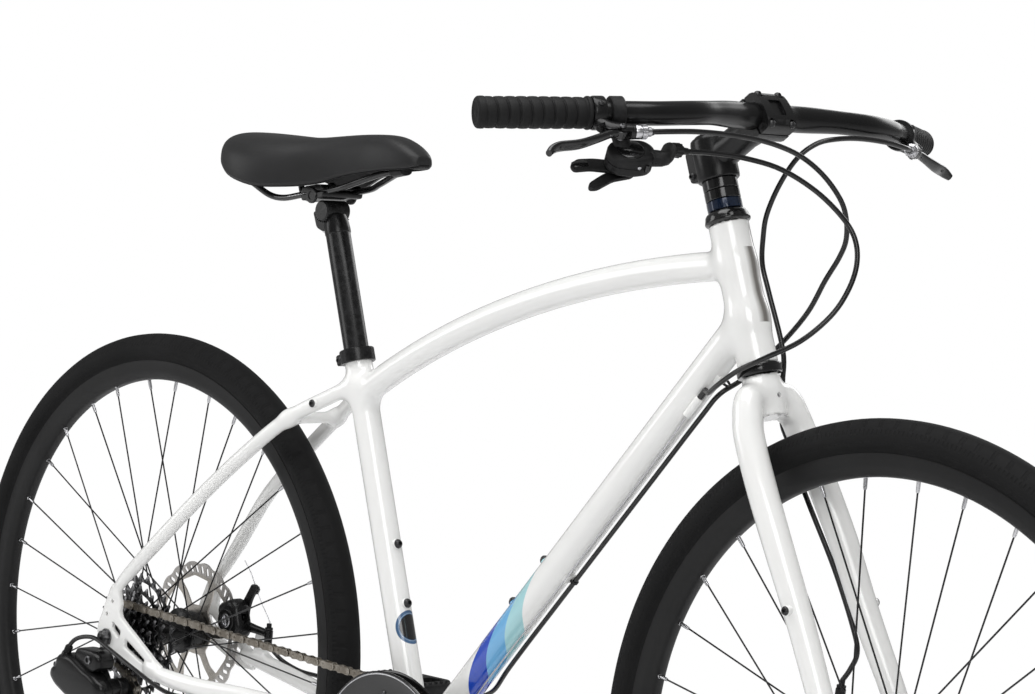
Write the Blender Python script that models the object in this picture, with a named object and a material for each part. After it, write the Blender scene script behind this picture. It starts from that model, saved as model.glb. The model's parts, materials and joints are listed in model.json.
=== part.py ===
"""City bike at rest: +X forward, +Y rider's left, +Z up, ground at z = 0, origin midway between the axles."""

import math

import bmesh
import bpy
from mathutils import Vector

# Driving sizes, in metres
WHEEL_RADIUS = 0.348
WHEELBASE = 1.085
TYRE_WIDTH = 0.038
AXLE_RADIUS = 0.005
REAR_DROPOUT_Y = 0.0675
FRONT_DROPOUT_Y = 0.050
HEAD_SLOPE = 0.3593
HEAD_AXIS_X0 = 0.62184
SEAT_SLOPE = 0.3192
SEAT_AXIS_X0 = 0.00795
HEAD_TUBE_RADIUS = 0.0195
STEERER_RADIUS = 0.0143
SEAT_TUBE_RADIUS = 0.015
SEATPOST_RADIUS = 0.0136
TOP_TUBE_RADIUS = 0.0143
DOWN_TUBE_RADIUS = 0.017
STAY_RADIUS = 0.008
BRACKET_X = -0.081
BRACKET_Z = 0.278
SHELL_RADIUS = 0.020
SPINDLE_RADIUS = 0.0085
CRANK_LENGTH = 0.170
PEDAL_PIN_RADIUS = 0.0045
CHAIN_Y = -0.049
CHAIN_PITCH = 0.0127
RING_TEETH = 42
COG_TEETH = (11, 13, 15, 18, 21, 24, 28, 34)
COG_PITCH = 0.0048
CHAIN_COG = 3
PULLEY_TEETH = 11
ROTOR_RADIUS = 0.080
REAR_ROTOR_Y = 0.056
FRONT_ROTOR_Y = 0.036
BAR_RADIUS = 0.0127
BAR_END_RADIUS = 0.0111
GRIP_RADIUS = 0.014
GRIP_LENGTH = 0.106
RAIL_RADIUS = 0.0035
GAP = 0.0003
RUNNING = 0.00002

X = Vector((1, 0, 0))
Y = Vector((0, 1, 0))
Z = Vector((0, 0, 1))
REAR_AXLE = Vector((-WHEELBASE / 2, 0, WHEEL_RADIUS))
FRONT_AXLE = Vector((WHEELBASE / 2, 0, WHEEL_RADIUS))
BRACKET = Vector((BRACKET_X, 0, BRACKET_Z))
HEAD_UP = Vector((-HEAD_SLOPE, 0, 1)).normalized()
SEAT_UP = Vector((-SEAT_SLOPE, 0, 1)).normalized()

BLACK = (0.02, 0.02, 0.022, 1)
WHITE = (0.86, 0.87, 0.87, 1)
SILVER = (0.62, 0.63, 0.65, 1)


# Shapes: each is a pair (points, faces)


def loft(rings, looped=False):
    """Quads between rings of equal length; the ends are capped unless the rings form a loop."""
    count = len(rings[0])
    points = [Vector(p) for ring in rings for p in ring]
    faces = []
    steps = len(rings) if looped else len(rings) - 1
    for i in range(steps):
        a = i * count
        b = (i + 1) % len(rings) * count
        for k in range(count):
            n = (k + 1) % count
            faces.append((a + k, a + n, b + n, b + k))
    if not looped:
        faces.append(tuple(range(count)))
        faces.append(tuple(range(len(points) - count, len(points))))
    return points, faces


def together(*shapes):
    """Several shapes as one list of points and faces."""
    points = []
    faces = []
    for some_points, some_faces in shapes:
        start = len(points)
        points.extend(some_points)
        faces.extend(tuple(start + i for i in face) for face in some_faces)
    return points, faces


def across(direction, hint=Y):
    """Two unit vectors at right angles to the direction, the first nearest to the hint."""
    direction = Vector(direction).normalized()
    side = hint - direction * hint.dot(direction)
    if side.length < 1e-4:
        side = X - direction * X.dot(direction)
    side.normalize()
    return side, direction.cross(side)


def ring(centre, side, up, wide, high, sides, turn=0.0):
    angles = [turn + 2 * math.pi * k / sides for k in range(sides)]
    return [centre + side * (wide * math.cos(a)) + up * (high * math.sin(a)) for a in angles]


def turned(base, axis, profile, sides, looped=False, hint=Y):
    """A body of revolution: the profile lists (height along the axis, radius)."""
    axis = Vector(axis).normalized()
    side, up = across(axis, hint)
    return loft([ring(base + axis * h, side, up, r, r, sides) for h, r in profile], looped)


def bore(radius, sides, clearance=RUNNING):
    """The corner radius of a hole with flat sides that clears a round pin of this radius."""
    return (radius + clearance) / math.cos(math.pi / sides)


def rod(start, end, radius, sides=16, end_radius=None):
    axis = end - start
    last = radius if end_radius is None else end_radius
    return turned(start, axis, [(0, radius), (axis.length, last)], sides)


def sleeve(start, end, inner, outer, sides=24):
    long = (end - start).length
    profile = [(0, inner), (0, outer), (long, outer), (long, inner)]
    return turned(start, end - start, profile, sides, looped=True)


def tube(points, sizes, sides=16, hint=Y):
    """A tube along points; each size is a radius, or a pair (along the hint, across it)."""
    points = [Vector(p) for p in points]
    if not isinstance(sizes, (list, tuple)):
        sizes = [sizes] * len(points)
    rings = []
    for i, point in enumerate(points):
        ahead = points[min(i + 1, len(points) - 1)] - points[max(i - 1, 0)]
        side, up = across(ahead, hint)
        wide, high = sizes[i] if isinstance(sizes[i], (list, tuple)) else (sizes[i], sizes[i])
        rings.append(ring(points[i], side, up, wide, high, sides))
    return loft(rings)


def cord(points, radius, sides=8):
    """A round cord along points, with a frame that doesn't twist."""
    points = [Vector(p) for p in points]
    side, up = across(points[1] - points[0], Z)
    rings = []
    for i, point in enumerate(points):
        ahead = (points[min(i + 1, len(points) - 1)] - points[max(i - 1, 0)]).normalized()
        side = (side - ahead * side.dot(ahead)).normalized()
        rings.append(ring(point, side, ahead.cross(side), radius, radius, sides))
    return loft(rings)


def smooth(points, steps):
    """A curve through the points, with this many steps between each two."""
    points = [Vector(p) for p in points]
    padded = [points[0] * 2 - points[1], *points, points[-1] * 2 - points[-2]]
    out = [points[0]]
    for i in range(1, len(padded) - 2):
        p0, p1, p2, p3 = padded[i - 1 : i + 3]
        for k in range(1, steps + 1):
            t = k / steps
            out.append(
                (
                    p1 * 2
                    + (p2 - p0) * t
                    + (p0 * 2 - p1 * 5 + p2 * 4 - p3) * t**2
                    + (p1 * 3 - p0 - p2 * 3 + p3) * t**3
                )
                * 0.5
            )
    return out


def plate(outline, y_low, y_high):
    """An outline in x and z, from one y to another."""
    low = [Vector((x, y_low, z)) for x, z in outline]
    high = [Vector((x, y_high, z)) for x, z in outline]
    return loft([low, high])


def block(centre, size, u=X, v=Y, w=Z):
    a, b, c = (s / 2 for s in size)
    corners = [centre - w * c + u * (i * a) + v * (j * b) for i, j in ((-1, -1), (1, -1), (1, 1), (-1, 1))]
    return loft([corners, [p + w * (2 * c) for p in corners]])


def mirrored(shape):
    points, faces = shape
    return [Vector((p.x, -p.y, p.z)) for p in points], [tuple(reversed(f)) for f in faces]


def object_of(name, shape):
    mesh = bpy.data.meshes.new(name)
    mesh.from_pydata(shape[0], [], shape[1])
    work = bmesh.new()
    work.from_mesh(mesh)
    bmesh.ops.recalc_face_normals(work, faces=work.faces)
    work.to_mesh(mesh)
    work.free()
    made = bpy.data.objects.new(name, mesh)
    bpy.context.scene.collection.objects.link(made)
    return made


def helper(shape):
    """A shape that only adds to or cuts another one."""
    made = object_of("helper", shape)
    made.hide_render = True
    made.display_type = "WIRE"
    return made


def material(name, color, roughness, metallic):
    made = bpy.data.materials.new(name)
    made.use_nodes = True
    shader = made.node_tree.nodes["Principled BSDF"]
    shader.inputs["Base Color"].default_value = color
    shader.inputs["Roughness"].default_value = roughness
    shader.inputs["Metallic"].default_value = metallic
    return made


def node(name, shape, add=(), cut=(), color=BLACK, roughness=0.4, metallic=0.0, origin=None):
    """One finished piece: the shape with others joined to it and then cut from it."""
    made = object_of(name, shape)
    for operation, shapes in (("UNION", add), ("DIFFERENCE", cut)):
        for other in shapes:
            change = made.modifiers.new(operation.title(), "BOOLEAN")
            change.operation = operation
            change.solver = "EXACT"
            change.object = other if isinstance(other, bpy.types.Object) else helper(other)
    made.data.materials.append(material(name, color, roughness, metallic))
    if origin is not None:
        for vertex in made.data.vertices:
            vertex.co -= origin
        made.location = origin
    return made


def on_head(z, ahead=0.0, y=0.0):
    """A point on the steering axis at height z, moved forward at right angles to it."""
    forward = Vector((HEAD_UP.z, 0, -HEAD_UP.x))
    return Vector((HEAD_AXIS_X0 - HEAD_SLOPE * z, y, z)) + forward * ahead


def on_seat(z, ahead=0.0, y=0.0):
    """A point on the seat tube's axis at height z, moved forward at right angles to it."""
    forward = Vector((SEAT_UP.z, 0, -SEAT_UP.x))
    return Vector((SEAT_AXIS_X0 - SEAT_SLOPE * z, y, z)) + forward * ahead


def clear_scene():
    for old in list(bpy.data.objects):
        bpy.data.objects.remove(old)


clear_scene()

# Frame

HEAD_LOW = on_head(0.7307)
HEAD_TOP = on_head(0.8615)
SEAT_TOP = on_seat(0.7000)
DOWN_LOW = Vector((BRACKET_X, 0, 0.2906))
DOWN_TOP = Vector((0.3437, 0, 0.7741))
DOWN_WAY = (DOWN_TOP - DOWN_LOW).normalized()


def grown(start, end, radius, sides=32):
    """A cutter that clears a round tube by the gap."""
    way = (end - start).normalized()
    return rod(start - way * 0.002, end + way * 0.002, (radius + GAP) / math.cos(math.pi / sides), sides)


head_cutter = helper(grown(HEAD_LOW, HEAD_TOP, HEAD_TUBE_RADIUS))
shell_cutter = helper(grown(BRACKET - Y * 0.034, BRACKET + Y * 0.034, SHELL_RADIUS))
seat_cutter = helper(grown(BRACKET - SEAT_UP * 0.005, SEAT_TOP, SEAT_TUBE_RADIUS))
down_cutter = helper(rod(DOWN_LOW - DOWN_WAY * 0.03, DOWN_TOP, DOWN_TUBE_RADIUS + GAP, 24))

node(
    "head_tube",
    sleeve(HEAD_LOW, HEAD_TOP, bore(STEERER_RADIUS, 24, 0.0016), HEAD_TUBE_RADIUS, 24),
    color=WHITE,
    roughness=0.15,
)


def curve_points(p0, p1, p2, p3, steps):
    out = []
    for k in range(steps + 1):
        t = k / steps
        s = 1 - t
        out.append(p0 * s**3 + p1 * (3 * s * s * t) + p2 * (3 * s * t * t) + p3 * t**3)
    return out


def heading(degrees):
    return Vector((math.cos(math.radians(degrees)), 0, math.sin(math.radians(degrees))))


top_start = on_seat(0.6555)
top_end = on_head(0.8234)
top_line = curve_points(
    top_start,
    top_start + heading(32.9) * 0.187,
    top_end - heading(4.6) * 0.175,
    top_end,
    11,
)
node(
    "top_tube",
    tube(top_line, TOP_TUBE_RADIUS, 16),
    cut=[head_cutter, seat_cutter],
    color=WHITE,
    roughness=0.15,
)

# Bosses, cable clips and the shift housing's stop sit on the down tube.
BOSS_X = (0.0600, 0.1022)
BOSS_Z = (0.4960, 0.4350)
BOLT_RADIUS = 0.0021
down_normal = Vector((-DOWN_WAY.z, 0, DOWN_WAY.x))


def on_down(x, away, y=0.0):
    """A point beside the down tube's axis at this x, raised towards the top tube."""
    t = (x - DOWN_LOW.x) / DOWN_WAY.x
    return DOWN_LOW + DOWN_WAY * t + down_normal * away + Y * y


down_bosses = [rod(on_down(x, 0.012), on_down(x, 0.0205), 0.0052, 12) for x in BOSS_X]
down_clips = [
    block(on_down(x, -0.0171), (0.010, 0.014, 0.005), DOWN_WAY, Y, down_normal) for x in (0.132, 0.300)
]
shift_stop = rod(on_down(0.268, -0.0175, -0.0105), on_down(0.284, -0.0175, -0.0105), 0.0045, 10)
node(
    "down_tube",
    tube([DOWN_LOW, on_down(0.1, 0), DOWN_TOP], DOWN_TUBE_RADIUS, 24),
    add=[together(*down_bosses, *down_clips, shift_stop)],
    cut=[
        head_cutter,
        shell_cutter,
        seat_cutter,
        together(*[rod(on_down(x, 0.0140), on_down(x, 0.0240), BOLT_RADIUS, 8) for x in BOSS_X]),
        rod(on_down(0.274, -0.0175, -0.0105), on_down(0.295, -0.0175, -0.0105), 0.0029, 10),
    ],
    color=WHITE,
    roughness=0.15,
)

seat_bosses = [rod(on_seat(z, 0.010), on_seat(z, 0.0185), 0.0052, 12) for z in BOSS_Z]
node(
    "seat_tube",
    rod(BRACKET, SEAT_TOP, SEAT_TUBE_RADIUS, 24),
    add=[together(*seat_bosses)],
    cut=[
        shell_cutter,
        together(*[rod(on_seat(z, 0.0120), on_seat(z, 0.0220), BOLT_RADIUS, 8) for z in BOSS_Z]),
        rod(BRACKET + SEAT_UP * 0.030, SEAT_TOP + SEAT_UP * 0.01, bore(SEATPOST_RADIUS, 24), 24),
    ],
    color=WHITE,
    roughness=0.15,
)
node(
    "bottom_bracket_shell",
    sleeve(
        BRACKET - Y * 0.034,
        BRACKET + Y * 0.034,
        bore(SPINDLE_RADIUS, 24),
        SHELL_RADIUS,
        24,
    ),
    color=WHITE,
    roughness=0.15,
)

# The right dropout plate carries the derailleur hanger; both plates hold the axle in a slot.
PLATE_LOW = REAR_DROPOUT_Y
PLATE_HIGH = REAR_DROPOUT_Y + 0.006
axle_hole = [
    (REAR_AXLE.x + 0.0053 * math.cos(math.pi * (k / 6)), REAR_AXLE.z + 0.0053 * math.sin(math.pi * (k / 6)))
    for k in range(7)
]
plate_outline = [
    (-0.5409, 0.3998),
    (-0.5516, 0.3859),
    (-0.5606, 0.3669),
    (-0.5627, 0.3561),
    (-0.5600, 0.3440),
    (-0.5478, 0.3340),
    *reversed(axle_hole),
    (-0.5372, 0.3330),
    (-0.5250, 0.3318),
    (-0.5000, 0.3215),
    (-0.4760, 0.3130),
    (-0.4500, 0.3150),
    (-0.4464, 0.3291),
    (-0.4873, 0.3543),
    (-0.5229, 0.3756),
    (-0.5262, 0.3789),
]
window_rear = [(-0.5314, 0.3667), (-0.5174, 0.3590), (-0.5200, 0.3500), (-0.5290, 0.3570)]
window_front = [(-0.507, 0.3509), (-0.4711, 0.3317), (-0.4751, 0.3263), (-0.5076, 0.3412)]
hanger_outline = [
    (-0.5560, 0.3440),
    (-0.5540, 0.3260),
    (-0.5500, 0.3180),
    (-0.5434, 0.3150),
    (-0.5368, 0.3180),
    (-0.5330, 0.3260),
    (-0.5320, 0.3400),
    (-0.5420, 0.3400),
    (-0.5480, 0.3380),
]


def stay_lower(side, line, rear):
    """The tube of one chainstay and its plate; side is -1 on the right and 1 on the left."""
    stay = tube(line, rear, 10)
    inner, outer = (PLATE_LOW, PLATE_HIGH) if side > 0 else (-PLATE_HIGH, -PLATE_LOW)
    return stay, plate(plate_outline, inner, outer), [
        plate(window_rear, inner - 0.003, outer + 0.003),
        plate(window_front, inner - 0.003, outer + 0.003),
    ]


right_line = smooth(
    [
        (-0.092, -0.0215, 0.2795),
        (-0.150, -0.0270, 0.2905),
        (-0.205, -0.0305, 0.3010),
        (-0.260, -0.0415, 0.3095),
        (-0.320, -0.0540, 0.3130),
        (-0.3806, -0.0640, 0.3135),
        (-0.4300, -0.0695, 0.3165),
        (-0.4640, -0.0705, 0.3215),
    ],
    2,
)
stay_sizes = [(0.0065, 0.0105)] * 5 + [(0.0068, 0.0102)] * 2 + [(0.0072, 0.0100)] * 6 + [(0.0060, 0.0090), (0.0045, 0.0065)]
right_stay, right_plate, right_windows = stay_lower(-1, right_line, stay_sizes)
node(
    "chainstay_right",
    right_stay,
    add=[right_plate, plate(hanger_outline, -PLATE_HIGH, -PLATE_LOW)],
    cut=[shell_cutter, *right_windows],
    color=WHITE,
    roughness=0.15,
)
left_line = smooth(
    [
        (-0.092, 0.0215, 0.2795),
        (-0.150, 0.0270, 0.2890),
        (-0.205, 0.0305, 0.2975),
        (-0.260, 0.0425, 0.3055),
        (-0.320, 0.0550, 0.3115),
        (-0.3806, 0.0640, 0.3180),
        (-0.4300, 0.0672, 0.3245),
        (-0.4640, 0.0660, 0.3285),
    ],
    2,
)
left_stay, left_plate, left_windows = stay_lower(1, left_line, stay_sizes)
caliper_tab = [
    (-0.4420, 0.3240),
    (-0.4480, 0.3440),
    (-0.4420, 0.3640),
    (-0.4330, 0.3640),
    (-0.4300, 0.3440),
    (-0.4150, 0.3240),
]
node(
    "chainstay_left",
    left_stay,
    add=[left_plate, plate(caliper_tab, 0.0660, 0.0710)],
    cut=[shell_cutter, *left_windows],
    color=WHITE,
    roughness=0.15,
)

seatstay_line = smooth(
    [
        (-0.2085, -0.0112, 0.6640),
        (-0.2295, -0.0180, 0.6523),
        (-0.2828, -0.0353, 0.6224),
        (-0.3450, -0.0431, 0.5776),
        (-0.4121, -0.0496, 0.5230),
        (-0.4756, -0.0633, 0.4600),
        (-0.5396, -0.0741, 0.3956),
    ],
    1,
)
seatstay = tube(seatstay_line, [STAY_RADIUS] * 6 + [0.0062], 12)
stay_bridge = rod(Vector((-0.2828, -0.034, 0.6224)), Vector((-0.2828, 0.034, 0.6224)), 0.006, 12)
rack_bosses = together(
    *[rod(Vector((-0.2450, side * 0.0200, 0.6420)), Vector((-0.2450, side * 0.0345, 0.6420)), 0.0042, 10) for side in (-1, 1)]
)
plate_clear = block(Vector((-0.5450, 0, 0.380)), (0.060, 2 * (PLATE_HIGH + GAP), 0.0420))
node(
    "seatstays",
    seatstay,
    add=[mirrored(seatstay), stay_bridge, rack_bosses],
    cut=[seat_cutter, plate_clear],
    color=WHITE,
    roughness=0.15,
)

# The collar's bolt lug is at the back of the seat tube.
collar_low = on_seat(0.6885)
collar_high = on_seat(0.7030)
lug_centre = on_seat(0.6958, -0.0215)
node(
    "seat_clamp",
    rod(collar_low, collar_high, 0.0190, 20),
    add=[
        block(lug_centre, (0.010, 0.016, 0.013), on_seat(0.7, 1) - on_seat(0.7), Y, SEAT_UP),
        rod(lug_centre - Y * 0.0125, lug_centre + Y * 0.0125, 0.0035, 12),
    ],
    cut=[
        rod(collar_low - SEAT_UP * 0.01, collar_high + SEAT_UP * 0.01, bore(SEAT_TUBE_RADIUS, 20, GAP), 20),
        block(lug_centre + X * 0.0, (0.020, 0.0024, 0.03), on_seat(0.7, 1) - on_seat(0.7), Y, SEAT_UP),
    ],
)

cup_bore = bore(STEERER_RADIUS, 20)
node(
    "headset_cup_upper",
    turned(
        on_head(0.8615) + HEAD_UP * GAP,
        HEAD_UP,
        [(0, cup_bore), (0, 0.0200), (0.0015, 0.0220), (0.0085, 0.0220), (0.0116, 0.0190), (0.0119, cup_bore)],
        20,
        looped=True,
    ),
    roughness=0.15,
)
node(
    "headset_cup_lower",
    turned(
        HEAD_LOW - HEAD_UP * GAP,
        -HEAD_UP,
        [(0, cup_bore), (0, 0.0200), (0.0015, 0.0220), (0.0085, 0.0220), (0.0100, 0.0205), (0.0100, cup_bore)],
        20,
        looped=True,
    ),
    roughness=0.15,
)

# Steering: fork, stem, handlebar and its controls

STEM_LOW = 0.9028
STEM_TOP = 0.9424
BAR_CENTRE = Vector((0.3525, 0, 0.9643))
STEM_WAY = Vector((0.81, 0, 0.585)).normalized()
STEM_NORMAL = Vector((-STEM_WAY.z, 0, STEM_WAY.x))

leg_line = [
    (0.3680, 0.0040, 0.7060),
    (0.3734, 0.0256, 0.6991),
    (0.3800, 0.0338, 0.6820),
    (0.3885, 0.0386, 0.6621),
    (0.4108, 0.0435, 0.6193),
    (0.4373, 0.0466, 0.5690),
    (0.4672, 0.0473, 0.5081),
    (0.5012, 0.0516, 0.4394),
    (0.5342, 0.0562, 0.3720),
]
leg_sizes = [0.0120, 0.0140, 0.0145, 0.0145, 0.0145, 0.0140, 0.0132, 0.0122, 0.0100]
left_leg = tube(leg_line, leg_sizes, 10)
drop = [(-0.013, 0.024), (-0.016, 0.002), (-0.013, -0.012), (-0.0054, -0.015)]
drop += [(0.0054 * math.cos(math.pi * (1 - k / 6)), 0.0054 * math.sin(math.pi * k / 6)) for k in range(7)]
drop += [(0.0054, -0.015), (0.013, -0.012), (0.016, 0.002), (0.004, 0.028)]
dropout = plate(
    [(FRONT_AXLE.x + x, FRONT_AXLE.z + z) for x, z in drop],
    FRONT_DROPOUT_Y,
    FRONT_DROPOUT_Y + 0.006,
)
brake_tabs = together(
    plate([(0.510, 0.438), (0.486, 0.416), (0.479, 0.406), (0.486, 0.402), (0.494, 0.408), (0.522, 0.412)], 0.0465, 0.0515),
    plate([(0.535, 0.382), (0.500, 0.372), (0.472, 0.372), (0.466, 0.364), (0.476, 0.358), (0.530, 0.356)], 0.0502, 0.0545),
)
node(
    "fork",
    turned(
        on_head(0.6820),
        HEAD_UP,
        [(0, 0.0165), (0.003, 0.0180), (0.0400, 0.0180), (0.0400, STEERER_RADIUS), (0.2690, STEERER_RADIUS)],
        20,
    ),
    add=[
        together(left_leg),
        mirrored(left_leg),
        together(dropout, mirrored(dropout)),
        brake_tabs,
        together(
            *[rod(Vector((0.4648, side * 0.056, 0.5156)), Vector((0.4648, side * 0.0645, 0.5156)), 0.0045, 10) for side in (-1, 1)]
        ),
    ],
    cut=[rod(on_head(0.6990, -0.04), on_head(0.6990, 0.04), 0.0026, 10)],
    color=WHITE,
    roughness=0.15,
)

spacer_bore = bore(STEERER_RADIUS, 18, GAP)
spacers = [(0, spacer_bore), (0, 0.0166)]
spacers += [(0.0004, 0.0170), (0.0093, 0.0170), (0.0096, 0.0165), (0.0099, 0.0170), (0.0187, 0.0170), (0.0190, 0.0165)]
spacers += [(0.0193, 0.0170), (0.0283, 0.0170), (0.0283, spacer_bore)]
node(
    "headset_spacers",
    turned(on_head(0.8737) + HEAD_UP * 0.0017, HEAD_UP, spacers, 18, looped=True),
    roughness=0.15,
)


def across_bar(outline, half):
    """An outline in the stem's direction and normal about the bar's centre, as wide as twice the half."""
    return loft(
        [[BAR_CENTRE + STEM_WAY * d + STEM_NORMAL * n + Y * y for d, n in outline] for y in (-half, half)]
    )


seat = BAR_RADIUS + GAP
arc = [(seat * math.cos(a), seat * math.sin(a)) for a in [math.radians(-86 + 172 * k / 8) for k in range(9)]]
front = [(0.0006, 0.0200), (0.0100, 0.0200), (0.0135, 0.0165), (0.0157, 0.0100), (0.0165, 0.0)]
front += [(0.0157, -0.0100), (0.0135, -0.0165), (0.0100, -0.0200), (0.0006, -0.0200), (0.0006, -seat)]
face_bolts = together(
    *[
        rod(
            BAR_CENTRE + STEM_WAY * 0.010 + STEM_NORMAL * n + Y * y,
            BAR_CENTRE + STEM_WAY * 0.0162 + STEM_NORMAL * n + Y * y,
            0.0034,
            10,
        )
        for n in (-0.0162, 0.0162)
        for y in (-0.0142, 0.0142)
    ]
)
node("stem_faceplate", across_bar(front + arc + [(0.0006, seat)], 0.020), add=[face_bolts])
rear = [(-d, n) for d, n in front]
stem_rear = across_bar(rear + [(-d, n) for d, n in arc] + [(-0.0006, seat)], 0.021)
pinch = block(on_head(0.9215, -0.0210), (0.014, 0.020, 0.032), on_head(0.9, 1) - on_head(0.9), Y, HEAD_UP)
pinch_bolts = together(
    *[rod(on_head(z, -0.0235, -0.0115), on_head(z, -0.0235, 0.0115), 0.0036, 10) for z in (0.9130, 0.9305)]
)
node(
    "stem_body",
    turned(
        on_head(STEM_LOW),
        HEAD_UP,
        [(0, 0.0190), (0.003, 0.0205), (0.0390, 0.0205), (0.0420, 0.0185), (0.0452, 0.0150)],
        20,
    ),
    add=[
        tube(
            [on_head(0.9225), on_head(0.9225).lerp(BAR_CENTRE, 0.45), BAR_CENTRE - STEM_WAY * 0.0138],
            [(0.0150, 0.0165), (0.0150, 0.0155), (0.0185, 0.0165)],
            12,
        ),
        stem_rear,
        pinch,
        pinch_bolts,
    ],
    cut=[
        rod(on_head(STEM_LOW) - HEAD_UP * 0.01, on_head(STEM_LOW) + HEAD_UP * 0.0395, spacer_bore, 18),
        rod(BAR_CENTRE - Y * 0.03, BAR_CENTRE + Y * 0.03, seat, 24),
        block(on_head(0.9215, -0.0230), (0.022, 0.0022, 0.050), on_head(0.9, 1) - on_head(0.9), Y, HEAD_UP),
    ],
)


def bar_at(y):
    """The straight outer part of the handlebar's axis."""
    s = (abs(y) - 0.165) / 0.1501
    return Vector((0.3665 - 0.0788 * s, y, 0.9595 - 0.0080 * s))


BAR_TIP_Y = 0.3128
bend = smooth(
    [bar_at(0.190), bar_at(0.165), (0.3735, 0.125, 0.9622), (0.3640, 0.085, 0.9640), (0.3525, 0.042, 0.9643)],
    3,
)[3:] + [Vector((0.3525, 0.021, 0.9643)), Vector((0.3525, 0.0, 0.9643))]
left_half = [bar_at(BAR_TIP_Y), bar_at(0.2400), *bend]
bar_line = left_half + [Vector((p.x, -p.y, p.z)) for p in reversed(left_half[:-1])]


def bar_size(y):
    share = min(max((abs(y) - 0.045) / 0.055, 0.0), 1.0)
    return BAR_RADIUS + (BAR_END_RADIUS - BAR_RADIUS) * share


node("handlebar", tube(bar_line, [bar_size(p.y) for p in bar_line], 12, Z), roughness=0.35)


def grip_frame(side):
    """Along the bar to its end, towards the lever, and their normal, for side -1 (right) or 1 (left)."""
    along = (bar_at(side * 0.30) - bar_at(side * 0.17)).normalized()
    out = Vector((0.81, 0, -0.586))
    out = (out - along * out.dot(along)).normalized()
    return along, out, along.cross(out) * -side


def grip(side):
    along = grip_frame(side)[0]
    start = bar_at(side * 0.3151) - along * GRIP_LENGTH
    b = bore(BAR_END_RADIUS, 16, GAP)
    end = GRIP_LENGTH
    profile = [(0, b), (0, 0.0152), (0.0035, 0.0152), (0.0050, GRIP_RADIUS), (end - 0.0070, GRIP_RADIUS)]
    profile += [(end - 0.0060, 0.0146), (end - 0.0015, 0.0146), (end, 0.0132), (end, 0.0028), (end - 0.0020, 0.0028), (end - 0.0022, b)]
    return turned(start, along, profile, 16, looped=True)


LEVER_Y = 0.2000
PIVOT_OUT = 0.026
RING_Y = 0.2148


def lever_pivot(side):
    along, out, up = grip_frame(side)
    return bar_at(side * LEVER_Y) + out * PIVOT_OUT


def in_frame(side, p, q, r=0.0):
    """A point from the lever's pivot: along the bar, outwards from it, and up."""
    along, out, up = grip_frame(side)
    return lever_pivot(side) + along * p + out * q + up * r


def lever_perch(side, name):
    along, out, up = grip_frame(side)
    ring_centre = bar_at(side * RING_Y)
    band = rod(ring_centre - along * 0.0060, ring_centre + along * 0.0060, 0.0155, 16)
    b = bore(BAR_END_RADIUS, 16, GAP)
    arm = tube(
        [ring_centre + out * 0.0125, in_frame(side, 0.0110, -0.0030), in_frame(side, -0.0030, -0.0010), in_frame(side, -0.0120, 0.0)],
        [(0.0065, 0.0055), (0.0085, 0.0060), (0.0085, 0.0065), (0.0070, 0.0068)],
        8,
        up,
    )
    barrel = turned(
        in_frame(side, -0.0110, 0.0),
        -along,
        [(0, 0.0058), (0.0060, 0.0066), (0.0135, 0.0066), (0.0140, 0.0045), (0.0165, 0.0045)],
        10,
    )
    slot = block(in_frame(side, 0.0040, 0.0030), (0.0230, 0.0240, 0.0096), along, out, up)
    mouth = block(in_frame(side, 0.0220, 0.0120), (0.0400, 0.0200, 0.0125), along, out, up)
    travel = block(in_frame(side, 0.0265, 0.0045), (0.0220, 0.0200, 0.0125), along, out, up)
    pin = rod(in_frame(side, 0, 0, -0.0080), in_frame(side, 0, 0, 0.0080), 0.0025, 12)
    made = node(
        name,
        arm,
        add=[band, barrel],
        cut=[rod(ring_centre - along * 0.06, ring_centre + along * 0.02, b, 16), slot, mouth, travel],
    )
    joined = made.modifiers.new("Pin", "BOOLEAN")
    joined.operation = "UNION"
    joined.solver = "EXACT"
    joined.object = helper(pin)


def brake_lever(side, name):
    along, out, up = grip_frame(side)
    path = smooth(
        [in_frame(side, p, q) for p, q in ((0.0, 0.0), (0.012, 0.0030), (0.026, 0.0100), (0.044, 0.0175), (0.062, 0.0205), (0.074, 0.0295))],
        2,
    )
    sizes = [(0.0042, 0.0042), (0.0042, 0.0040), (0.0043, 0.0036)] + [(0.0050, 0.0032)] * 3
    sizes += [(0.0056, 0.0030)] * 3 + [(0.0052, 0.0034), (0.0040, 0.0030)]
    node(
        name,
        tube(path, sizes, 8, up),
        add=[rod(in_frame(side, 0, 0, -0.0042), in_frame(side, 0, 0, 0.0042), 0.0062, 12)],
        cut=[rod(in_frame(side, 0, 0, -0.01), in_frame(side, 0, 0, 0.01), bore(0.0025, 12), 12)],
        origin=lever_pivot(side),
    )


for hand, word in ((-1, "right"), (1, "left")):
    node(f"grip_{word}", grip(hand), roughness=0.8)
    lever_perch(hand, f"lever_perch_{word}")
    brake_lever(hand, f"brake_lever_{word}")

# Shifter under the right side of the bar
R_ALONG, R_OUT, R_UP = grip_frame(-1)
SHIFT_Y = -0.1995
POD = bar_at(-0.1880) + R_OUT * 0.030 - R_UP * 0.0275


def in_pod(p, q, r):
    return POD + R_ALONG * p + R_OUT * q + R_UP * r


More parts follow.
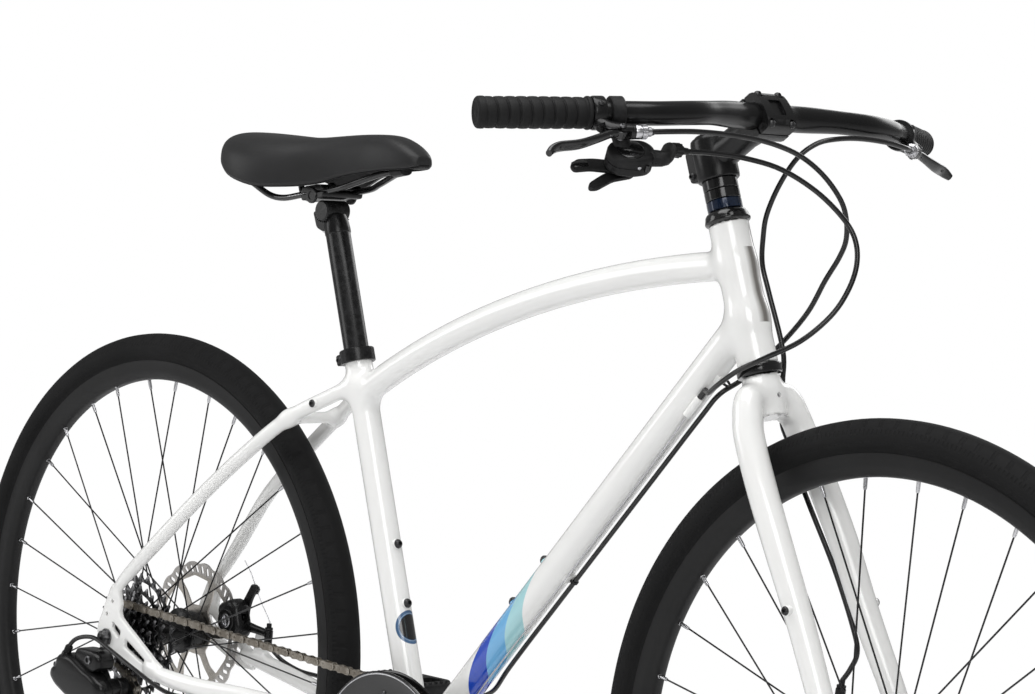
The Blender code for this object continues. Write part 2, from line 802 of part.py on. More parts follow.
shift_ring = bar_at(SHIFT_Y)
pod_outline = [(-0.0230, -0.0060), (-0.0150, -0.0160), (0.0080, -0.0175), (0.0200, -0.0120), (0.0240, 0.0), (0.0180, 0.0120), (0.0, 0.0160), (-0.0180, 0.0120)]
pod_body = loft(
    [
        [in_pod(p * k, q * k, r) for p, q in pod_outline]
        for k, r in ((0.82, -0.0105), (1.0, -0.0075), (1.0, 0.0060), (0.80, 0.0095))
    ]
)
node(
    "shifter_body",
    pod_body,
    add=[
        rod(shift_ring - R_ALONG * 0.0062, shift_ring + R_ALONG * 0.0062, 0.0155, 16),
        tube([shift_ring + R_OUT * 0.006 - R_UP * 0.010, in_pod(0.006, -0.006, 0.004)], [(0.0058, 0.0075), (0.0060, 0.0100)], 10, R_ALONG),
        tube([in_pod(-0.0120, 0.0, 0.0), in_pod(-0.0280, 0.0040, 0.0040), Vector((0.3690, -0.1480, 0.9278))], [0.0080, 0.0072, 0.0070], 8),
        turned(
            Vector((0.3690, -0.1490, 0.9278)),
            Vector((-0.0010, 0.0270, -0.0006)),
            [(0, 0.0045), (0.0040, 0.0045), (0.0042, 0.0066), (0.0145, 0.0066), (0.0150, 0.0040), (0.0260, 0.0034)],
            10,
        ),
        rod(in_pod(0.0, 0.0, -0.0090), in_pod(0.0, 0.0, -0.0195), 0.0035, 12),
    ],
    cut=[rod(shift_ring - R_ALONG * 0.02, shift_ring + R_ALONG * 0.02, bore(BAR_END_RADIUS, 16, GAP), 16)],
)


def paddle(name, path, low, high):
    """A flat finger lever on the shifter's pin, from one height to another below the pod."""
    wide = [(p, q) for p, q in path]
    node(
        name,
        loft([[in_pod(p, q, r) for p, q in wide] for r in (low, high)]),
        cut=[rod(in_pod(0, 0, low - 0.005), in_pod(0, 0, high + 0.005), bore(0.0035, 12), 12)],
        origin=in_pod(0, 0, 0),
    )


paddle(
    "shift_thumb_lever",
    [(-0.0070, -0.0050), (0.0, -0.0085), (0.0300, -0.0130), (0.0460, -0.0120), (0.0540, -0.0040), (0.0520, 0.0040), (0.0360, 0.0020), (0.0100, 0.0060), (0.0, 0.0080), (-0.0070, 0.0050)],
    -0.0143,
    -0.0108,
)
paddle(
    "shift_release_lever",
    [(-0.0060, -0.0050), (0.0, -0.0075), (0.0240, 0.0040), (0.0400, 0.0160), (0.0420, 0.0240), (0.0340, 0.0240), (0.0160, 0.0120), (0.0, 0.0080), (-0.0060, 0.0050)],
    -0.0186,
    -0.0148,
)

# Saddle, rails, cradle and post
HEAD_CENTRE = Vector((-0.2665, 0, 0.8500))
RAIL_Y = 0.022
RAIL_WAY = Vector((0.0904, 0, 0.0135)).normalized()
RAIL_NORMAL = Vector((-RAIL_WAY.z, 0, RAIL_WAY.x))
RAIL_MIDDLE = Vector((-0.2700, 0, 0.8612 + 0.1493 * 0.0554))
node(
    "seatpost",
    rod(on_seat(0.5600), on_seat(0.8490), SEATPOST_RADIUS, 24),
    add=[
        turned(
            HEAD_CENTRE - Y * 0.0165,
            Y,
            [(0, 0.0100), (0.0015, 0.0115), (0.0315, 0.0115), (0.0330, 0.0100)],
            24,
        )
    ],
    roughness=0.35,
)


def on_rails(along, up, y=0.0):
    return RAIL_MIDDLE + RAIL_WAY * along + RAIL_NORMAL * up + Y * y


rail_clear = [
    rod(on_rails(-0.05, 0, side * RAIL_Y), on_rails(0.05, 0, side * RAIL_Y), bore(RAIL_RADIUS, 12), 12)
    for side in (-1, 1)
]
cradle_outline = [(-0.0190, -0.0030), (-0.0140, -0.0075), (0.0170, -0.0075), (0.0200, -0.0030), (0.0200, 0.0030), (0.0150, 0.0070), (-0.0150, 0.0070), (-0.0190, 0.0030)]
node(
    "saddle_cradle",
    loft([[on_rails(p, r, y) for p, r in cradle_outline] for y in (-0.0285, 0.0285)]),
    add=[rod(on_rails(0.001, 0.003), on_rails(0.001, 0.0125), 0.0050, 12)],
    cut=[
        *rail_clear,
        rod(HEAD_CENTRE - Y * 0.05, HEAD_CENTRE + Y * 0.05, bore(0.0115, 24), 24),
    ],
    origin=HEAD_CENTRE,
)
half_rail = [
    (-0.3700, 0.0400, 0.8805),
    (-0.3620, 0.0340, 0.8755),
    (-0.3450, 0.0250, 0.8640),
]
rail_straight = [on_rails(-0.0540, 0, RAIL_Y), on_rails(0.0360, 0, RAIL_Y)]
rail_front = smooth([rail_straight[1], (-0.2120, 0.0180, 0.8815), (-0.1900, 0.0135, 0.8890), (-0.1720, 0.0080, 0.8945), (-0.1650, 0.0, 0.8960)], 2)
half_line = [Vector(p) for p in half_rail] + [rail_straight[0]] + rail_front
rail_line = half_line + [Vector((p.x, -p.y, p.z)) for p in reversed(half_line[:-1])]
node("saddle_rails", cord(rail_line, RAIL_RADIUS, 6), roughness=0.3)

# Saddle sections: x, half width, height of the crown, height of the skirt
SECTIONS = (
    (-0.4010, 0.0360, 0.9240, 0.9080),
    (-0.3975, 0.0500, 0.9290, 0.9000),
    (-0.3870, 0.0630, 0.9325, 0.8955),
    (-0.3680, 0.0715, 0.9322, 0.8850),
    (-0.3450, 0.0740, 0.9312, 0.8780),
    (-0.3200, 0.0705, 0.9300, 0.8735),
    (-0.2950, 0.0625, 0.9292, 0.8740),
    (-0.2700, 0.0510, 0.9297, 0.8762),
    (-0.2450, 0.0400, 0.9318, 0.8810),
    (-0.2200, 0.0320, 0.9338, 0.8888),
    (-0.1930, 0.0265, 0.9350, 0.8938),
    (-0.1650, 0.0235, 0.9342, 0.8972),
    (-0.1430, 0.0205, 0.9275, 0.8990),
    (-0.1280, 0.0160, 0.9190, 0.9010),
    (-0.1210, 0.0095, 0.9130, 0.9040),
)


def saddle_ring(x, half, crown, skirt, hollow):
    """One section of the padded shell: the outside over the crown, then the underside back."""
    outer = []
    for k in range(13):
        a = math.pi * k / 12
        y = half * math.copysign(abs(math.cos(a)) ** 0.70, math.cos(a))
        z = skirt + (crown - skirt) * math.sin(a) ** 0.62
        outer.append(Vector((x, y, z)))
    inner_half = max(half - 0.0085, half * 0.5)
    roof = skirt + max((crown - skirt - 0.0135) * hollow, 0.0006)
    inner = []
    for k in range(9):
        a = math.pi * (1 - k / 8)
        y = inner_half * math.copysign(abs(math.cos(a)) ** 0.70, math.cos(a))
        z = skirt + 0.0002 + (roof - skirt) * math.sin(a) ** 0.62
        inner.append(Vector((x, y, z)))
    return outer + inner


hollows = [0.0, 0.05] + [1.0] * 10 + [0.6, 0.1, 0.0]
node(
    "saddle",
    loft([saddle_ring(*row, hollow) for row, hollow in zip(SECTIONS, hollows)]),
    add=[
        together(
            block(Vector((-0.1650, 0, 0.9110)), (0.0130, 0.0150, 0.0224)),
            *[rod(Vector((-0.3690, y, 0.8844)), Vector((-0.3690, y, 0.9200)), 0.0060, 8) for y in (-0.040, 0.040)],
        )
    ],
    roughness=0.5,
)

# Wheels

SPOKES = 32
RIM_INNER = 0.2945


def around(centre, r, angle, y=0.0):
    """A point of a wheel: the angle runs from the back over the top."""
    return Vector((centre.x - r * math.cos(angle), centre.y + y, centre.z + r * math.sin(angle)))


def wheel_ring(centre, profile, sides=56):
    """A ring about the axle from (y, radius) points, with a corner at the ground."""
    return loft(
        [[around(centre, r, math.pi / 2 + 2 * math.pi * k / sides, y) for y, r in profile] for k in range(sides)],
        looped=True,
    )


half_tyre = TYRE_WIDTH / 2
tyre_profile = [
    (0.0, WHEEL_RADIUS),
    (half_tyre * 0.66, WHEEL_RADIUS - 0.0046),
    (half_tyre, WHEEL_RADIUS - 0.0165),
    (0.0118, 0.3170),
    (-0.0118, 0.3170),
    (-half_tyre, WHEEL_RADIUS - 0.0165),
    (-half_tyre * 0.66, WHEEL_RADIUS - 0.0046),
]
rim_profile = [(0.0118, 0.3166), (0.0120, 0.3040), (0.0055, RIM_INNER), (-0.0055, RIM_INNER), (-0.0120, 0.3040), (-0.0118, 0.3166)]


def valve(centre):
    """The valve stands inside the rim at its lowest point."""
    return rod(
        around(centre, RIM_INNER + 0.002, -math.pi / 2),
        around(centre, RIM_INNER - 0.034, -math.pi / 2),
        0.0040,
        8,
        0.0032,
    )


def spoke_set(centre, first, flange_right, flange_left, hole_radius):
    """Thirty-two spokes crossed three times, each with its nipple at the rim."""
    shapes = []
    for k in range(SPOKES):
        angle = first + 2 * math.pi * k / SPOKES
        left = k % 2 == 1
        ahead = k % 4 < 2
        flange = flange_left if left else flange_right
        inside = -0.0018 if ahead else 0.0018
        hub_angle = angle + math.radians(67.5) * (1 if ahead else -1)
        start = around(centre, hole_radius, hub_angle, flange + (inside if left else -inside))
        end = around(centre, RIM_INNER * math.cos(math.pi / 56) - 2 * GAP, angle, math.copysign(0.0022, flange))
        way = (end - start).normalized()
        side, up = across(way)
        stations = ((start, 0.0012), (end - way * 0.0120, 0.0012), (end, 0.0022))
        shapes.append(loft([ring(p, side, up, r, r, 3) for p, r in stations]))
    return together(*shapes)


def hub(name, centre, profile, first, flange_right, flange_left, hole_radius):
    """The hub shell turns on the axle; the profile lists (y, radius) along it."""
    b = bore(AXLE_RADIUS, 12)
    loop = [(profile[0][0], b), *profile, (profile[-1][0], b)]
    node(
        name,
        turned(centre, Y, loop, 12, looped=True, hint=Z),
        add=[spoke_set(centre, first, flange_right, flange_left, hole_radius)],
        roughness=0.3,
        origin=centre,
    )


def rotor(name, centre, y):
    """A brake disc with a waved edge, six arms and a hub ring."""
    edge = [
        ((ROTOR_RADIUS - (0.0 if k % 2 == 0 else 0.0022)) * math.cos(2 * math.pi * k / 36), (ROTOR_RADIUS - (0.0 if k % 2 == 0 else 0.0022)) * math.sin(2 * math.pi * k / 36))
        for k in range(36)
    ]
    windows = []
    for k in range(6):
        a = 2 * math.pi * k / 6
        corners = [(0.0300, 0.18), (0.0300, 0.80), (0.0625, 0.98), (0.0640, 0.62), (0.0625, 0.26)]
        windows.append(
            plate(
                [(centre.x + r * math.cos(a + t), centre.z + r * math.sin(a + t)) for r, t in corners],
                y - 0.004,
                y + 0.004,
            )
        )
    hole = rod(centre + Y * (y - 0.004), centre + Y * (y + 0.004), 0.0180, 24)
    node(
        name,
        plate([(centre.x + x, centre.z + z) for x, z in edge], y - 0.0009, y + 0.0009),
        cut=[together(*windows, hole)],
        color=SILVER,
        roughness=0.25,
        metallic=1.0,
        origin=centre,
    )


for word, centre in (("front", FRONT_AXLE), ("rear", REAR_AXLE)):
    node(f"{word}_tyre", wheel_ring(centre, tyre_profile), roughness=0.85, origin=centre)
    node(f"{word}_rim", wheel_ring(centre, rim_profile), add=[valve(centre)], roughness=0.35, origin=centre)
rotor("front_rotor", FRONT_AXLE, FRONT_ROTOR_Y)
rotor("rear_rotor", REAR_AXLE, REAR_ROTOR_Y)
hub(
    "front_hub",
    FRONT_AXLE,
    [
        (-0.0496, 0.0085),
        (-0.0330, 0.0120),
        (-0.0325, 0.0260),
        (-0.0285, 0.0260),
        (-0.0270, 0.0125),
        (0.0150, 0.0150),
        (0.0200, 0.0265),
        (0.0240, 0.0265),
        (0.0245, 0.0240),
        (0.0348, 0.0240),
        (0.0349, 0.0176),
        (0.0496, 0.0085),
    ],
    0.244,
    -0.0305,
    0.0220,
    0.0222,
)
hub(
    "rear_hub",
    REAR_AXLE,
    [
        (-0.0255, 0.0160),
        (-0.0210, 0.0265),
        (-0.0170, 0.0265),
        (-0.0150, 0.0170),
        (0.0260, 0.0160),
        (0.0305, 0.0265),
        (0.0345, 0.0265),
        (0.0350, 0.0240),
        (0.0548, 0.0240),
        (0.0549, 0.0176),
        (0.0671, 0.0090),
    ],
    -0.335,
    -0.0190,
    0.0325,
    0.0222,
)


def axle(name, centre, inner, outer, nut_out):
    """A threaded axle with a washer and a domed nut outside each dropout."""
    half = [(outer + 0.0003, AXLE_RADIUS), (outer + 0.0003, 0.0095), (outer + 0.0018, 0.0095), (outer + 0.0018, 0.0082)]
    half += [(nut_out - 0.0030, 0.0082), (nut_out, 0.0050)]
    profile = [(-y, r) for y, r in reversed(half)] + half
    node(name, turned(centre, Y, profile, 12, hint=Z), roughness=0.3, metallic=1.0, origin=centre)


axle("front_axle", FRONT_AXLE, FRONT_DROPOUT_Y, FRONT_DROPOUT_Y + 0.006, 0.0665)
axle("rear_axle", REAR_AXLE, REAR_DROPOUT_Y, REAR_DROPOUT_Y + 0.006, 0.0810)

# Drivetrain


def pitch_radius(teeth):
    return CHAIN_PITCH / (2 * math.sin(math.pi / teeth))


COG_RADIUS = pitch_radius(COG_TEETH[CHAIN_COG])
RING_RADIUS = pitch_radius(RING_TEETH)
PULLEY_RADIUS = pitch_radius(PULLEY_TEETH)
FIRST_COG_Y = CHAIN_Y - COG_PITCH * CHAIN_COG
GUIDE = Vector((-0.5345, 0, 0.2800))
TENSION = Vector((-0.4990, 0, 0.2290))
CAGE_PIVOT = Vector((-0.5300, 0, 0.2900))
CRANK_ANGLE = math.radians(-14)


def toothed(centre, teeth, y, half, lift=0.0025):
    """A toothed disc: one corner at each tooth's tip and one at its root."""
    r = pitch_radius(teeth)
    outline = []
    for k in range(2 * teeth):
        a = math.pi * k / teeth
        reach = r + lift if k % 2 == 0 else r - 0.0040
        outline.append((centre.x + reach * math.cos(a), centre.z + reach * math.sin(a)))
    return plate(outline, y - half, y + half)


cogs = [toothed(REAR_AXLE, teeth, FIRST_COG_Y + COG_PITCH * k, 0.0009) for k, teeth in enumerate(COG_TEETH)]
core_bore = bore(AXLE_RADIUS, 8)
core = [
    (-0.0669, core_bore),
    (-0.0669, 0.0135),
    (FIRST_COG_Y - 0.0008, 0.0175),
    (-0.0292, 0.0175),
    (-0.0262, 0.0150),
    (-0.0262, core_bore),
]
node(
    "cassette",
    turned(REAR_AXLE, Y, core, 8, looped=True, hint=Z),
    add=[together(*cogs)],
    cut=[turned(REAR_AXLE, Y, [(-0.08, core_bore), (-0.02, core_bore)], 8, hint=Z)],
    color=SILVER,
    roughness=0.35,
    metallic=1.0,
    origin=REAR_AXLE,
)


def disc(centre, inner, outer, low, high, sides):
    profile = [(low, inner), (low, outer), (high, outer), (high, inner)]
    return turned(centre, Y, profile, sides, looped=True, hint=Z)


ring_teeth = toothed(BRACKET, RING_TEETH, CHAIN_Y, 0.0009)
ring_bolts = together(
    *[
        rod(
            BRACKET + heading(72 * k + 20) * 0.0550 + Y * -0.0415,
            BRACKET + heading(72 * k + 20) * 0.0550 + Y * -0.0495,
            0.0050,
            8,
        )
        for k in range(5)
    ]
)
node(
    "chainring",
    ring_teeth,
    add=[disc(BRACKET, 0.0450, 0.0980, -0.0433, -0.0413, 32), ring_bolts],
    cut=[rod(BRACKET - Y * 0.052, BRACKET - Y * 0.046, 0.0460, 24)],
    roughness=0.35,
    origin=BRACKET,
)
node(
    "chain_guard",
    disc(BRACKET, 0.0560, 0.0980, -0.0568, -0.0543, 40),
    roughness=0.3,
    origin=BRACKET,
)

CRANK_WAY = Vector((math.cos(CRANK_ANGLE), 0, math.sin(CRANK_ANGLE)))


def crank_arm(side, way, inner):
    """The arm with its pedal pin, from an inner face outwards."""
    base = BRACKET + Y * (side * (inner + 0.0075))
    tip = BRACKET + way * CRANK_LENGTH + Y * (side * (inner + 0.0095))
    arm = tube(
        [base - way * 0.004, base.lerp(tip, 0.12), base.lerp(tip, 0.9), tip + way * 0.004],
        [(0.0060, 0.0130), (0.0068, 0.0135), (0.0058, 0.0105), (0.0050, 0.0095)],
        10,
    )
    pin = rod(tip, tip + Y * (side * 0.0960), PEDAL_PIN_RADIUS, 12)
    eye = rod(tip - Y * (side * 0.0065), tip + Y * (side * 0.0070), 0.0125, 14)
    boss = rod(BRACKET + Y * (side * inner), BRACKET + Y * (side * (inner + 0.0160)), 0.0170, 16)
    return arm, [boss, eye, pin], tip


right_arm, right_more, right_tip = crank_arm(-1, CRANK_WAY, 0.0600)
star = []
for k in range(5):
    for r, t in ((0.0610, -7), (0.0610, 7), (0.0220, 36)):
        a = math.radians(20 + 72 * k + t)
        star.append((BRACKET.x + r * math.cos(a), BRACKET.z + r * math.sin(a)))
node(
    "crank_right",
    right_arm,
    add=[*right_more, plate(star, -0.0540, -0.0502), rod(BRACKET - Y * 0.0610, BRACKET - Y * 0.0460, 0.0170, 16)],
    cut=[rod(BRACKET - Y * 0.0720, BRACKET - Y * 0.04, bore(SPINDLE_RADIUS, 16, GAP), 16)],
    roughness=0.3,
    origin=BRACKET,
)
left_arm, left_more, left_tip = crank_arm(1, -CRANK_WAY, 0.0560)
node(
    "crank_left",
    left_arm,
    add=[*left_more, rod(BRACKET - Y * 0.0715, BRACKET + Y * 0.0600, SPINDLE_RADIUS, 16)],
    roughness=0.3,
    origin=BRACKET,
)


def pedal(name, side, tip):
    """A flat pedal body that turns on the crank's pin."""
    near = tip.y + side * 0.0090
    far = near + side * 0.0840
    outline = [(-0.0480, -0.0060), (-0.0400, -0.0135), (0.0400, -0.0135), (0.0480, -0.0060), (0.0480, 0.0060), (0.0400, 0.0135), (-0.0400, 0.0135), (-0.0480, 0.0060)]
    body = plate([(tip.x + x, tip.z + z) for x, z in outline], min(near, far), max(near, far))
    middle = Vector((tip.x, (near + far) / 2, tip.z))
    gaps = [block(middle + X * x, (0.0220, 0.0640, 0.0400)) for x in (-0.0270, 0.0270)]
    b = bore(PEDAL_PIN_RADIUS, 12)
    node(
        name,
        body,
        cut=[together(*gaps), rod(tip - Y * (side * 0.02), tip + Y * (side * 0.12), b, 12)],
        origin=Vector((tip.x, 0, tip.z)),
    )


pedal("pedal_right", -1, right_tip)
pedal("pedal_left", 1, left_tip)

# Rear derailleur: a body on the hanger, a sprung cage and two toothed pulleys
B_KNUCKLE = Vector((-0.5434, 0, 0.3225))
body_side = [(-0.5560, 0.3260), (-0.5620, 0.3150), (-0.5600, 0.2980), (-0.5480, 0.2840), (-0.5340, 0.2780), (-0.5230, 0.2840), (-0.5260, 0.3010), (-0.5380, 0.3160), (-0.5430, 0.3300)]
node(
    "derailleur_body",
    plate(body_side, -0.0905, -0.0770),
    add=[
        rod(B_KNUCKLE - Y * (PLATE_HIGH + GAP), B_KNUCKLE - Y * 0.0930, 0.0105, 16),
        rod(CAGE_PIVOT - Y * 0.0562, CAGE_PIVOT - Y * 0.0925, 0.0112, 16),
        rod(Vector((-0.5560, -0.0850, 0.3040)), Vector((-0.5740, -0.0905, 0.3085)), 0.0048, 10),
    ],
    roughness=0.35,
)


def cage_plate(low, high, grown_by=0.0):
    """A plate round both pulleys, with a boss at its pivot on the outside."""
    way = (TENSION - GUIDE).normalized()
    side = Vector((-way.z, 0, way.x))
    outline = []
    for centre, start, r in ((GUIDE, 90, 0.0125), (TENSION, -90, 0.0115)):
        for k in range(5):
            a = math.radians(start + 45 * k)
            spot = centre + side * (r * math.sin(a)) + way * (r * math.cos(a))
            outline.append((spot.x, spot.z))
    return plate(outline, low, high)


cage_pins = together(
    *[rod(c - Y * 0.0440, c - Y * 0.0545, 0.0026, 10) for c in (GUIDE, TENSION)]
)
node(
    "derailleur_cage",
    cage_plate(-0.0555, -0.0536),
    add=[cage_plate(-0.0444, -0.0429), cage_pins],
    roughness=0.35,
    origin=CAGE_PIVOT,
)
for name, centre in (("guide_pulley", GUIDE), ("tension_pulley", TENSION)):
    node(
        name,
        toothed(centre, PULLEY_TEETH, CHAIN_Y, 0.0009),
        add=[rod(centre - Y * 0.0449, centre - Y * 0.0531, 0.0062, 10)],
        cut=[rod(centre - Y * 0.040, centre - Y * 0.060, bore(0.0026, 10), 10)],
        origin=centre,
    )


def chain_route():
    """The pitch line: round the cog, both pulleys and the chainring, with its free runs."""
    wheels = [(REAR_AXLE, COG_RADIUS, 1), (GUIDE, PULLEY_RADIUS, -1), (TENSION, PULLEY_RADIUS, 1), (BRACKET, RING_RADIUS, 1)]
    touch = []
    for i, (c1, r1, s1) in enumerate(wheels):
        c2, r2, s2 = wheels[(i + 1) % 4]
        d = c2 - c1
        tilt = math.atan2(d.z, d.x) + math.asin((s1 * r1 - s2 * r2) / math.hypot(d.x, d.z))
        left = Vector((-math.sin(tilt), 0, math.cos(tilt)))
        touch.append((c1 - left * (s1 * r1), c2 - left * (s2 * r2)))
    line = []
    for i, (centre, r, sense) in enumerate(wheels):
        come = touch[i - 1][1] - centre
        leave = touch[i][0] - centre
        start = math.atan2(come.z, come.x)
        turn = (math.atan2(leave.z, leave.x) - start) * sense % (2 * math.pi) * sense
        steps = max(3, round(abs(turn) * r / 0.0200))
        for k in range(steps + 1):
            a = start + turn * k / steps
            line.append(centre + Vector((r * math.cos(a), 0, r * math.sin(a))))
    return line, touch


chain_line, chain_touch = chain_route()


def chain_band(low, high, half):
    """The side plates of the chain as one closed band."""
    rings = []
    count = len(chain_line)
    for i, p in enumerate(chain_line):
        way = (chain_line[(i + 1) % count] - chain_line[i - 1]).normalized()
        up = Vector((-way.z, 0, way.x))
        rings.append([p + up * half + Y * low, p + up * half + Y * high, p - up * half + Y * high, p - up * half + Y * low])
    return loft(rings, looped=True)


def chain_core(start, end):
    """The rollers' row between the side plates, along one free run."""
    way = (end - start).normalized()
    up = Vector((-way.z, 0, way.x))
    middle = (start + end) / 2 + Y * CHAIN_Y
    return block(middle, ((end - start).length - 0.060, 0.0030, 0.0046), way, Y, up)


node(
    "chain",
    chain_band(CHAIN_Y - 0.0035, CHAIN_Y - 0.0013, 0.0040),
    add=[
        chain_band(CHAIN_Y + 0.0013, CHAIN_Y + 0.0035, 0.0040),
        together(chain_core(*chain_touch[2]), chain_core(*chain_touch[3])),
    ],
    color=(0.30, 0.28, 0.26, 1),
    metallic=1.0,
)

# Disc brakes

CALIPER_REACH = ROTOR_RADIUS + 0.0035


def caliper(name, wheel, rotor_y, spot, tangent, inner, outer, stop_shapes, low, high):
    """A body over the rotor's edge; its slot clears the rotor and its pin carries the arm."""
    out = (spot - wheel).normalized()
    body = loft(
        [
            [spot + out * q + tangent * p + Y * y for p, q in ((-0.0220, -0.0150), (0.0220, -0.0150), (0.0240, 0.0120), (0.0140, 0.0200), (-0.0140, 0.0200), (-0.0240, 0.0120))]
            for y in (inner, outer)
        ]
    )
    slot = turned(wheel + Y * (rotor_y - 0.0022), Y, [(0, CALIPER_REACH), (0.0044, CALIPER_REACH)], 36, hint=Z)
    pin = rod(spot + Y * (outer - 0.002), spot + Y * (high + 0.0012), 0.0040, 12)
    cap = rod(spot + Y * (inner + 0.002), spot + Y * (inner - 0.0012), 0.0095, 14)
    node(name, body, add=[pin, cap, *stop_shapes], cut=[slot], roughness=0.4)


def caliper_arm(name, spot, tip, low, high, wheel_word):
    """The arm that the cable pulls, on the caliper's pin."""
    way = (tip - spot).normalized()
    side = Vector((-way.z, 0, way.x))
    long = (tip - spot).length
    outline = []
    for p, q in ((-0.0080, -0.0060), (-0.0080, 0.0060), (0.0, 0.0095), (0.0140, 0.0070), (long, 0.0055), (long + 0.0060, 0.0), (long, -0.0055), (0.0140, -0.0070), (0.0, -0.0095)):
        at = spot + way * p + side * q
        outline.append((at.x, at.z))
    node(
        name,
        plate(outline, low, high),
        add=[rod(tip + Y * (high - 0.001), tip + Y * (high + 0.0035), 0.0042, 8)],
        cut=[rod(spot + Y * (low - 0.01), spot + Y * (high + 0.01), bore(0.0040, 12), 12)],
        origin=spot,
    )


REAR_SPOT = Vector((-0.4720, 0, 0.3690))
REAR_TIP = Vector((-0.4530, 0, 0.4060))
REAR_STOP_LOW = Vector((-0.4173, 0.0625, 0.3490))
REAR_STOP_HIGH = Vector((-0.4165, 0.0625, 0.3730))
caliper(
    "rear_caliper_body",
    REAR_AXLE,
    REAR_ROTOR_Y,
    REAR_SPOT,
    Vector((-0.285, 0, 0.9585)).normalized(),
    0.0435,
    0.0655,
    [
        rod(REAR_STOP_LOW, REAR_STOP_HIGH, 0.0044, 10),
        rod(Vector((-0.4550, 0.0600, 0.3640)), Vector((-0.4180, 0.0620, 0.3600)), 0.0040, 8),
    ],
    0.0659,
    0.0700,
)
caliper_arm("rear_caliper_arm", REAR_SPOT, REAR_TIP, 0.0659, 0.0700, "rear")
FRONT_SPOT = Vector((0.4750, 0, 0.3880))
FRONT_TIP = Vector((0.4370, 0, 0.3830))
FRONT_STOP_LOW = Vector((0.4440, 0.0440, 0.4180))
FRONT_STOP_HIGH = Vector((0.4465, 0.0445, 0.4400))
caliper(
    "front_caliper_body",
    FRONT_AXLE,
    FRONT_ROTOR_Y,
    FRONT_SPOT,
    Vector((0.5, 0, 0.866)).normalized(),
    0.0240,
    0.0458,
    [
        rod(FRONT_STOP_LOW, FRONT_STOP_HIGH, 0.0044, 10),
        rod(Vector((0.4620, 0.0410, 0.4040)), Vector((0.4448, 0.0438, 0.4230)), 0.0038, 8),
    ],
    0.0462,
    0.0498,
)
caliper_arm("front_caliper_arm", FRONT_SPOT, FRONT_TIP, 0.0462, 0.0498, "front")

# Cables and their housings
HOUSING = 0.0025
WIRE = 0.0009
UNDER = -0.0225
node(
    "rear_brake_housing_rear",
    cord(
        [
            on_down(0.2860, UNDER, 0.0040),
            on_down(0.1400, UNDER, 0.0040),
            on_down(0.0600, UNDER, 0.0050),
            on_down(0.0250, -0.0205, 0.0110),
            on_down(0.0000, -0.0120, 0.0180),
            (-0.0220, 0.0222, 0.3560),
            (-0.0550, 0.0245, 0.3180),
            (-0.0810, 0.0270, 0.3045),
            (-0.1150, 0.0275, 0.3025),
            (-0.1500, 0.0270, 0.3040),
            (-0.2050, 0.0310, 0.3125),
            (-0.2600, 0.0430, 0.3205),
            (-0.3200, 0.0545, 0.3265),
            (-0.3806, 0.0605, 0.3330),
            (-0.4050, 0.0618, 0.3385),
            (-0.4150, 0.0624, 0.3440),
            REAR_STOP_LOW - Z * 0.0014,
        ],
        HOUSING,
        6,
    ),
    roughness=0.45,
)
wire_route = [
    on_down(0.2665, -0.0175, -0.0105),
    on_down(0.1000, -0.0175, -0.0105),
    on_down(-0.0250, -0.0175, -0.0105),
    (-0.0500, -0.0105, 0.2760),
    (-0.0620, -0.0110, 0.2620),
    (-0.0810, -0.0120, 0.2550),
    (-0.1030, -0.0160, 0.2590),
    (-0.1500, -0.0265, 0.2755),
    (-0.2050, -0.0305, 0.2870),
    (-0.2600, -0.0415, 0.2955),
    (-0.3200, -0.0540, 0.2990),
    (-0.3700, -0.0640, 0.3000),
]
loop_route = [
    (-0.3705, -0.0641, 0.3000),
    (-0.3950, -0.0710, 0.3005),
    (-0.4250, -0.0790, 0.3040),
    (-0.4700, -0.0840, 0.3200),
    (-0.5150, -0.0865, 0.3370),
    (-0.5350, -0.0880, 0.3430),
    (-0.5560, -0.0890, 0.3435),
    (-0.5760, -0.0905, 0.3365),
    (-0.5850, -0.0915, 0.3230),
    (-0.5820, -0.0915, 0.3125),
    (-0.5748, -0.0907, 0.3087),
]


def varied_cord(points, sizes, sides):
    """A cord whose radius changes along its way."""
    points = [Vector(p) for p in points]
    side = across(points[1] - points[0], Z)[0]
    rings = []
    for i, point in enumerate(points):
        ahead = (points[min(i + 1, len(points) - 1)] - points[max(i - 1, 0)]).normalized()
        side = (side - ahead * side.dot(ahead)).normalized()
        rings.append(ring(point, side, ahead.cross(side), sizes[i], sizes[i], sides))
    return loft(rings)


node(
    "shift_cable_rear",
    varied_cord(wire_route + loop_route, [WIRE] * len(wire_route) + [HOUSING - 0.0002] * len(loop_route), 6),
    roughness=0.45,
)
shift_front = smooth(
    [
        (0.3688, -0.1208, 0.9272),
        (0.3765, -0.0950, 0.9268),
        (0.3880, -0.0650, 0.9238),
        (0.4010, -0.0300, 0.9155),
        (0.4155, 0.0040, 0.8970),
        (0.4300, 0.0280, 0.8730),
        (0.4410, 0.0340, 0.8530),
        (0.4465, 0.0310, 0.8300),
        (0.4465, 0.0200, 0.8056),
        (0.4400, 0.0050, 0.7820),
        (0.4220, -0.0140, 0.7580),
        (0.3920, -0.0285, 0.7400),
        (0.3620, -0.0310, 0.7260),
        (0.3343, -0.0260, 0.7110),
        (0.3140, -0.0170, 0.7010),
        on_down(0.2848, -0.0175, -0.0105),
    ],
    1,
)
node("shift_housing_front", cord(shift_front, HOUSING, 6), roughness=0.45)
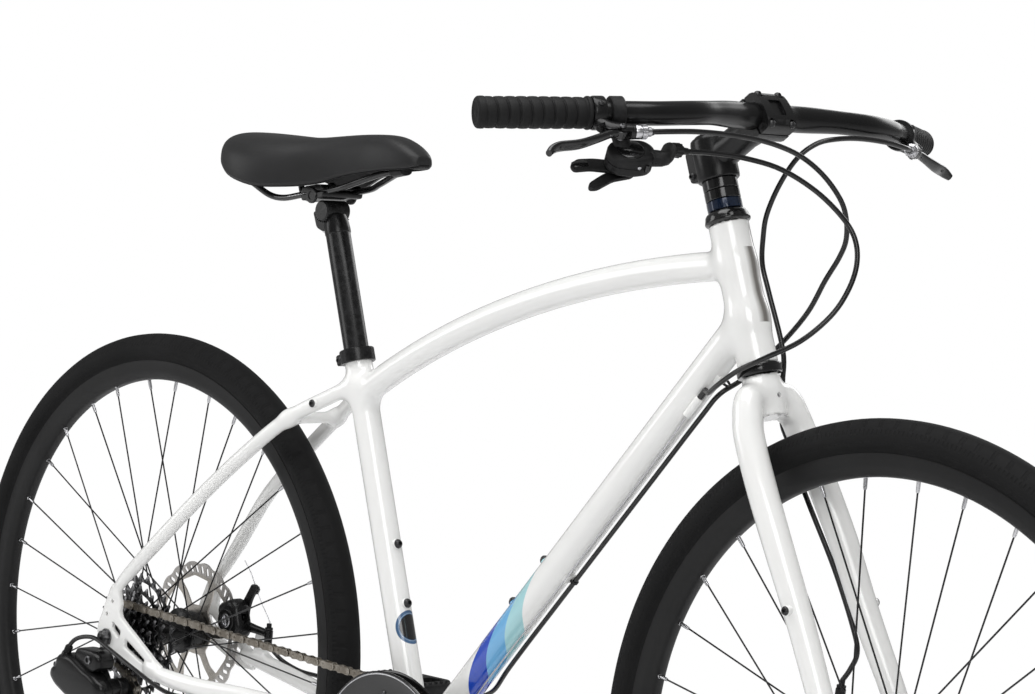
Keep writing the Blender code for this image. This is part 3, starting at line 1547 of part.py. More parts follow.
brake_front = [
    in_frame(-1, -0.0279, 0.0),
    (0.3860, -0.1640, 0.9438),
    (0.3930, -0.1350, 0.9450),
    (0.3990, -0.0950, 0.9438),
    (0.4046, -0.0550, 0.9395),
    (0.4085, -0.0160, 0.9298),
    (0.4146, 0.0120, 0.9135),
    (0.4189, 0.0340, 0.8921),
    (0.4182, 0.0460, 0.8737),
    (0.4147, 0.0520, 0.8530),
    (0.4057, 0.0540, 0.8356),
    (0.3918, 0.0520, 0.8130),
    (0.3713, 0.0530, 0.7813),
    (0.3430, 0.0480, 0.7480),
    (0.3180, 0.0280, 0.7150),
    on_down(0.2905, UNDER, 0.0040),
]
node("rear_brake_housing_front", cord(brake_front, HOUSING, 6), roughness=0.45)
node(
    "front_brake_housing",
    cord(
        [
            in_frame(1, -0.0279, 0.0),
            (0.3870, 0.1680, 0.9435),
            (0.3870, 0.1400, 0.9475),
            (0.3844, 0.1000, 0.9495),
            (0.3800, 0.0700, 0.9475),
            (0.3689, 0.0550, 0.9420),
            (0.3570, 0.0420, 0.9272),
            (0.3430, 0.0350, 0.9014),
            (0.3320, 0.0320, 0.8733),
            (0.3270, 0.0340, 0.8506),
            (0.3260, 0.0360, 0.8257),
            (0.3340, 0.0380, 0.8000),
            (0.3540, 0.0405, 0.7450),
            (0.3560, 0.0405, 0.7150),
            (0.3580, 0.0390, 0.6900),
            (0.3600, 0.0390, 0.6732),
            (0.3684, 0.0400, 0.6560),
            (0.3895, 0.0430, 0.6103),
            (0.4280, 0.0460, 0.5437),
            (0.4540, 0.0475, 0.4898),
            (0.4600, 0.0475, 0.4680),
            (0.4540, 0.0460, 0.4520),
            FRONT_STOP_HIGH + Z * 0.0020,
        ],
        HOUSING,
        6,
    ),
    roughness=0.45,
)
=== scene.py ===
# %% [markdown]
# # City bike
#
# This file dresses a city bike whose solids are already made: its tubes, wheels, gears and controls come from a CAD
# model, each at its real place in metres, with +X forward, +Y to the rider's left and +Z up. Here each of them gets
# the surface that the eye sees: smooth welds, paint, rubber, leather, links and bolts.

import json
import math

import bmesh
import bpy
import numpy as np
from mathutils import Matrix, Vector

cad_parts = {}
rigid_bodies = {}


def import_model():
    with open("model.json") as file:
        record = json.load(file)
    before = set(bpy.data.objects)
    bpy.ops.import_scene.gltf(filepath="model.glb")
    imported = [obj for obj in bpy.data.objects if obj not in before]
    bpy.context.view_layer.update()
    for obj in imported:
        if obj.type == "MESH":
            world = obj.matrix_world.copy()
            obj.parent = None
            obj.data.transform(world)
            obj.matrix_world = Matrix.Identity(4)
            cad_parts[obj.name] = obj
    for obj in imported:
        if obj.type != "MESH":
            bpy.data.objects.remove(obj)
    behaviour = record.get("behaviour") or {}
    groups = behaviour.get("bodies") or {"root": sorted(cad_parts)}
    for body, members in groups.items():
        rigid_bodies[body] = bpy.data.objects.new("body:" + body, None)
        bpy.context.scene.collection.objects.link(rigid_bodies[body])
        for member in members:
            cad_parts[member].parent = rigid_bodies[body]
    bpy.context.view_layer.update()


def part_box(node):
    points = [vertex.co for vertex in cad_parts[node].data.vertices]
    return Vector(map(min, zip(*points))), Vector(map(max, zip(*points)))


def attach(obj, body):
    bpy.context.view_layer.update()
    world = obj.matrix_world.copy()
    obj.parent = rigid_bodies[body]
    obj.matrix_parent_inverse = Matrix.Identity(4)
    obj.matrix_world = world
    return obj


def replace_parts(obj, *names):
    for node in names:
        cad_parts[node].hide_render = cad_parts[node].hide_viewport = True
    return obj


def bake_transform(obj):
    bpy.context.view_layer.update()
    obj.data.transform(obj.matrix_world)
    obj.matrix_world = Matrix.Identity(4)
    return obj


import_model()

# %% [markdown]
# ## The camera
#
# A photograph's camera can be rebuilt from a few known sizes, here the wheels, whose rims are a standard size. The
# turn, tilt and roll below put each rim and tube where the picture has them. A long lens from over three metres away
# keeps the near grip from looking too large.

# %% Camera matrix
IMAGE_WIDTH = 1035
FOCAL_PIXELS = 3031
SENSOR_MM = 36.0


def camera_matrix(turn, tilt, roll, place):
    """A camera at a place, looking back along its turn and tilt, rolled about its view."""
    a, e, r = (math.radians(v) for v in (turn, tilt, roll))
    back = Vector((math.sin(a) * math.cos(e), -math.cos(a) * math.cos(e), math.sin(e)))
    right = (-back).cross(Vector((0, 0, 1))).normalized()
    up = right.cross(-back)
    across = right * math.cos(r) + up * math.sin(r)
    above = up * math.cos(r) - right * math.sin(r)
    matrix = Matrix((across, above, back)).transposed().to_4x4()
    matrix.translation = place
    return matrix

# %% Camera in place
camera_data = bpy.data.cameras.new("photo_camera")
camera_data.sensor_width = SENSOR_MM
camera_data.lens = FOCAL_PIXELS * SENSOR_MM / IMAGE_WIDTH
camera_data.clip_start = 0.05
camera = bpy.data.objects.new("photo_camera", camera_data)
camera.matrix_world = camera_matrix(45.8, 3.108, 2.902, (2.2484, -2.1546, 0.8915))
bpy.context.scene.collection.objects.link(camera)
bpy.context.scene.camera = camera
print("lens:", round(camera_data.lens, 1), "mm")

# %% [markdown]
# ## Shape helpers
#
# Bicycle parts are mostly three kinds of form: something drawn along a line, something turned on a lathe, and a plate
# cut to an outline. Each gets a helper that writes its vertices and faces directly, because bent and tapered tubes
# come out exact that way, with quads that follow the form and take a bevel well.

# %% Directions and meshes
X, Y, Z = Vector((1, 0, 0)), Vector((0, 1, 0)), Vector((0, 0, 1))
TAU = 2 * math.pi


def vec(p):
    return Vector(p)


def make(name, points, faces, sharp=35.0):
    """A mesh object from points and faces, with its normals out and smooth up to a sharp angle in degrees."""
    mesh = bpy.data.meshes.new(name)
    mesh.from_pydata([tuple(p) for p in points], [], faces)
    work = bmesh.new()
    work.from_mesh(mesh)
    bmesh.ops.remove_doubles(work, verts=work.verts, dist=1e-6)
    bmesh.ops.recalc_face_normals(work, faces=work.faces)
    work.to_mesh(mesh)
    work.free()
    mesh.shade_smooth()
    mesh.set_sharp_from_angle(angle=math.radians(sharp))
    piece = bpy.data.objects.new(name, mesh)
    bpy.context.scene.collection.objects.link(piece)
    return piece

# %% Skins and merged shapes
def skin(rings, looped=False, caps=True):
    """Points and faces of a skin over rings that all have as many points."""
    n = len(rings[0])
    points = [p for ring in rings for p in ring]
    faces = []
    rows = len(rings) if looped else len(rings) - 1
    for i in range(rows):
        a, b = i * n, ((i + 1) % len(rings)) * n
        faces += [(a + k, a + (k + 1) % n, b + (k + 1) % n, b + k) for k in range(n)]
    if caps and not looped:
        faces += [tuple(range(n))[::-1], tuple(range(len(points) - n, len(points)))]
    return points, faces


def merged(*shapes):
    """Several (points, faces) shapes as one."""
    points, faces = [], []
    for some, few in shapes:
        start = len(points)
        points += list(some)
        faces += [tuple(start + k for k in face) for face in few]
    return points, faces

# %% Forms along a line
def frames_along(line, hint=Z):
    """For each point of a line its direction and two square directions that don't twist."""
    line = [vec(p) for p in line]
    ways = []
    for k, p in enumerate(line):
        a, b = line[max(k - 1, 0)], line[min(k + 1, len(line) - 1)]
        ways.append((b - a).normalized())
    side = ways[0].cross(hint)
    if side.length < 1e-3:
        side = ways[0].cross(X)
    out = []
    for p, way in zip(line, ways):
        side = (side - way * side.dot(way)).normalized()
        out.append((p, way, side, side.cross(way).normalized()))
    return out


def drawn(line, size, sides=24, hint=Z, caps=True):
    """A tube along a line. The size is one radius, or a list of radii or of (sideways, up) pairs."""
    rings = []
    sizes = size if isinstance(size, (list, tuple)) else [size] * len(line)
    for (p, way, side, up), r in zip(frames_along(line, hint), sizes):
        ra, rb = r if isinstance(r, (list, tuple)) else (r, r)
        rings.append(
            [p + side * (ra * math.cos(TAU * k / sides)) + up * (rb * math.sin(TAU * k / sides)) for k in range(sides)]
        )
    return skin(rings, caps=caps)

# %% Turned forms and plates
def turned(centre, axis, profile, steps=48, looped=False):
    """A lathe form about an axis from (along, radius) pairs."""
    centre, axis = vec(centre), vec(axis).normalized()
    side = axis.cross(Z if abs(axis.z) < 0.9 else X).normalized()
    up = axis.cross(side)
    rings = [
        [
            centre + axis * d + (side * math.cos(TAU * k / steps) + up * math.sin(TAU * k / steps)) * max(r, 1e-5)
            for d, r in profile
        ]
        for k in range(steps)
    ]
    n = len(profile)
    points = [p for ring in rings for p in ring]
    faces = []
    for k in range(steps):
        a, b = k * n, ((k + 1) % steps) * n
        last = n if looped else n - 1
        faces += [(a + i, a + (i + 1) % n, b + (i + 1) % n, b + i) for i in range(last)]
    if not looped:
        faces += [tuple(k * n for k in range(steps)), tuple(k * n + n - 1 for k in range(steps))[::-1]]
    return points, faces


def rod(start, axis, radius, long, steps):
    """A plain round rod from its start."""
    return turned(start, axis, [(0, 0), (0, radius), (long, radius), (long, 0)], steps)


def placed(across, side, up, spot):
    """The matrix that takes (across, side, up) measures to their place about a spot."""
    matrix = Matrix((across, side, up)).transposed().to_4x4()
    matrix.translation = spot
    return matrix


def plated(outline, low, high, place=None):
    """A plate from an outline of (x, z) points, between two y values, or in a place matrix of its own."""
    rings = [[Vector((x, y, z)) for x, z in outline] for y in (low, high)]
    points, faces = skin(rings)
    if place is not None:
        points = [place @ p for p in points]
    return points, faces

# %% Smooth lines
def curve_through(points, each=6):
    """More points on a smooth line through the given ones."""
    pts = [vec(p) for p in points]
    out = []
    for k in range(len(pts) - 1):
        p0 = pts[k - 1] if k else pts[0] * 2 - pts[1]
        p1, p2 = pts[k], pts[k + 1]
        p3 = pts[k + 2] if k + 2 < len(pts) else pts[-1] * 2 - pts[-2]
        for j in range(each):
            t = j / each
            out.append(
                0.5 * (
                    2 * p1 + (p2 - p0) * t + (2 * p0 - 5 * p1 + 4 * p2 - p3) * t**2 + (3 * p1 - p0 - 3 * p2 + p3) * t**3
                )
            )
    return out + [pts[-1]]

# %% Rounded edges and cuts
def bevelled(piece, width, segments=2, angle=30):
    """A small round along the piece's edges, applied at once."""
    modifier = piece.modifiers.new("edge", "BEVEL")
    modifier.width = width
    modifier.segments = segments
    modifier.limit_method = "ANGLE"
    modifier.angle_limit = math.radians(angle)
    modifier.harden_normals = False
    return applied(piece)


def applied(piece):
    """The piece with its modifiers made part of its mesh."""
    graph = bpy.context.evaluated_depsgraph_get()
    mesh = bpy.data.meshes.new_from_object(piece.evaluated_get(graph))
    old = piece.data
    piece.modifiers.clear()
    piece.data = mesh
    bpy.data.meshes.remove(old)
    return piece


def cut_by(piece, *shapes):
    """The piece with closed shapes taken out of it."""
    for shape in shapes:
        tool = make("cutter", *shape)
        modifier = piece.modifiers.new("cut", "BOOLEAN")
        modifier.operation = "DIFFERENCE"
        modifier.object = tool
        applied(piece)
        bpy.data.objects.remove(tool)
    piece.data.shade_smooth()
    piece.data.set_sharp_from_angle(angle=math.radians(35))
    return piece

# %% Outlines
def rounded_outline(corners, radius, steps=4):
    """An outline with each corner replaced by a small arc."""
    pts = [Vector((x, z, 0)) for x, z in corners]
    out = []
    for k, p in enumerate(pts):
        a, b = pts[k - 1] - p, pts[(k + 1) % len(pts)] - p
        r = min(radius, a.length * 0.45, b.length * 0.45)
        start, end = p + a.normalized() * r, p + b.normalized() * r
        for j in range(steps + 1):
            t = j / steps
            q = start * (1 - t) ** 2 + p * (2 * t * (1 - t)) + end * t**2
            out.append((q.x, q.y))
    return out


def around(centre, radius, angle):
    """The (x, z) place on a circle about a point."""
    return centre.x + radius * math.cos(angle), centre.z + radius * math.sin(angle)


def ring_of(centre, radius, steps=24, start=0.0, end=TAU):
    """Points (x, z) of a circle or an arc."""
    return [
        (
            centre[0] + radius * math.cos(start + (end - start) * k / steps),
            centre[1] + radius * math.sin(start + (end - start) * k / steps),
        )
        for k in range(steps if end - start >= TAU - 1e-6 else steps + 1)
    ]


print("helpers ready")

# %% [markdown]
# ## Finishes
#
# No real surface is one even colour. Paint has a faint orange peel, moulded plastic a fine pebble, and cast or
# anodised metal drifts a little in tone. These effects are needed by many finishes, so each is a node group that is
# built once: the numbers that differ are inputs, and what it gives back is a value that changes over the surface.

# %% Node helpers
def new_group(name, inputs, outputs):
    """An empty shader node group with named sockets, each (name, type, default)."""
    group = bpy.data.node_groups.new(name, "ShaderNodeTree")
    for label, kind, default in inputs:
        socket = group.interface.new_socket(label, in_out="INPUT", socket_type=kind)
        socket.default_value = default
    for label, kind in outputs:
        group.interface.new_socket(label, in_out="OUTPUT", socket_type=kind)
    enter, leave = group.nodes.new("NodeGroupInput"), group.nodes.new("NodeGroupOutput")
    return group, enter, leave


def noise(tree, vector, scale, detail=3.0, roughness=0.5):
    """A noise texture; the scale is a number or a socket."""
    node = tree.nodes.new("ShaderNodeTexNoise")
    node.inputs["Detail"].default_value = detail
    node.inputs["Roughness"].default_value = roughness
    tree.links.new(vector, node.inputs["Vector"])
    if isinstance(scale, (int, float)):
        node.inputs["Scale"].default_value = scale
    else:
        tree.links.new(scale, node.inputs["Scale"])
    return node.outputs["Fac"]

# %% Masks and arithmetic
def ranged(tree, value, low, high, to_low=0.0, to_high=1.0):
    """Map Range; the new ends are numbers or sockets."""
    node = tree.nodes.new("ShaderNodeMapRange")
    tree.links.new(value, node.inputs["Value"])
    node.inputs["From Min"].default_value = low
    node.inputs["From Max"].default_value = high
    for label, end in (("To Min", to_low), ("To Max", to_high)):
        if isinstance(end, (int, float)):
            node.inputs[label].default_value = end
        else:
            tree.links.new(end, node.inputs[label])
    return node.outputs["Result"]


def math_node(tree, operation, a, b=None, c=None):
    node = tree.nodes.new("ShaderNodeMath")
    node.operation = operation
    for k, value in enumerate((a, b, c)):
        if value is None:
            continue
        if isinstance(value, (int, float)):
            node.inputs[k].default_value = value
        else:
            tree.links.new(value, node.inputs[k])
    return node.outputs[0]


def times(tree, a, b):
    return math_node(tree, "MULTIPLY", a, b)


def mixed(tree, factor, first, second):
    """A colour between two; each is a socket or a colour."""
    node = tree.nodes.new("ShaderNodeMix")
    node.data_type = "RGBA"
    slots = [s for s in node.inputs if s.type == "RGBA"]
    if isinstance(factor, (int, float)):
        node.inputs["Factor"].default_value = factor
    else:
        tree.links.new(factor, node.inputs["Factor"])
    for slot, value in zip(slots, (first, second)):
        if isinstance(value, tuple):
            slot.default_value = value
        else:
            tree.links.new(value, slot)
    return [s for s in node.outputs if s.type == "RGBA"][0]

# %% Shared node groups
def place_of(tree):
    return tree.nodes.new("ShaderNodeTexCoord").outputs["Object"]


# Grain: a fine noise that moves the roughness between two values and gives a height for a bump.
grain_group, enter, leave = new_group(
    "surface_grain",
    [
        ("Scale", "NodeSocketFloat", 900.0),
        ("Roughness Low", "NodeSocketFloat", 0.3),
        ("Roughness High", "NodeSocketFloat", 0.4),
    ],
    [("Roughness", "NodeSocketFloat"), ("Height", "NodeSocketFloat")],
)
where = place_of(grain_group)
fine = noise(grain_group, where, enter.outputs["Scale"], 2.0, 0.6)
broad = noise(grain_group, where, 14.0, 4.0, 0.6)
both = math_node(grain_group, "MULTIPLY_ADD", fine, 0.35, times(grain_group, broad, 0.65))
rough = ranged(grain_group, both, 0.35, 0.65, enter.outputs["Roughness Low"], enter.outputs["Roughness High"])
grain_group.links.new(rough, leave.inputs["Roughness"])
grain_group.links.new(fine, leave.inputs["Height"])

# Drift: two near tones of one colour, mixed in soft clouds.
drift_group, enter, leave = new_group(
    "tone_drift",
    [
        ("Colour", "NodeSocketColor", (0.5, 0.5, 0.5, 1)),
        ("Other Colour", "NodeSocketColor", (0.4, 0.4, 0.4, 1)),
        ("Scale", "NodeSocketFloat", 12.0),
    ],
    [("Colour", "NodeSocketColor")],
)
clouds = noise(drift_group, place_of(drift_group), enter.outputs["Scale"], 5.0, 0.6)
amount = ranged(drift_group, clouds, 0.35, 0.65)
drift_group.links.new(
    mixed(drift_group, amount, enter.outputs["Colour"], enter.outputs["Other Colour"]), leave.inputs["Colour"]
)

# Wear: convex edges, where the mesh is pointed, show a paler colour in broken patches.
wear_group, enter, leave = new_group(
    "edge_wear",
    [
        ("Colour", "NodeSocketColor", (0.02, 0.02, 0.02, 1)),
        ("Worn Colour", "NodeSocketColor", (0.2, 0.2, 0.2, 1)),
        ("Amount", "NodeSocketFloat", 0.5),
    ],
    [("Colour", "NodeSocketColor"), ("Mask", "NodeSocketFloat")],
)
pointed = wear_group.nodes.new("ShaderNodeNewGeometry").outputs["Pointiness"]
edges = ranged(wear_group, pointed, 0.53, 0.6)
patches = ranged(wear_group, noise(wear_group, place_of(wear_group), 160.0, 3.0, 0.6), 0.42, 0.6)
mask = times(wear_group, times(wear_group, edges, patches), enter.outputs["Amount"])
wear_group.links.new(
    mixed(wear_group, mask, enter.outputs["Colour"], enter.outputs["Worn Colour"]), leave.inputs["Colour"]
)
wear_group.links.new(mask, leave.inputs["Mask"])
print(
    "shared effects:", [g.name for g in bpy.data.node_groups if g.name in ("surface_grain", "tone_drift", "edge_wear")],
)

# %% [markdown]
# One function puts these groups into a material. Its plain numbers, such as the coat, stand on the shader's own
# sockets, and only what varies over the surface is linked.

# %% Finish maker
SHADES = {}


def grey(value):
    return (value, value, value * 1.03, 1)


def add_group(tree, group, **values):
    node = tree.nodes.new("ShaderNodeGroup")
    node.node_tree = group
    for label, value in values.items():
        node.inputs[label.replace("_", " ")].default_value = value
    return node


def finish_material(
    name, colour, other, rough, metallic=0.0, coat=0.0, grain=900.0, bump=0.05, depth=0.00002, worn=None, wear=0.0,
    specular=0.5
):
    """A material with drifting colour, grained roughness, a fine bump and, where asked for, worn edges."""
    material = bpy.data.materials.new(name)
    material.use_nodes = True
    tree = material.node_tree
    shader = tree.nodes["Principled BSDF"]
    shader.inputs["Metallic"].default_value = metallic
    shader.inputs["Coat Weight"].default_value = coat
    shader.inputs["Coat Roughness"].default_value = 0.06
    shader.inputs["Specular IOR Level"].default_value = specular
    drift = add_group(tree, drift_group, Colour=colour, Other_Colour=other)
    tone = drift.outputs["Colour"]
    if worn:
        edge = add_group(tree, wear_group, Worn_Colour=worn, Amount=wear)
        tree.links.new(tone, edge.inputs["Colour"])
        tone = edge.outputs["Colour"]
    tree.links.new(tone, shader.inputs["Base Color"])
    surface = add_group(tree, grain_group, Scale=grain, Roughness_Low=rough[0], Roughness_High=rough[1])
    tree.links.new(surface.outputs["Roughness"], shader.inputs["Roughness"])
    relief = tree.nodes.new("ShaderNodeBump")
    relief.inputs["Strength"].default_value = bump
    relief.inputs["Distance"].default_value = depth
    tree.links.new(surface.outputs["Height"], relief.inputs["Height"])
    tree.links.new(relief.outputs["Normal"], shader.inputs["Normal"])
    SHADES[name] = material
    return material

# %% Black, bright and rubber finishes
finish_material(
    "satin_black", grey(0.005), grey(0.0068), (0.24, 0.28), 0.0, 0.0, 2600.0, 0.1, 0.00002, grey(0.04), 0.4, 0.32,
)
finish_material("gloss_black", grey(0.005), grey(0.0065), (0.12, 0.18), 0.0, 0.25, 400.0, 0.03)
finish_material("deep_black", grey(0.005), grey(0.007), (0.2, 0.28), 0.0, 0.0, 900.0, 0.04, specular=0.3)
finish_material(
    "matt_plastic", grey(0.0065), grey(0.0085), (0.46, 0.58), 0.0, 0.0, 3200.0, 0.5, 0.00004, grey(0.05), 0.4, 0.25,
)
finish_material("gloss_plastic", grey(0.006), grey(0.008), (0.14, 0.22), 0.0, 0.2, 1200.0, 0.05)
finish_material("housing_sheath", grey(0.0055), grey(0.007), (0.2, 0.28), 0.0, 0.1, 1500.0, 0.05)
finish_material("grip_rubber", grey(0.007), grey(0.0095), (0.55, 0.68), 0.0, 0.0, 2400.0, 0.6, 0.00006, None, 0.0, 0.25)
finish_material("rim_black", grey(0.0085), grey(0.0115), (0.4, 0.5), 0.0, 0.0, 1400.0, 0.15, 0.00002, None, 0.0, 0.25)
finish_material("spoke_black", grey(0.02), grey(0.03), (0.25, 0.35), 0.6, 0.0, 1400.0, 0.05)
finish_material("nipple_silver", grey(0.62), grey(0.52), (0.18, 0.3), 1.0, 0.0, 1400.0, 0.05)
finish_material("bright_steel", grey(0.6), grey(0.5), (0.2, 0.34), 1.0, 0.0, 700.0, 0.1)
finish_material("dark_steel", grey(0.1), grey(0.07), (0.28, 0.4), 1.0, 0.0, 900.0, 0.15, 0.00003, grey(0.45), 0.7)
finish_material("bolt_black", grey(0.018), grey(0.03), (0.24, 0.36), 0.3, 0.0, 1200.0, 0.1, 0.00003, grey(0.18), 0.8)
finish_material(
    "chain_steel", (0.26, 0.235, 0.2, 1), (0.16, 0.14, 0.115, 1), (0.26, 0.42), 1.0, 0.0, 500.0, 0.2, 0.00004,
    (0.5, 0.47, 0.42, 1), 0.8,
)
finish_material("cog_steel", grey(0.05), grey(0.03), (0.26, 0.4), 1.0, 0.0, 800.0, 0.15, 0.00004, grey(0.5), 0.9)
finish_material("blue_black", (0.006, 0.012, 0.03, 1), (0.008, 0.02, 0.05, 1), (0.1, 0.16), 0.4, 0.6, 400.0, 0.03)
print("finishes:", len(SHADES))

# %% [markdown]
# ## Studio
#
# Product photographs are lit by large soft lamps, so that a black tube gets one long soft streak and white paint
# rounds off gently. The floor is pale and takes the shadow near the wheels, and it fades into a white backdrop. That
# white is for rays that come from the camera only, so it lights nothing: an even, dimmer glow does that, and shiny
# black parts mirror a dimmer one still, which keeps them deep.

# %% Backdrop
def seen_factor(tree):
    """One for rays from the camera and through glass, and nought for light."""
    path = tree.nodes.new("ShaderNodeLightPath")
    return math_node(tree, "MAXIMUM", path.outputs["Is Camera Ray"], path.outputs["Is Transmission Ray"])


AMBIENT, GLEAM = 0.46, 0.24
world = bpy.data.worlds.new("studio")
bpy.context.scene.world = world
world.use_nodes = True
sky = world.node_tree
backdrop = sky.nodes["Background"]
backdrop.inputs["Color"].default_value = (1, 1, 1, 1)
shiny = sky.nodes.new("ShaderNodeLightPath").outputs["Is Glossy Ray"]
unseen = math_node(sky, "MULTIPLY_ADD", shiny, GLEAM - AMBIENT, AMBIENT)
strength = ranged(sky, seen_factor(sky), 0.0, 1.0, unseen, 1.0)
sky.links.new(strength, backdrop.inputs["Strength"])

# %% Floor
floor_material = bpy.data.materials.new("pale_floor")
floor_material.use_nodes = True
tree = floor_material.node_tree
ground = tree.nodes["Principled BSDF"]
ground.inputs["Base Color"].default_value = (0.88, 0.88, 0.885, 1)
ground.inputs["Specular IOR Level"].default_value = 0.2
surface = add_group(tree, grain_group, Scale=60.0, Roughness_Low=0.75, Roughness_High=0.9)
tree.links.new(surface.outputs["Roughness"], ground.inputs["Roughness"])
white = tree.nodes.new("ShaderNodeEmission")
white.inputs["Color"].default_value = (1, 1, 1, 1)
reach = tree.nodes.new("ShaderNodeVectorMath")
reach.operation = "LENGTH"
tree.links.new(place_of(tree), reach.inputs[0])
fade = ranged(tree, reach.outputs["Value"], 1.0, 1.8)
blend_in = tree.nodes.new("ShaderNodeMixShader")
tree.links.new(times(tree, fade, seen_factor(tree)), blend_in.inputs["Fac"])
tree.links.new(ground.outputs["BSDF"], blend_in.inputs[1])
tree.links.new(white.outputs["Emission"], blend_in.inputs[2])
tree.links.new(blend_in.outputs["Shader"], tree.nodes["Material Output"].inputs["Surface"])
size = 14.0
floor = make("floor", [
    (-size, -size, -0.0005), (size, -size, -0.0005), (size, size, -0.0005), (-size, size, -0.0005),
], [(0, 1, 2, 3)])
floor.data.materials.append(floor_material)

# %% Lamps
def soft_lamp(name, place, target, width, height, power):
    """A rectangular lamp that faces a target."""
    data = bpy.data.lights.new(name, "AREA")
    data.shape = "RECTANGLE"
    data.size, data.size_y = width, height
    data.energy = power
    lamp = bpy.data.objects.new(name, data)
    lamp.location = place
    lamp.rotation_euler = (Vector(target) - Vector(place)).to_track_quat("-Z", "Y").to_euler()
    bpy.context.scene.collection.objects.link(lamp)
    return lamp


soft_lamp("lamp_top", (0.2, -0.6, 3.0), (0, 0, 0.6), 2.6, 1.8, 54)
soft_lamp("lamp_right", (2.6, -2.4, 2.2), (0.1, 0, 0.6), 1.6, 1.6, 31)
soft_lamp("lamp_left", (-2.6, -2.2, 1.6), (-0.1, 0, 0.6), 1.4, 1.8, 19)
soft_lamp("lamp_back", (-0.6, 3.0, 2.0), (0, 0, 0.6), 2.0, 1.2, 16)
bpy.context.scene.view_settings.view_transform = "Standard"

# %% [markdown]
# ## White paint with its bands and badges
#
# The frame is sprayed white, with three blue bands low on the down tube, a grey fading panel on the head tube and a
# round badge on the seat tube. Decals follow the tube that they are on, so each is drawn by its place along that tube
# and its angle round it. The clear coat over everything gives the sharp streaks of light.

# %% Places in the paint
def linear(red, green, blue):
    """A colour as it is picked on a screen, from 0 to 255, in the renderer's linear values."""
    return tuple(
        ((c / 255) / 12.92 if c <= 10 else ((c / 255 + 0.055) / 1.055) ** 2.4)
        for c in (red, green, blue)
    ) + (1,)


def along_of(tree, origin, way):
    """The distance from an origin along a direction, over the surface."""
    shift = tree.nodes.new("ShaderNodeVectorMath")
    shift.operation = "SUBTRACT"
    tree.links.new(place_of(tree), shift.inputs[0])
    shift.inputs[1].default_value = tuple(origin)
    dot = tree.nodes.new("ShaderNodeVectorMath")
    dot.operation = "DOT_PRODUCT"
    tree.links.new(shift.outputs[0], dot.inputs[0])
    dot.inputs[1].default_value = tuple(way)
    return dot.outputs["Value"]


def between(tree, value, low, high, soft=0.0002):
    """One where the value lies between two ends, with a thin soft edge."""
    rise = ranged(tree, value, low - soft, low + soft)
    fall = ranged(tree, value, high - soft, high + soft, 1.0, 0.0)
    return times(tree, rise, fall)

# %% Bands on the down tube
BAND_EDGES = (0.0985, 0.1359, 0.1741, 0.2101)
BAND_COLOURS = (linear(17, 68, 184), linear(106, 174, 222), linear(163, 210, 216))
BAND_SLANT, BAND_CURVE, BAND_SKEW = 2.148, 91.1, 1.87
PAINT_WHITE = (0.87, 0.87, 0.855, 1)


def down_tube_bands():
    """A group that gives a colour with the bands over it."""
    group, enter, leave = new_group(
        "tube_bands", [("Colour", "NodeSocketColor", PAINT_WHITE)], [("Colour", "NodeSocketColor")],
    )
    low, way = Vector((-0.081, 0, 0.2906)), Vector((0.4247, 0, 0.4835)).normalized()
    out = Vector((-way.z, 0, way.x))
    t, n, y = along_of(group, low, way), along_of(group, low, out), along_of(group, low, (0, 1, 0))
    cut = math_node(group, "MULTIPLY_ADD", n, -BAND_SLANT, t)
    cut = math_node(group, "MULTIPLY_ADD", times(group, n, n), -BAND_CURVE, cut)
    cut = math_node(group, "MULTIPLY_ADD", math_node(group, "ABSOLUTE", y), -BAND_SKEW, cut)
    near = between(group, n, -0.0195, 0.0195)
    colour = enter.outputs["Colour"]
    for low_edge, high_edge, band in zip(BAND_EDGES, BAND_EDGES[1:], BAND_COLOURS):
        colour = mixed(group, times(group, between(group, cut, low_edge, high_edge), near), colour, band)
    group.links.new(colour, leave.inputs["Colour"])
    return group

# %% Panel on the head tube
def head_panel():
    """A grey panel on the front of the head tube that fades to white at both sides."""
    group, enter, leave = new_group(
        "head_panel", [("Colour", "NodeSocketColor", PAINT_WHITE)], [("Colour", "NodeSocketColor")],
    )
    up = Vector((-0.3593, 0, 1)).normalized()
    foot, out = Vector((0.62184, 0, 0)), Vector((up.z, 0, -up.x))
    t, n, y = along_of(group, foot, up), along_of(group, foot, out), along_of(group, foot, (0, 1, 0))
    angle = math_node(group, "ABSOLUTE", math_node(group, "ARCTAN2", y, n))
    tone = mixed(group, ranged(group, angle, 0.4, 0.08), PAINT_WHITE, linear(116, 112, 108))
    inside = times(group, between(group, t, 0.8135, 0.888), ranged(group, angle, 0.412, 0.405))
    tall = times(group, inside, ranged(group, n, 0.01, 0.012))
    group.links.new(mixed(group, tall, enter.outputs["Colour"], tone), leave.inputs["Colour"])
    return group

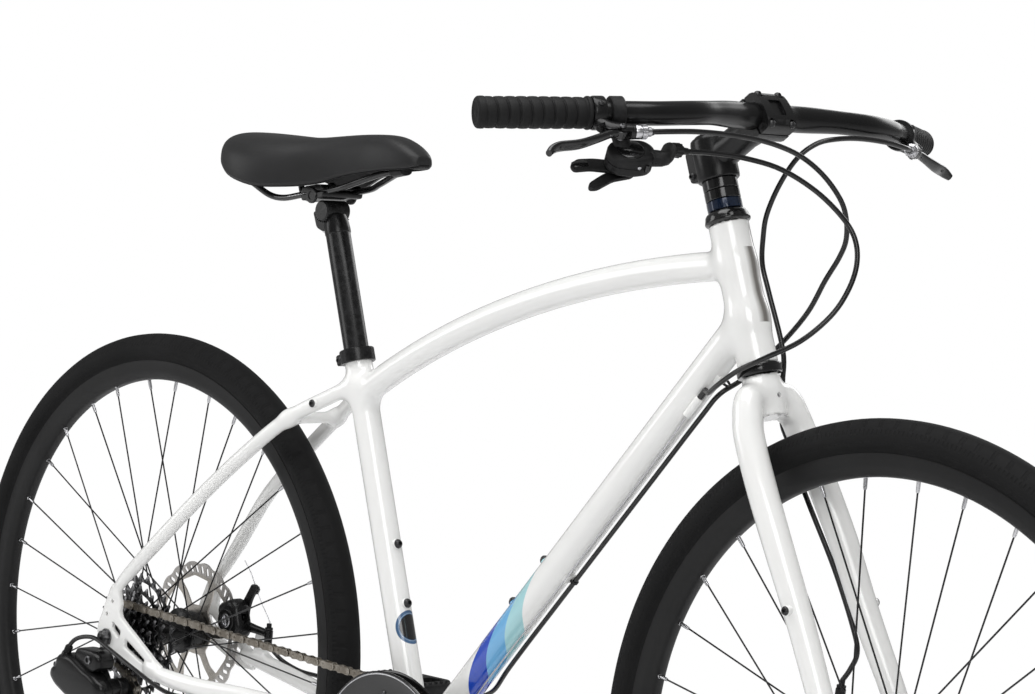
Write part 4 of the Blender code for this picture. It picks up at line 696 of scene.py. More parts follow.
# %% Ring on the seat tube
def seat_badge():
    """A round badge on the front of the seat tube: a black disc in a blue ring with a fine pale line."""
    group, enter, leave = new_group(
        "seat_badge", [("Colour", "NodeSocketColor", PAINT_WHITE)], [("Colour", "NodeSocketColor")],
    )
    up = Vector((-0.3192, 0, 1)).normalized()
    foot, out = Vector((0.00795, 0, 0)), Vector((up.z, 0, -up.x))
    t, n, y = along_of(group, foot, up), along_of(group, foot, out), along_of(group, foot, (0, 1, 0))
    arc = times(group, math_node(group, "SUBTRACT", math_node(group, "ARCTAN2", y, n), 0.12), 0.015)
    rise = math_node(group, "SUBTRACT", t, 0.4313)
    far = math_node(
        group, "SQRT",
        math_node(group, "ADD", math_node(group, "POWER", arc, 2.0), math_node(group, "POWER", rise, 2.0)),
    )
    beads = math_node(group, "SINE", times(group, math_node(group, "ARCTAN2", rise, arc), 64.0))
    line = times(group, between(group, far, 0.0145, 0.0152), ranged(group, beads, -0.2, 0.2))
    colour = mixed(group, between(group, far, -1.0, 0.0182), enter.outputs["Colour"], linear(64, 96, 132))
    colour = mixed(group, line, colour, linear(176, 196, 214))
    colour = mixed(group, between(group, far, -1.0, 0.0138), colour, linear(16, 16, 18))
    near = times(group, between(group, n, 0.0005, 0.017), between(group, y, -0.018, 0.018))
    colour = mixed(group, near, enter.outputs["Colour"], colour)
    group.links.new(colour, leave.inputs["Colour"])
    return group

# %% White paint
paint = finish_material(
    "white_paint", PAINT_WHITE, (0.845, 0.845, 0.83, 1), (0.2, 0.26), 0.0, 1.0, 260.0, 0.02, 0.00002,
)
shader = paint.node_tree.nodes["Principled BSDF"]
shader.inputs["Coat Roughness"].default_value = 0.03
base = shader.inputs["Base Color"].links[0].from_socket
for group in (down_tube_bands(), head_panel(), seat_badge()):
    step = add_group(paint.node_tree, group)
    paint.node_tree.links.new(base, step.inputs["Colour"])
    base = step.outputs["Colour"]
paint.node_tree.links.new(base, shader.inputs["Base Color"])
print("bands:", len(BAND_COLOURS))

# %% [markdown]
# ## The welded frame
#
# On the real frame the tubes are welded, filled and painted, so each joint is a soft hollow with no edge. A Boolean
# union would leave a hard line there. Instead every tube gives its distance to any point in space, the distances are
# joined by a smooth minimum, and a fine mesh of the tubes is drawn onto the surface where that distance is nought.
# The plates that hold the rear axle and the caliper's tab join in as slabs with rounded edges. The result is one skin
# with a fillet at every weld.

# %% The bike's axes
HEAD_SLOPE, HEAD_FOOT = 0.3593, 0.62184
SEAT_SLOPE, SEAT_FOOT = 0.3192, 0.00795
WHEEL_RADIUS, HALF_BASE = 0.348, 0.5425
REAR_AXLE, FRONT_AXLE = Vector((-HALF_BASE, 0, WHEEL_RADIUS)), Vector((HALF_BASE, 0, WHEEL_RADIUS))
BRACKET = Vector((-0.081, 0, 0.278))
HEAD_UP = Vector((-HEAD_SLOPE, 0, 1)).normalized()
SEAT_UP = Vector((-SEAT_SLOPE, 0, 1)).normalized()
HEAD_OUT = Vector((HEAD_UP.z, 0, -HEAD_UP.x))
SEAT_OUT = Vector((SEAT_UP.z, 0, -SEAT_UP.x))


def on_head(z, away=0.0, y=0.0):
    """A point of the steering axis at a height, moved forward of it and sideways."""
    return Vector((HEAD_FOOT - HEAD_SLOPE * z, y, z)) + HEAD_OUT * away


def on_seat(z, away=0.0, y=0.0):
    """A point of the seat tube's axis at a height, moved forward of it and sideways."""
    return Vector((SEAT_FOOT - SEAT_SLOPE * z, y, z)) + SEAT_OUT * away


DOWN_LOW, DOWN_TOP = Vector((-0.081, 0, 0.2906)), Vector((0.3437, 0, 0.7741))
DOWN_WAY = (DOWN_TOP - DOWN_LOW).normalized()
DOWN_OUT = Vector((-DOWN_WAY.z, 0, DOWN_WAY.x))


def on_down(x, away=0.0, y=0.0):
    """A point of the down tube's axis at this x, raised towards the top tube and moved sideways."""
    return DOWN_LOW + DOWN_WAY * ((x - DOWN_LOW.x) / DOWN_WAY.x) + DOWN_OUT * away + Y * y

# %% Curves of the tubes
def bezier(p0, p1, p2, p3, steps):
    out = []
    for k in range(steps + 1):
        t = k / steps
        s = 1 - t
        out.append(p0 * s**3 + p1 * (3 * s * s * t) + p2 * (3 * s * t * t) + p3 * t**3)
    return out


def heading(degrees):
    return Vector((math.cos(math.radians(degrees)), 0, math.sin(math.radians(degrees))))

# %% Distance to a tube
class Tube:
    """A tube along a line, with a (sideways, other) radius at each point, and flat ends where they are asked for."""

    def __init__(self, line, size, flat_low=False, flat_high=False, sides=28):
        self.line = [vec(p) for p in line]
        sizes = size if isinstance(size, list) else [size] * len(line)
        self.size = [r if isinstance(r, tuple) else (r, r) for r in sizes]
        self.flat_low, self.flat_high, self.sides = flat_low, flat_high, sides

    def shape(self):
        return drawn(
            self.line, self.size, self.sides,
            hint=Z if abs(
                self.line[0].x - self.line[-1].x
            ) > 0.002 or abs(self.line[0].z - self.line[-1].z) > 0.002 else X,
        )

    def distance(self, points):
        """How far each point is outside the tube, and which way is out."""
        best = np.full(len(points), 1e9)
        way = np.zeros_like(points)
        line = np.array([tuple(p) for p in self.line])
        size = np.array(self.size)
        for k in range(len(line) - 1):
            a, b = line[k], line[k + 1]
            ab = b - a
            t = np.clip(((points - a) @ ab) / (ab @ ab), 0, 1)
            q = points - (a + t[:, None] * ab)
            r = size[k] + t[:, None] * (size[k + 1] - size[k])
            scale = np.stack([1 / r[:, 1], 1 / r[:, 0], 1 / r[:, 1]], 1)
            f = np.sqrt(((q * scale) ** 2).sum(1)) + 1e-9
            g = q * scale**2 / f[:, None]
            slope = np.sqrt((g**2).sum(1)) + 1e-9
            d = (f - 1) / slope
            near = d < best
            best = np.where(near, d, best)
            way = np.where(near[:, None], g / slope[:, None], way)
        for flat, end, other in ((self.flat_low, line[0], line[1]), (self.flat_high, line[-1], line[-2])):
            if flat:
                n = (end - other) / np.linalg.norm(end - other)
                d = (points - end) @ n
                out = d > best
                best = np.where(out, d, best)
                way = np.where(out[:, None], n, way)
        return best, way

# %% Distance to a plate
class Slab:
    """A plate across the bike with rounded edges and windows, and the distance to it."""

    def __init__(self, outline, windows, low, high, edge=0.0014, fillet=0.006):
        self.outline, self.windows = outline, windows
        self.low, self.high, self.edge, self.fillet = low, high, edge, fillet

    def shape(self):
        piece = make("slab", *plated(self.outline, self.low, self.high))
        if self.windows:
            cut_by(piece, merged(*[plated(w, self.low - 0.002, self.high + 0.002) for w in self.windows]))
        shape = [v.co.copy() for v in piece.data.vertices], [tuple(p.vertices) for p in piece.data.polygons]
        bpy.data.objects.remove(piece)
        return shape

    @staticmethod
    def flat_distance(flat, outline):
        """The signed distance to an outline, below nought inside it, and its direction."""
        corners = np.array(outline)
        best = np.full(len(flat), 1e9)
        way = np.zeros_like(flat)
        inside = np.zeros(len(flat), bool)
        for a, b in zip(corners, np.roll(corners, -1, 0)):
            ab = b - a
            t = np.clip(((flat - a) @ ab) / (ab @ ab + 1e-15), 0, 1)
            q = flat - (a + t[:, None] * ab)
            d = np.sqrt((q**2).sum(1)) + 1e-12
            near = d < best
            best = np.where(near, d, best)
            way = np.where(near[:, None], q / d[:, None], way)
            crosses = (a[1] > flat[:, 1]) != (b[1] > flat[:, 1])
            inside ^= crosses & (flat[:, 0] < ab[0] * (flat[:, 1] - a[1]) / (ab[1] + 1e-15) + a[0])
        sign = np.where(inside, -1.0, 1.0)
        return best * sign, way * sign[:, None]

    def distance(self, points):
        corners = np.array(self.outline)
        low, high = corners.min(0) - 0.02, corners.max(0) + 0.02
        flat = points[:, [0, 2]]
        near = ((flat > low) & (flat < high)).all(1) & (points[:, 1] > self.low - 0.02) & (
            points[:, 1] < self.high + 0.02
        )
        total, out = np.full(len(points), 1.0), np.zeros_like(points)
        out[:, 1] = 1.0
        some = flat[near]
        d2, w2 = self.flat_distance(some, self.outline)
        for window in self.windows:
            hole, way = self.flat_distance(some, window)
            use = -hole > d2
            d2, w2 = np.where(use, -hole, d2), np.where(use[:, None], -way, w2)
        across = points[near, 1] - (self.low + self.high) / 2
        dy = np.abs(across) - (self.high - self.low) / 2 + self.edge
        d2 = d2 + self.edge
        a, b = np.maximum(d2, 0), np.maximum(dy, 0)
        far = np.sqrt(a * a + b * b)
        outside = far > 1e-9
        flat_way = np.where(outside, a / (far + 1e-12), (d2 > dy).astype(float))
        side_way = np.where(outside, b / (far + 1e-12), (d2 <= dy).astype(float))
        total[near] = far + np.minimum(np.maximum(d2, dy), 0) - self.edge
        out[near] = np.stack([w2[:, 0] * flat_way, np.sign(across) * side_way, w2[:, 1] * flat_way], 1)
        return total, out

# %% Welding
def welded(name, tubes, fillet, voxel, rounds=6):
    """One skin over the tubes with soft welds: evened out, then drawn on to the exact surface, some times over."""
    start = make(name, *merged(*[t.shape() for t in tubes]))
    remesh = start.modifiers.new("voxels", "REMESH")
    remesh.mode = "VOXEL"
    remesh.voxel_size = voxel
    piece = applied(start)
    count = len(piece.data.vertices)
    co = np.empty(count * 3, np.float32)
    piece.data.vertices.foreach_get("co", co)
    co = co.reshape(-1, 3).astype(float)
    ends = np.empty(len(piece.data.edges) * 2, np.int32)
    piece.data.edges.foreach_get("vertices", ends)
    first, second = ends.reshape(-1, 2).T
    degree = np.bincount(ends, minlength=count)
    for _ in range(rounds):
        for axis in range(3):
            level = co[:, axis]
            around = np.bincount(first, level[second], count) + np.bincount(second, level[first], count)
            co[:, axis] = level * 0.4 + around / degree * 0.6
        total, way = tubes[0].distance(co)
        for tube in tubes[1:]:
            d, w = tube.distance(co)
            soft = getattr(tube, "fillet", fillet)
            h = np.clip(0.5 + 0.5 * (total - d) / soft, 0, 1)
            total = total * (1 - h) + d * h - soft * h * (1 - h)
            way = way * (1 - h)[:, None] + w * h[:, None]
        way /= np.sqrt((way**2).sum(1))[:, None] + 1e-9
        co -= way * np.clip(total, -0.004, 0.004)[:, None]
    piece.data.vertices.foreach_set("co", co.astype(np.float32).ravel())
    piece.data.update()
    piece.data.shade_smooth()
    print(name, "faces:", len(piece.data.polygons))
    return piece

# %% Lines of the tubes
VOXEL = 0.0018
top_start, top_end = on_seat(0.6555), on_head(0.8234)
top_line = bezier(top_start, top_start + heading(32.9) * 0.187, top_end - heading(4.6) * 0.175, top_end, 22)
RIGHT_STAY = [
    (-0.092, -0.0215, 0.2795), (-0.15, -0.027, 0.2905), (-0.205, -0.0305, 0.301), (-0.26, -0.0415, 0.3095),
    (-0.32, -0.054, 0.313), (-0.3806, -0.064, 0.3135), (-0.43, -0.0695, 0.3165), (-0.464, -0.0705, 0.3215),
]
LEFT_STAY = [
    (-0.092, 0.0215, 0.2795), (-0.15, 0.027, 0.289), (-0.205, 0.0305, 0.2975), (-0.26, 0.0425, 0.3055),
    (-0.32, 0.055, 0.3115), (-0.3806, 0.064, 0.318), (-0.43, 0.0672, 0.3245), (-0.464, 0.066, 0.3285),
]
SEAT_STAY = [
    (-0.2085, -0.0112, 0.664), (-0.2295, -0.018, 0.6523), (-0.2828, -0.0353, 0.6224), (-0.345, -0.0431, 0.5776),
    (-0.4121, -0.0496, 0.523), (-0.4756, -0.0633, 0.46), (-0.514, -0.0698, 0.4215), (-0.533, -0.0708, 0.402),
]


def eased(sizes, count):
    """A list of sizes stretched to as many points."""
    out = []
    for k in range(count):
        s = k * (len(sizes) - 1) / (count - 1)
        i = min(int(s), len(sizes) - 2)
        out.append(tuple(a + (b - a) * (s - i) for a, b in zip(sizes[i], sizes[i + 1])))
    return out

# %% The frame's skin
stay_size = [(0.0065, 0.0105)] * 6 + [(0.0072, 0.01)] * 6 + [(0.006, 0.009), (0.0045, 0.0065)]
right_line, left_line = curve_through(RIGHT_STAY, 4), curve_through(LEFT_STAY, 4)
seat_line = curve_through(SEAT_STAY, 4)
seat_size = eased([(0.008, 0.008)] * 6 + [(0.0066, 0.0072), (0.0034, 0.0062)], len(seat_line))
head_low, head_high = on_head(0.7307), on_head(0.8615)
PLATE_OUTLINE = [
    (-0.5345, 0.4085), (-0.543, 0.3985), (-0.549, 0.387), (-0.554, 0.3755), (-0.5605, 0.362), (-0.5622, 0.353),
    (-0.5592, 0.3435),
    (-0.549, 0.335), *reversed(ring_of((-HALF_BASE, WHEEL_RADIUS), 0.0053, 12, 0, math.pi)),
    (-0.536, 0.3335), (-0.525, 0.3315), (-0.5, 0.3215), (-0.476, 0.313), (-0.45, 0.312), (-0.4452, 0.3285),
    (-0.4873, 0.3543), (-0.508, 0.3665), (-0.5185, 0.3735), (-0.5212, 0.38), (-0.5195, 0.388), (-0.5235, 0.4),
]
WINDOWS = [
    rounded_outline([(-0.5336, 0.3675), (-0.5172, 0.3572), (-0.521, 0.3488), (-0.5345, 0.359)], 0.003),
    rounded_outline([(-0.5086, 0.3508), (-0.4706, 0.3312), (-0.474, 0.3262), (-0.5112, 0.3412)], 0.003),
]
TAB = [(-0.442, 0.324), (-0.448, 0.344), (-0.442, 0.364), (-0.433, 0.364), (-0.43, 0.344), (-0.415, 0.324)]
frame_tubes = [
    Tube([head_low, on_head(0.79), head_high], 0.0195, True, True, 40),
    Tube([BRACKET + Z * 0.002, DOWN_LOW, on_down(0.1), DOWN_TOP], 0.017, sides=36),
    Tube([BRACKET, on_seat(0.45), on_seat(0.7)], 0.015, flat_high=True, sides=36),
    Tube(top_line, 0.0143, sides=32),
    Tube([BRACKET - Y * 0.034, BRACKET, BRACKET + Y * 0.034], 0.02, True, True, 40),
    Tube(right_line, eased(stay_size, len(right_line))),
    Tube(left_line, eased(stay_size, len(left_line))),
    Tube(seat_line, seat_size),
    Tube([Vector((p.x, -p.y, p.z)) for p in seat_line], seat_size),
    Tube([Vector((-0.2828, y, 0.6224)) for y in (-0.034, 0, 0.034)], 0.006, sides=20),
    Slab(PLATE_OUTLINE, WINDOWS, -0.0735, -0.0675),
    Slab(PLATE_OUTLINE, WINDOWS, 0.0675, 0.0735),
    Slab(rounded_outline(TAB, 0.004), [], 0.0655, 0.0712),
]
frame_skin = welded("frame_skin", frame_tubes, 0.013, VOXEL)
EYES = ((-0.5346, 0.3902), (-0.5441, 0.3742))
eye_holes = [rod((x, side * 0.064, z), Y * side, 0.0024, 0.014, 16) for x, z in EYES for side in (-1, 1)]
cut_by(frame_skin, merged(*eye_holes))
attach(frame_skin, "frame")
frame_skin.data.materials.clear()
frame_skin.data.materials.append(SHADES["white_paint"])
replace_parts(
    frame_skin, "head_tube", "top_tube", "down_tube", "seat_tube", "bottom_bracket_shell", "chainstay_right",
    "chainstay_left", "seatstays"
)

# %% [markdown]
# ## Hanger and bosses
#
# A separate hanger carries the rear mechanism, because it is made to bend before the frame does. Threaded bosses for
# bottles and a rack stand on the tubes, each with its black round-headed bolt.

# %% Dressing a piece
def dress(piece, body, slot, shade, *nodes):
    """The piece's finish, the body that it rides on, and the solids that it stands for."""
    piece.data.materials.clear()
    piece.data.materials.append(SHADES[shade] if isinstance(shade, str) else shade)
    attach(piece, body)
    if nodes:
        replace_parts(piece, *nodes)
    return piece


def fitted(name, shape, body, slot, shade, *nodes, sharp=35.0):
    """A new piece from a shape, dressed at once."""
    return dress(make(name, *shape, sharp=sharp), body, slot, shade, *nodes)

# %% Hanger
HANGER = [
    (-0.556, 0.344), (-0.554, 0.326), (-0.55, 0.318), (-0.5434, 0.315), (-0.5368, 0.318), (-0.533, 0.326),
    (-0.532, 0.34), (-0.542, 0.34), (-0.548, 0.338),
]
hanger = make("derailleur_hanger", *plated(rounded_outline(HANGER, 0.004), -0.0737, -0.0673))
bevelled(hanger, 0.001, 3, 40)
dress(hanger, "frame", "frame_paint", "white_paint")

# %% Bolts
def domed_bolt(name, place, axis, radius, height, body="frame", shade="bolt_black", slot="black_paint", socket=True):
    """A round-headed bolt with a six-sided socket."""
    axis = vec(axis).normalized()
    profile = [(-0.003, radius * 0.55), (0.0, radius * 0.98), (0.0002, radius)]
    profile += [(height * math.sin(a), radius * math.cos(a) * 0.98 + radius * 0.02) for a in (0.25, 0.6, 0.95, 1.15)]
    if socket:
        profile += [(height * 0.97, radius * 0.46), (height * 0.25, radius * 0.4), (height * 0.2, 0.0)]
    else:
        profile += [(height, 0.0)]
    return fitted(name, turned(place, axis, profile, 24), body, slot, shade)

# %% Bosses
BOSS_X, BOSS_Z = (0.06, 0.1022), (0.496, 0.435)
bosses = []
for k, x in enumerate(BOSS_X):
    bosses.append(turned(on_down(x), DOWN_OUT, [
        (0.012, 0.006), (0.0172, 0.0056), (0.0184, 0.005), (0.0188, 0.0044), (0.0188, 0),
    ], 24))
    domed_bolt(f"bottle_bolt_down_{k}", on_down(x, 0.0188), DOWN_OUT, 0.0052, 0.0044)
for k, z in enumerate(BOSS_Z):
    bosses.append(turned(on_seat(z), SEAT_OUT, [
        (0.014, 0.006), (0.0152, 0.0056), (0.0164, 0.005), (0.0168, 0.0044), (0.0168, 0),
    ], 24))
    domed_bolt(f"bottle_bolt_seat_{k}", on_seat(z, 0.0168), SEAT_OUT, 0.0052, 0.0044)
for side in (-1, 1):
    place = Vector((-0.245, 0, 0.642))
    way = Y * side
    bosses.append(turned(place, way, [(0.018, 0.0046), (0.0335, 0.0044), (0.0344, 0.0038), (0.0344, 0)], 20))
    domed_bolt(f"rack_bolt_{'right' if side < 0 else 'left'}", place + way * 0.0346, way, 0.0044, 0.0028)
fitted("frame_bosses", merged(*bosses), "frame", "frame_paint", "white_paint")
print("hanger, bosses and their bolts are on")

# %% [markdown]
# ## Fork
#
# The fork has a short crown below the head tube, from which two legs curve out over the tyre and taper to the front
# axle. It is made like the frame, so that the legs flow into the crown. Then come a hole for a mudguard bolt, small
# plates that hold the axle, and a threaded boss halfway down each leg.

# %% Fork skin
LEG = [
    (0.368, 0.004, 0.706), (0.3734, 0.0256, 0.6991), (0.38, 0.0338, 0.682), (0.3885, 0.0386, 0.6621),
    (0.4108, 0.0435, 0.6193), (0.4373, 0.0466, 0.569), (0.4672, 0.0473, 0.5081), (0.5012, 0.0516, 0.4394),
    (0.5342, 0.0562, 0.372),
]
LEG_SIZE = [(r, r) for r in (0.012, 0.014, 0.0145, 0.0145, 0.0145, 0.014, 0.0132, 0.0122, 0.01)]
leg_line = curve_through(LEG, 5)
leg_size = eased(LEG_SIZE, len(leg_line))
crown = Tube([on_head(0.682), on_head(0.7), on_head(0.7196)], 0.018, True, True, 40)
legs = [Tube(leg_line, leg_size, sides=28), Tube([Vector((p.x, -p.y, p.z)) for p in leg_line], leg_size, sides=28)]
fork_skin = welded("fork_skin", [crown, *legs], 0.01, VOXEL)
cut_by(fork_skin, turned(on_head(0.699), HEAD_OUT, [(-0.04, 0), (-0.04, 0.0028), (0.04, 0.0028), (0.04, 0)], 20))
dress(fork_skin, "steering", "frame_paint", "white_paint", "fork")

# %% Fork plates and steerer
DROP = [
    (-0.013, 0.024), (-0.016, 0.002), (-0.013, -0.012), (-0.0054, -0.015),
    *reversed(ring_of((0, 0), 0.0054, 12, 0, math.pi)), (0.0054, -0.015), (0.013, -0.012), (0.016, 0.002),
    (0.004, 0.028),
]
fork_plates = []
for side in (-1, 1):
    low, high = sorted((side * 0.05, side * 0.056))
    fork_plates.append(plated([(FRONT_AXLE.x + x, FRONT_AXLE.z + z) for x, z in DROP], low, high))
fork_plates.append(plated([
    (0.51, 0.438), (0.486, 0.416), (0.479, 0.406), (0.486, 0.402), (0.494, 0.408), (0.522, 0.412),
], 0.0465, 0.0515))
fork_plates.append(plated([
    (0.535, 0.382), (0.5, 0.372), (0.472, 0.372), (0.466, 0.364), (0.476, 0.358), (0.53, 0.356),
], 0.0502, 0.0545))
for side in (-1, 1):
    fork_plates.append(turned((0.4648, 0, 0.5156), Y * side, [
        (0.054, 0.005), (0.0632, 0.0048), (0.0644, 0.0042), (0.0644, 0),
    ], 20))
    domed_bolt(
        f"fork_bolt_{'right' if side < 0 else 'left'}", (0.4648, side * 0.0646, 0.5156), Y * side, 0.0044, 0.0028,
        "steering",
    )
fork_set = bevelled(make("fork_plates", *merged(*fork_plates)), 0.0007, 2, 40)
dress(fork_set, "steering", "frame_paint", "white_paint")
steerer = fitted(
    "steerer", turned(on_head(0.715), HEAD_UP, [(0, 0.0138), (0.228, 0.0138)], 32), "steering", "frame_paint",
    "satin_black",
)
domed_bolt("crown_bolt", on_head(0.699, 0.0155), HEAD_OUT, 0.0027, 0.0006, "steering", "nipple_silver", "bare_alloy")
print("fork ready")

# %% [markdown]
# ## Tyres and rims
#
# A tyre is one cross-section carried round the axle: a flat-topped tread, a shoulder with fine cuts, and a smooth
# sidewall that is pinched into the rim. The cuts are far finer than the mesh, so the material makes them, from the
# angle round the wheel and the distance from the axle. The rim is deep and matt, with a hooked edge over the tyre.

# %% Wheel angle
def wheel_angle(tree):
    """The angle round either axle, and the distance from it; both wheels share it, as they mirror each other."""
    parts = tree.nodes.new("ShaderNodeSeparateXYZ")
    tree.links.new(place_of(tree), parts.inputs[0])
    ahead = math_node(tree, "SUBTRACT", math_node(tree, "ABSOLUTE", parts.outputs["X"]), HALF_BASE)
    above = math_node(tree, "SUBTRACT", parts.outputs["Z"], WHEEL_RADIUS)
    square = math_node(tree, "ADD", times(tree, ahead, ahead), times(tree, above, above))
    return math_node(tree, "ARCTAN2", above, ahead), math_node(tree, "SQRT", square), math_node(
        tree, "ABSOLUTE", parts.outputs["Y"],
    )

# %% Tread
def tread_relief():
    """Slanted cuts on the tyre's shoulder, a row of short narrow grooves just outside them and a few fine mould lines
    on the sidewall.
    """
    group, _, leave = new_group("tyre_tread", [], [("Cuts", "NodeSocketFloat"), ("Lines", "NodeSocketFloat")])
    angle, far, out = wheel_angle(group)
    slant = math_node(group, "MULTIPLY_ADD", out, 28.0, times(group, angle, 58.0))
    saw = math_node(group, "SINE", times(group, slant, 2.0))
    cut = ranged(group, saw, 0.62, 0.8)
    band = between(group, out, 0.0085, 0.0162, 0.0006)
    fine = math_node(group, "SINE", times(group, angle, 420.0))
    fine = times(group, ranged(group, fine, 0.3, 0.6), between(group, out, 0.0166, 0.0184, 0.0003))
    high = ranged(group, far, 0.3255, 0.3265)
    cuts = times(group, math_node(group, "MAXIMUM", times(group, cut, band), fine), high)
    rings = math_node(group, "SINE", times(group, far, 6300.0))
    rings = times(group, ranged(group, rings, 0.5, 0.9), between(group, far, 0.3185, 0.3235, 0.0002))
    group.links.new(cuts, leave.inputs["Cuts"])
    group.links.new(rings, leave.inputs["Lines"])
    return group

# %% Tyre rubber
tyre_rubber = finish_material(
    "tyre_rubber", grey(0.0075), grey(0.01), (0.66, 0.78), 0.0, 0.0, 1800.0, 0.35, 0.00005, None, 0.0, 0.15,
)
tree = tyre_rubber.node_tree
tread = add_group(tree, tread_relief())
relief = tree.nodes.new("ShaderNodeBump")
relief.inputs["Strength"].default_value = 0.8
relief.inputs["Distance"].default_value = 0.0006
height = math_node(tree, "SUBTRACT", times(tree, tread.outputs["Lines"], 0.3), tread.outputs["Cuts"])
tree.links.new(height, relief.inputs["Height"])
shader = tree.nodes["Principled BSDF"]
tree.links.new(shader.inputs["Normal"].links[0].from_socket, relief.inputs["Normal"])
tree.links.new(relief.outputs["Normal"], shader.inputs["Normal"])
base = shader.inputs["Base Color"].links[0].from_socket
# The cuts and short grooves are also coloured a little darker than the rubber round them: this is painted shade in the
# grooves, not a different rubber.
tree.links.new(mixed(tree, tread.outputs["Cuts"], base, grey(0.007)), shader.inputs["Base Color"])

# %% Rings round the axle
def wheel_point(centre, far, angle, y=0.0):
    """A point of a wheel: the angle runs from the back over the top."""
    return Vector((centre.x - far * math.cos(angle), centre.y + y, centre.z + far * math.sin(angle)))


def around_wheel(centre, profile, steps):
    """A closed (y, radius) section carried round an axle."""
    rings = [[wheel_point(centre, r, TAU * k / steps, y) for y, r in profile] for k in range(steps)]
    return skin(rings, looped=True)

# %% Tyres and rims
half_tyre = [(0.0, 0.348), (0.0045, 0.3476), (0.0085, 0.3464), (0.0122, 0.344), (0.0152, 0.3405), (0.0174, 0.3365)]
half_tyre += [
    (0.0187, 0.333), (0.019, 0.33), (0.0186, 0.3268), (0.0172, 0.3238), (0.0152, 0.3212), (0.0132, 0.3194),
    (0.0119, 0.318), (0.0112, 0.316),
]
tyre_section = half_tyre + [(-y, r) for y, r in reversed(half_tyre[1:])]
half_rim = [(0.0095, 0.316), (0.011, 0.3168), (0.0119, 0.3166), (0.0121, 0.315), (0.0119, 0.31), (0.012, 0.306)]
half_rim += [(0.0116, 0.303), (0.0105, 0.2998), (0.0088, 0.297), (0.0062, 0.295), (0.0032, 0.2943), (0.0, 0.2942)]
rim_section = half_rim + [(-y, r) for y, r in reversed(half_rim[:-1])]
WHEEL_STEPS = 200
for word, centre in (("front", FRONT_AXLE), ("rear", REAR_AXLE)):
    tyre = fitted(
        f"{word}_tyre_skin", around_wheel(centre, tyre_section, WHEEL_STEPS), f"{word}_wheel", "tyre_rubber",
        "tyre_rubber", f"{word}_tyre", sharp=50,
    )
    fitted(
        f"{word}_rim_skin", around_wheel(centre, rim_section, WHEEL_STEPS), f"{word}_wheel", "black_alloy", "rim_black",
        f"{word}_rim", sharp=40,
    )
print("tyre section points:", len(tyre_section))

# %% [markdown]
# ## Spokes, nipples, hubs and valves
#
# Each wheel has 32 black spokes, crossed three times so that the hub can drive the rim. A spoke leaves its flange
# with a bend and ends in a bright brass nipple, slotted at the rim, which is the bright tick seen all round the wheel.

# %% Spokes
SPOKES = 32
CROSSING = math.radians(67.5)


def spoke_wheel(word, centre, first, flange_right, flange_left, hole_radius=0.0222):
    spokes, nipples = [], []
    for k in range(SPOKES):
        angle = first + TAU * k / SPOKES
        left, ahead = k % 2 == 1, k % 4 < 2
        flange = flange_left if left else flange_right
        step = (-0.0016 if ahead else 0.0016) * (1 if left else -1)
        start = wheel_point(centre, hole_radius, angle + CROSSING * (1 if ahead else -1), flange + step)
        end = wheel_point(centre, 0.2955, angle, math.copysign(0.0022, flange))
        way = (end - start).normalized()
        head = Y * math.copysign(1, step) * 0.0022
        bend = [start - head * 1.9, start - head * 0.5, start + way * 0.0015, start + way * 0.008, end - way * 0.004]
        spokes.append(drawn(bend, [0.0011, 0.001, 0.001, 0.0009, 0.0009], 8, hint=Y))
        spokes.append(turned(start - head * 1.4, -head, [
            (-0.0006, 0.001), (0.0, 0.0017), (0.0008, 0.0015), (0.0012, 0),
        ], 10))
        nipples.append(
            turned(end, -way, [
                (-0.0002, 0.0026), (0.0012, 0.0026), (0.0016, 0.002), (0.0095, 0.0019), (0.0122, 0.0016),
                (0.0126, 0.001), (0.0126, 0),
            ], 12)
        )
    fitted(f"{word}_spokes", merged(*spokes), f"{word}_wheel", "black_paint", "spoke_black")
    fitted(f"{word}_nipples", merged(*nipples), f"{word}_wheel", "bare_alloy", "nipple_silver")
    stem = [drawn([wheel_point(centre, 0.2955, -math.pi / 2), wheel_point(centre, 0.264, -math.pi / 2)], 0.0034, 20)]
    stem.append(
        turned(
            wheel_point(centre, 0.295, -math.pi / 2), wheel_point(Vector(), -1, -math.pi / 2),
            [(0, 0.005), (0.002, 0.005), (0.0024, 0.0036)], 20,
        )
    )
    stem.append(turned(wheel_point(centre, 0.269, -math.pi / 2), wheel_point(Vector(), -1, -math.pi / 2), [
        (0, 0.0036), (0.0004, 0.004), (0.007, 0.0038), (0.0084, 0.0028), (0.0084, 0),
    ], 20))
    fitted(f"{word}_valve", merged(*stem), f"{word}_wheel", "black_paint", "matt_plastic")

# %% Hubs
def hub_shell(word, centre, profile):
    """The turned hub with its flanges and dust caps, from a closed profile."""
    piece = make(f"{word}_hub_shell", *turned(centre, Y, profile, 56, looped=True))
    bevelled(piece, 0.0005, 2, 35)
    dress(piece, f"{word}_wheel", "black_alloy", "deep_black", f"{word}_hub")

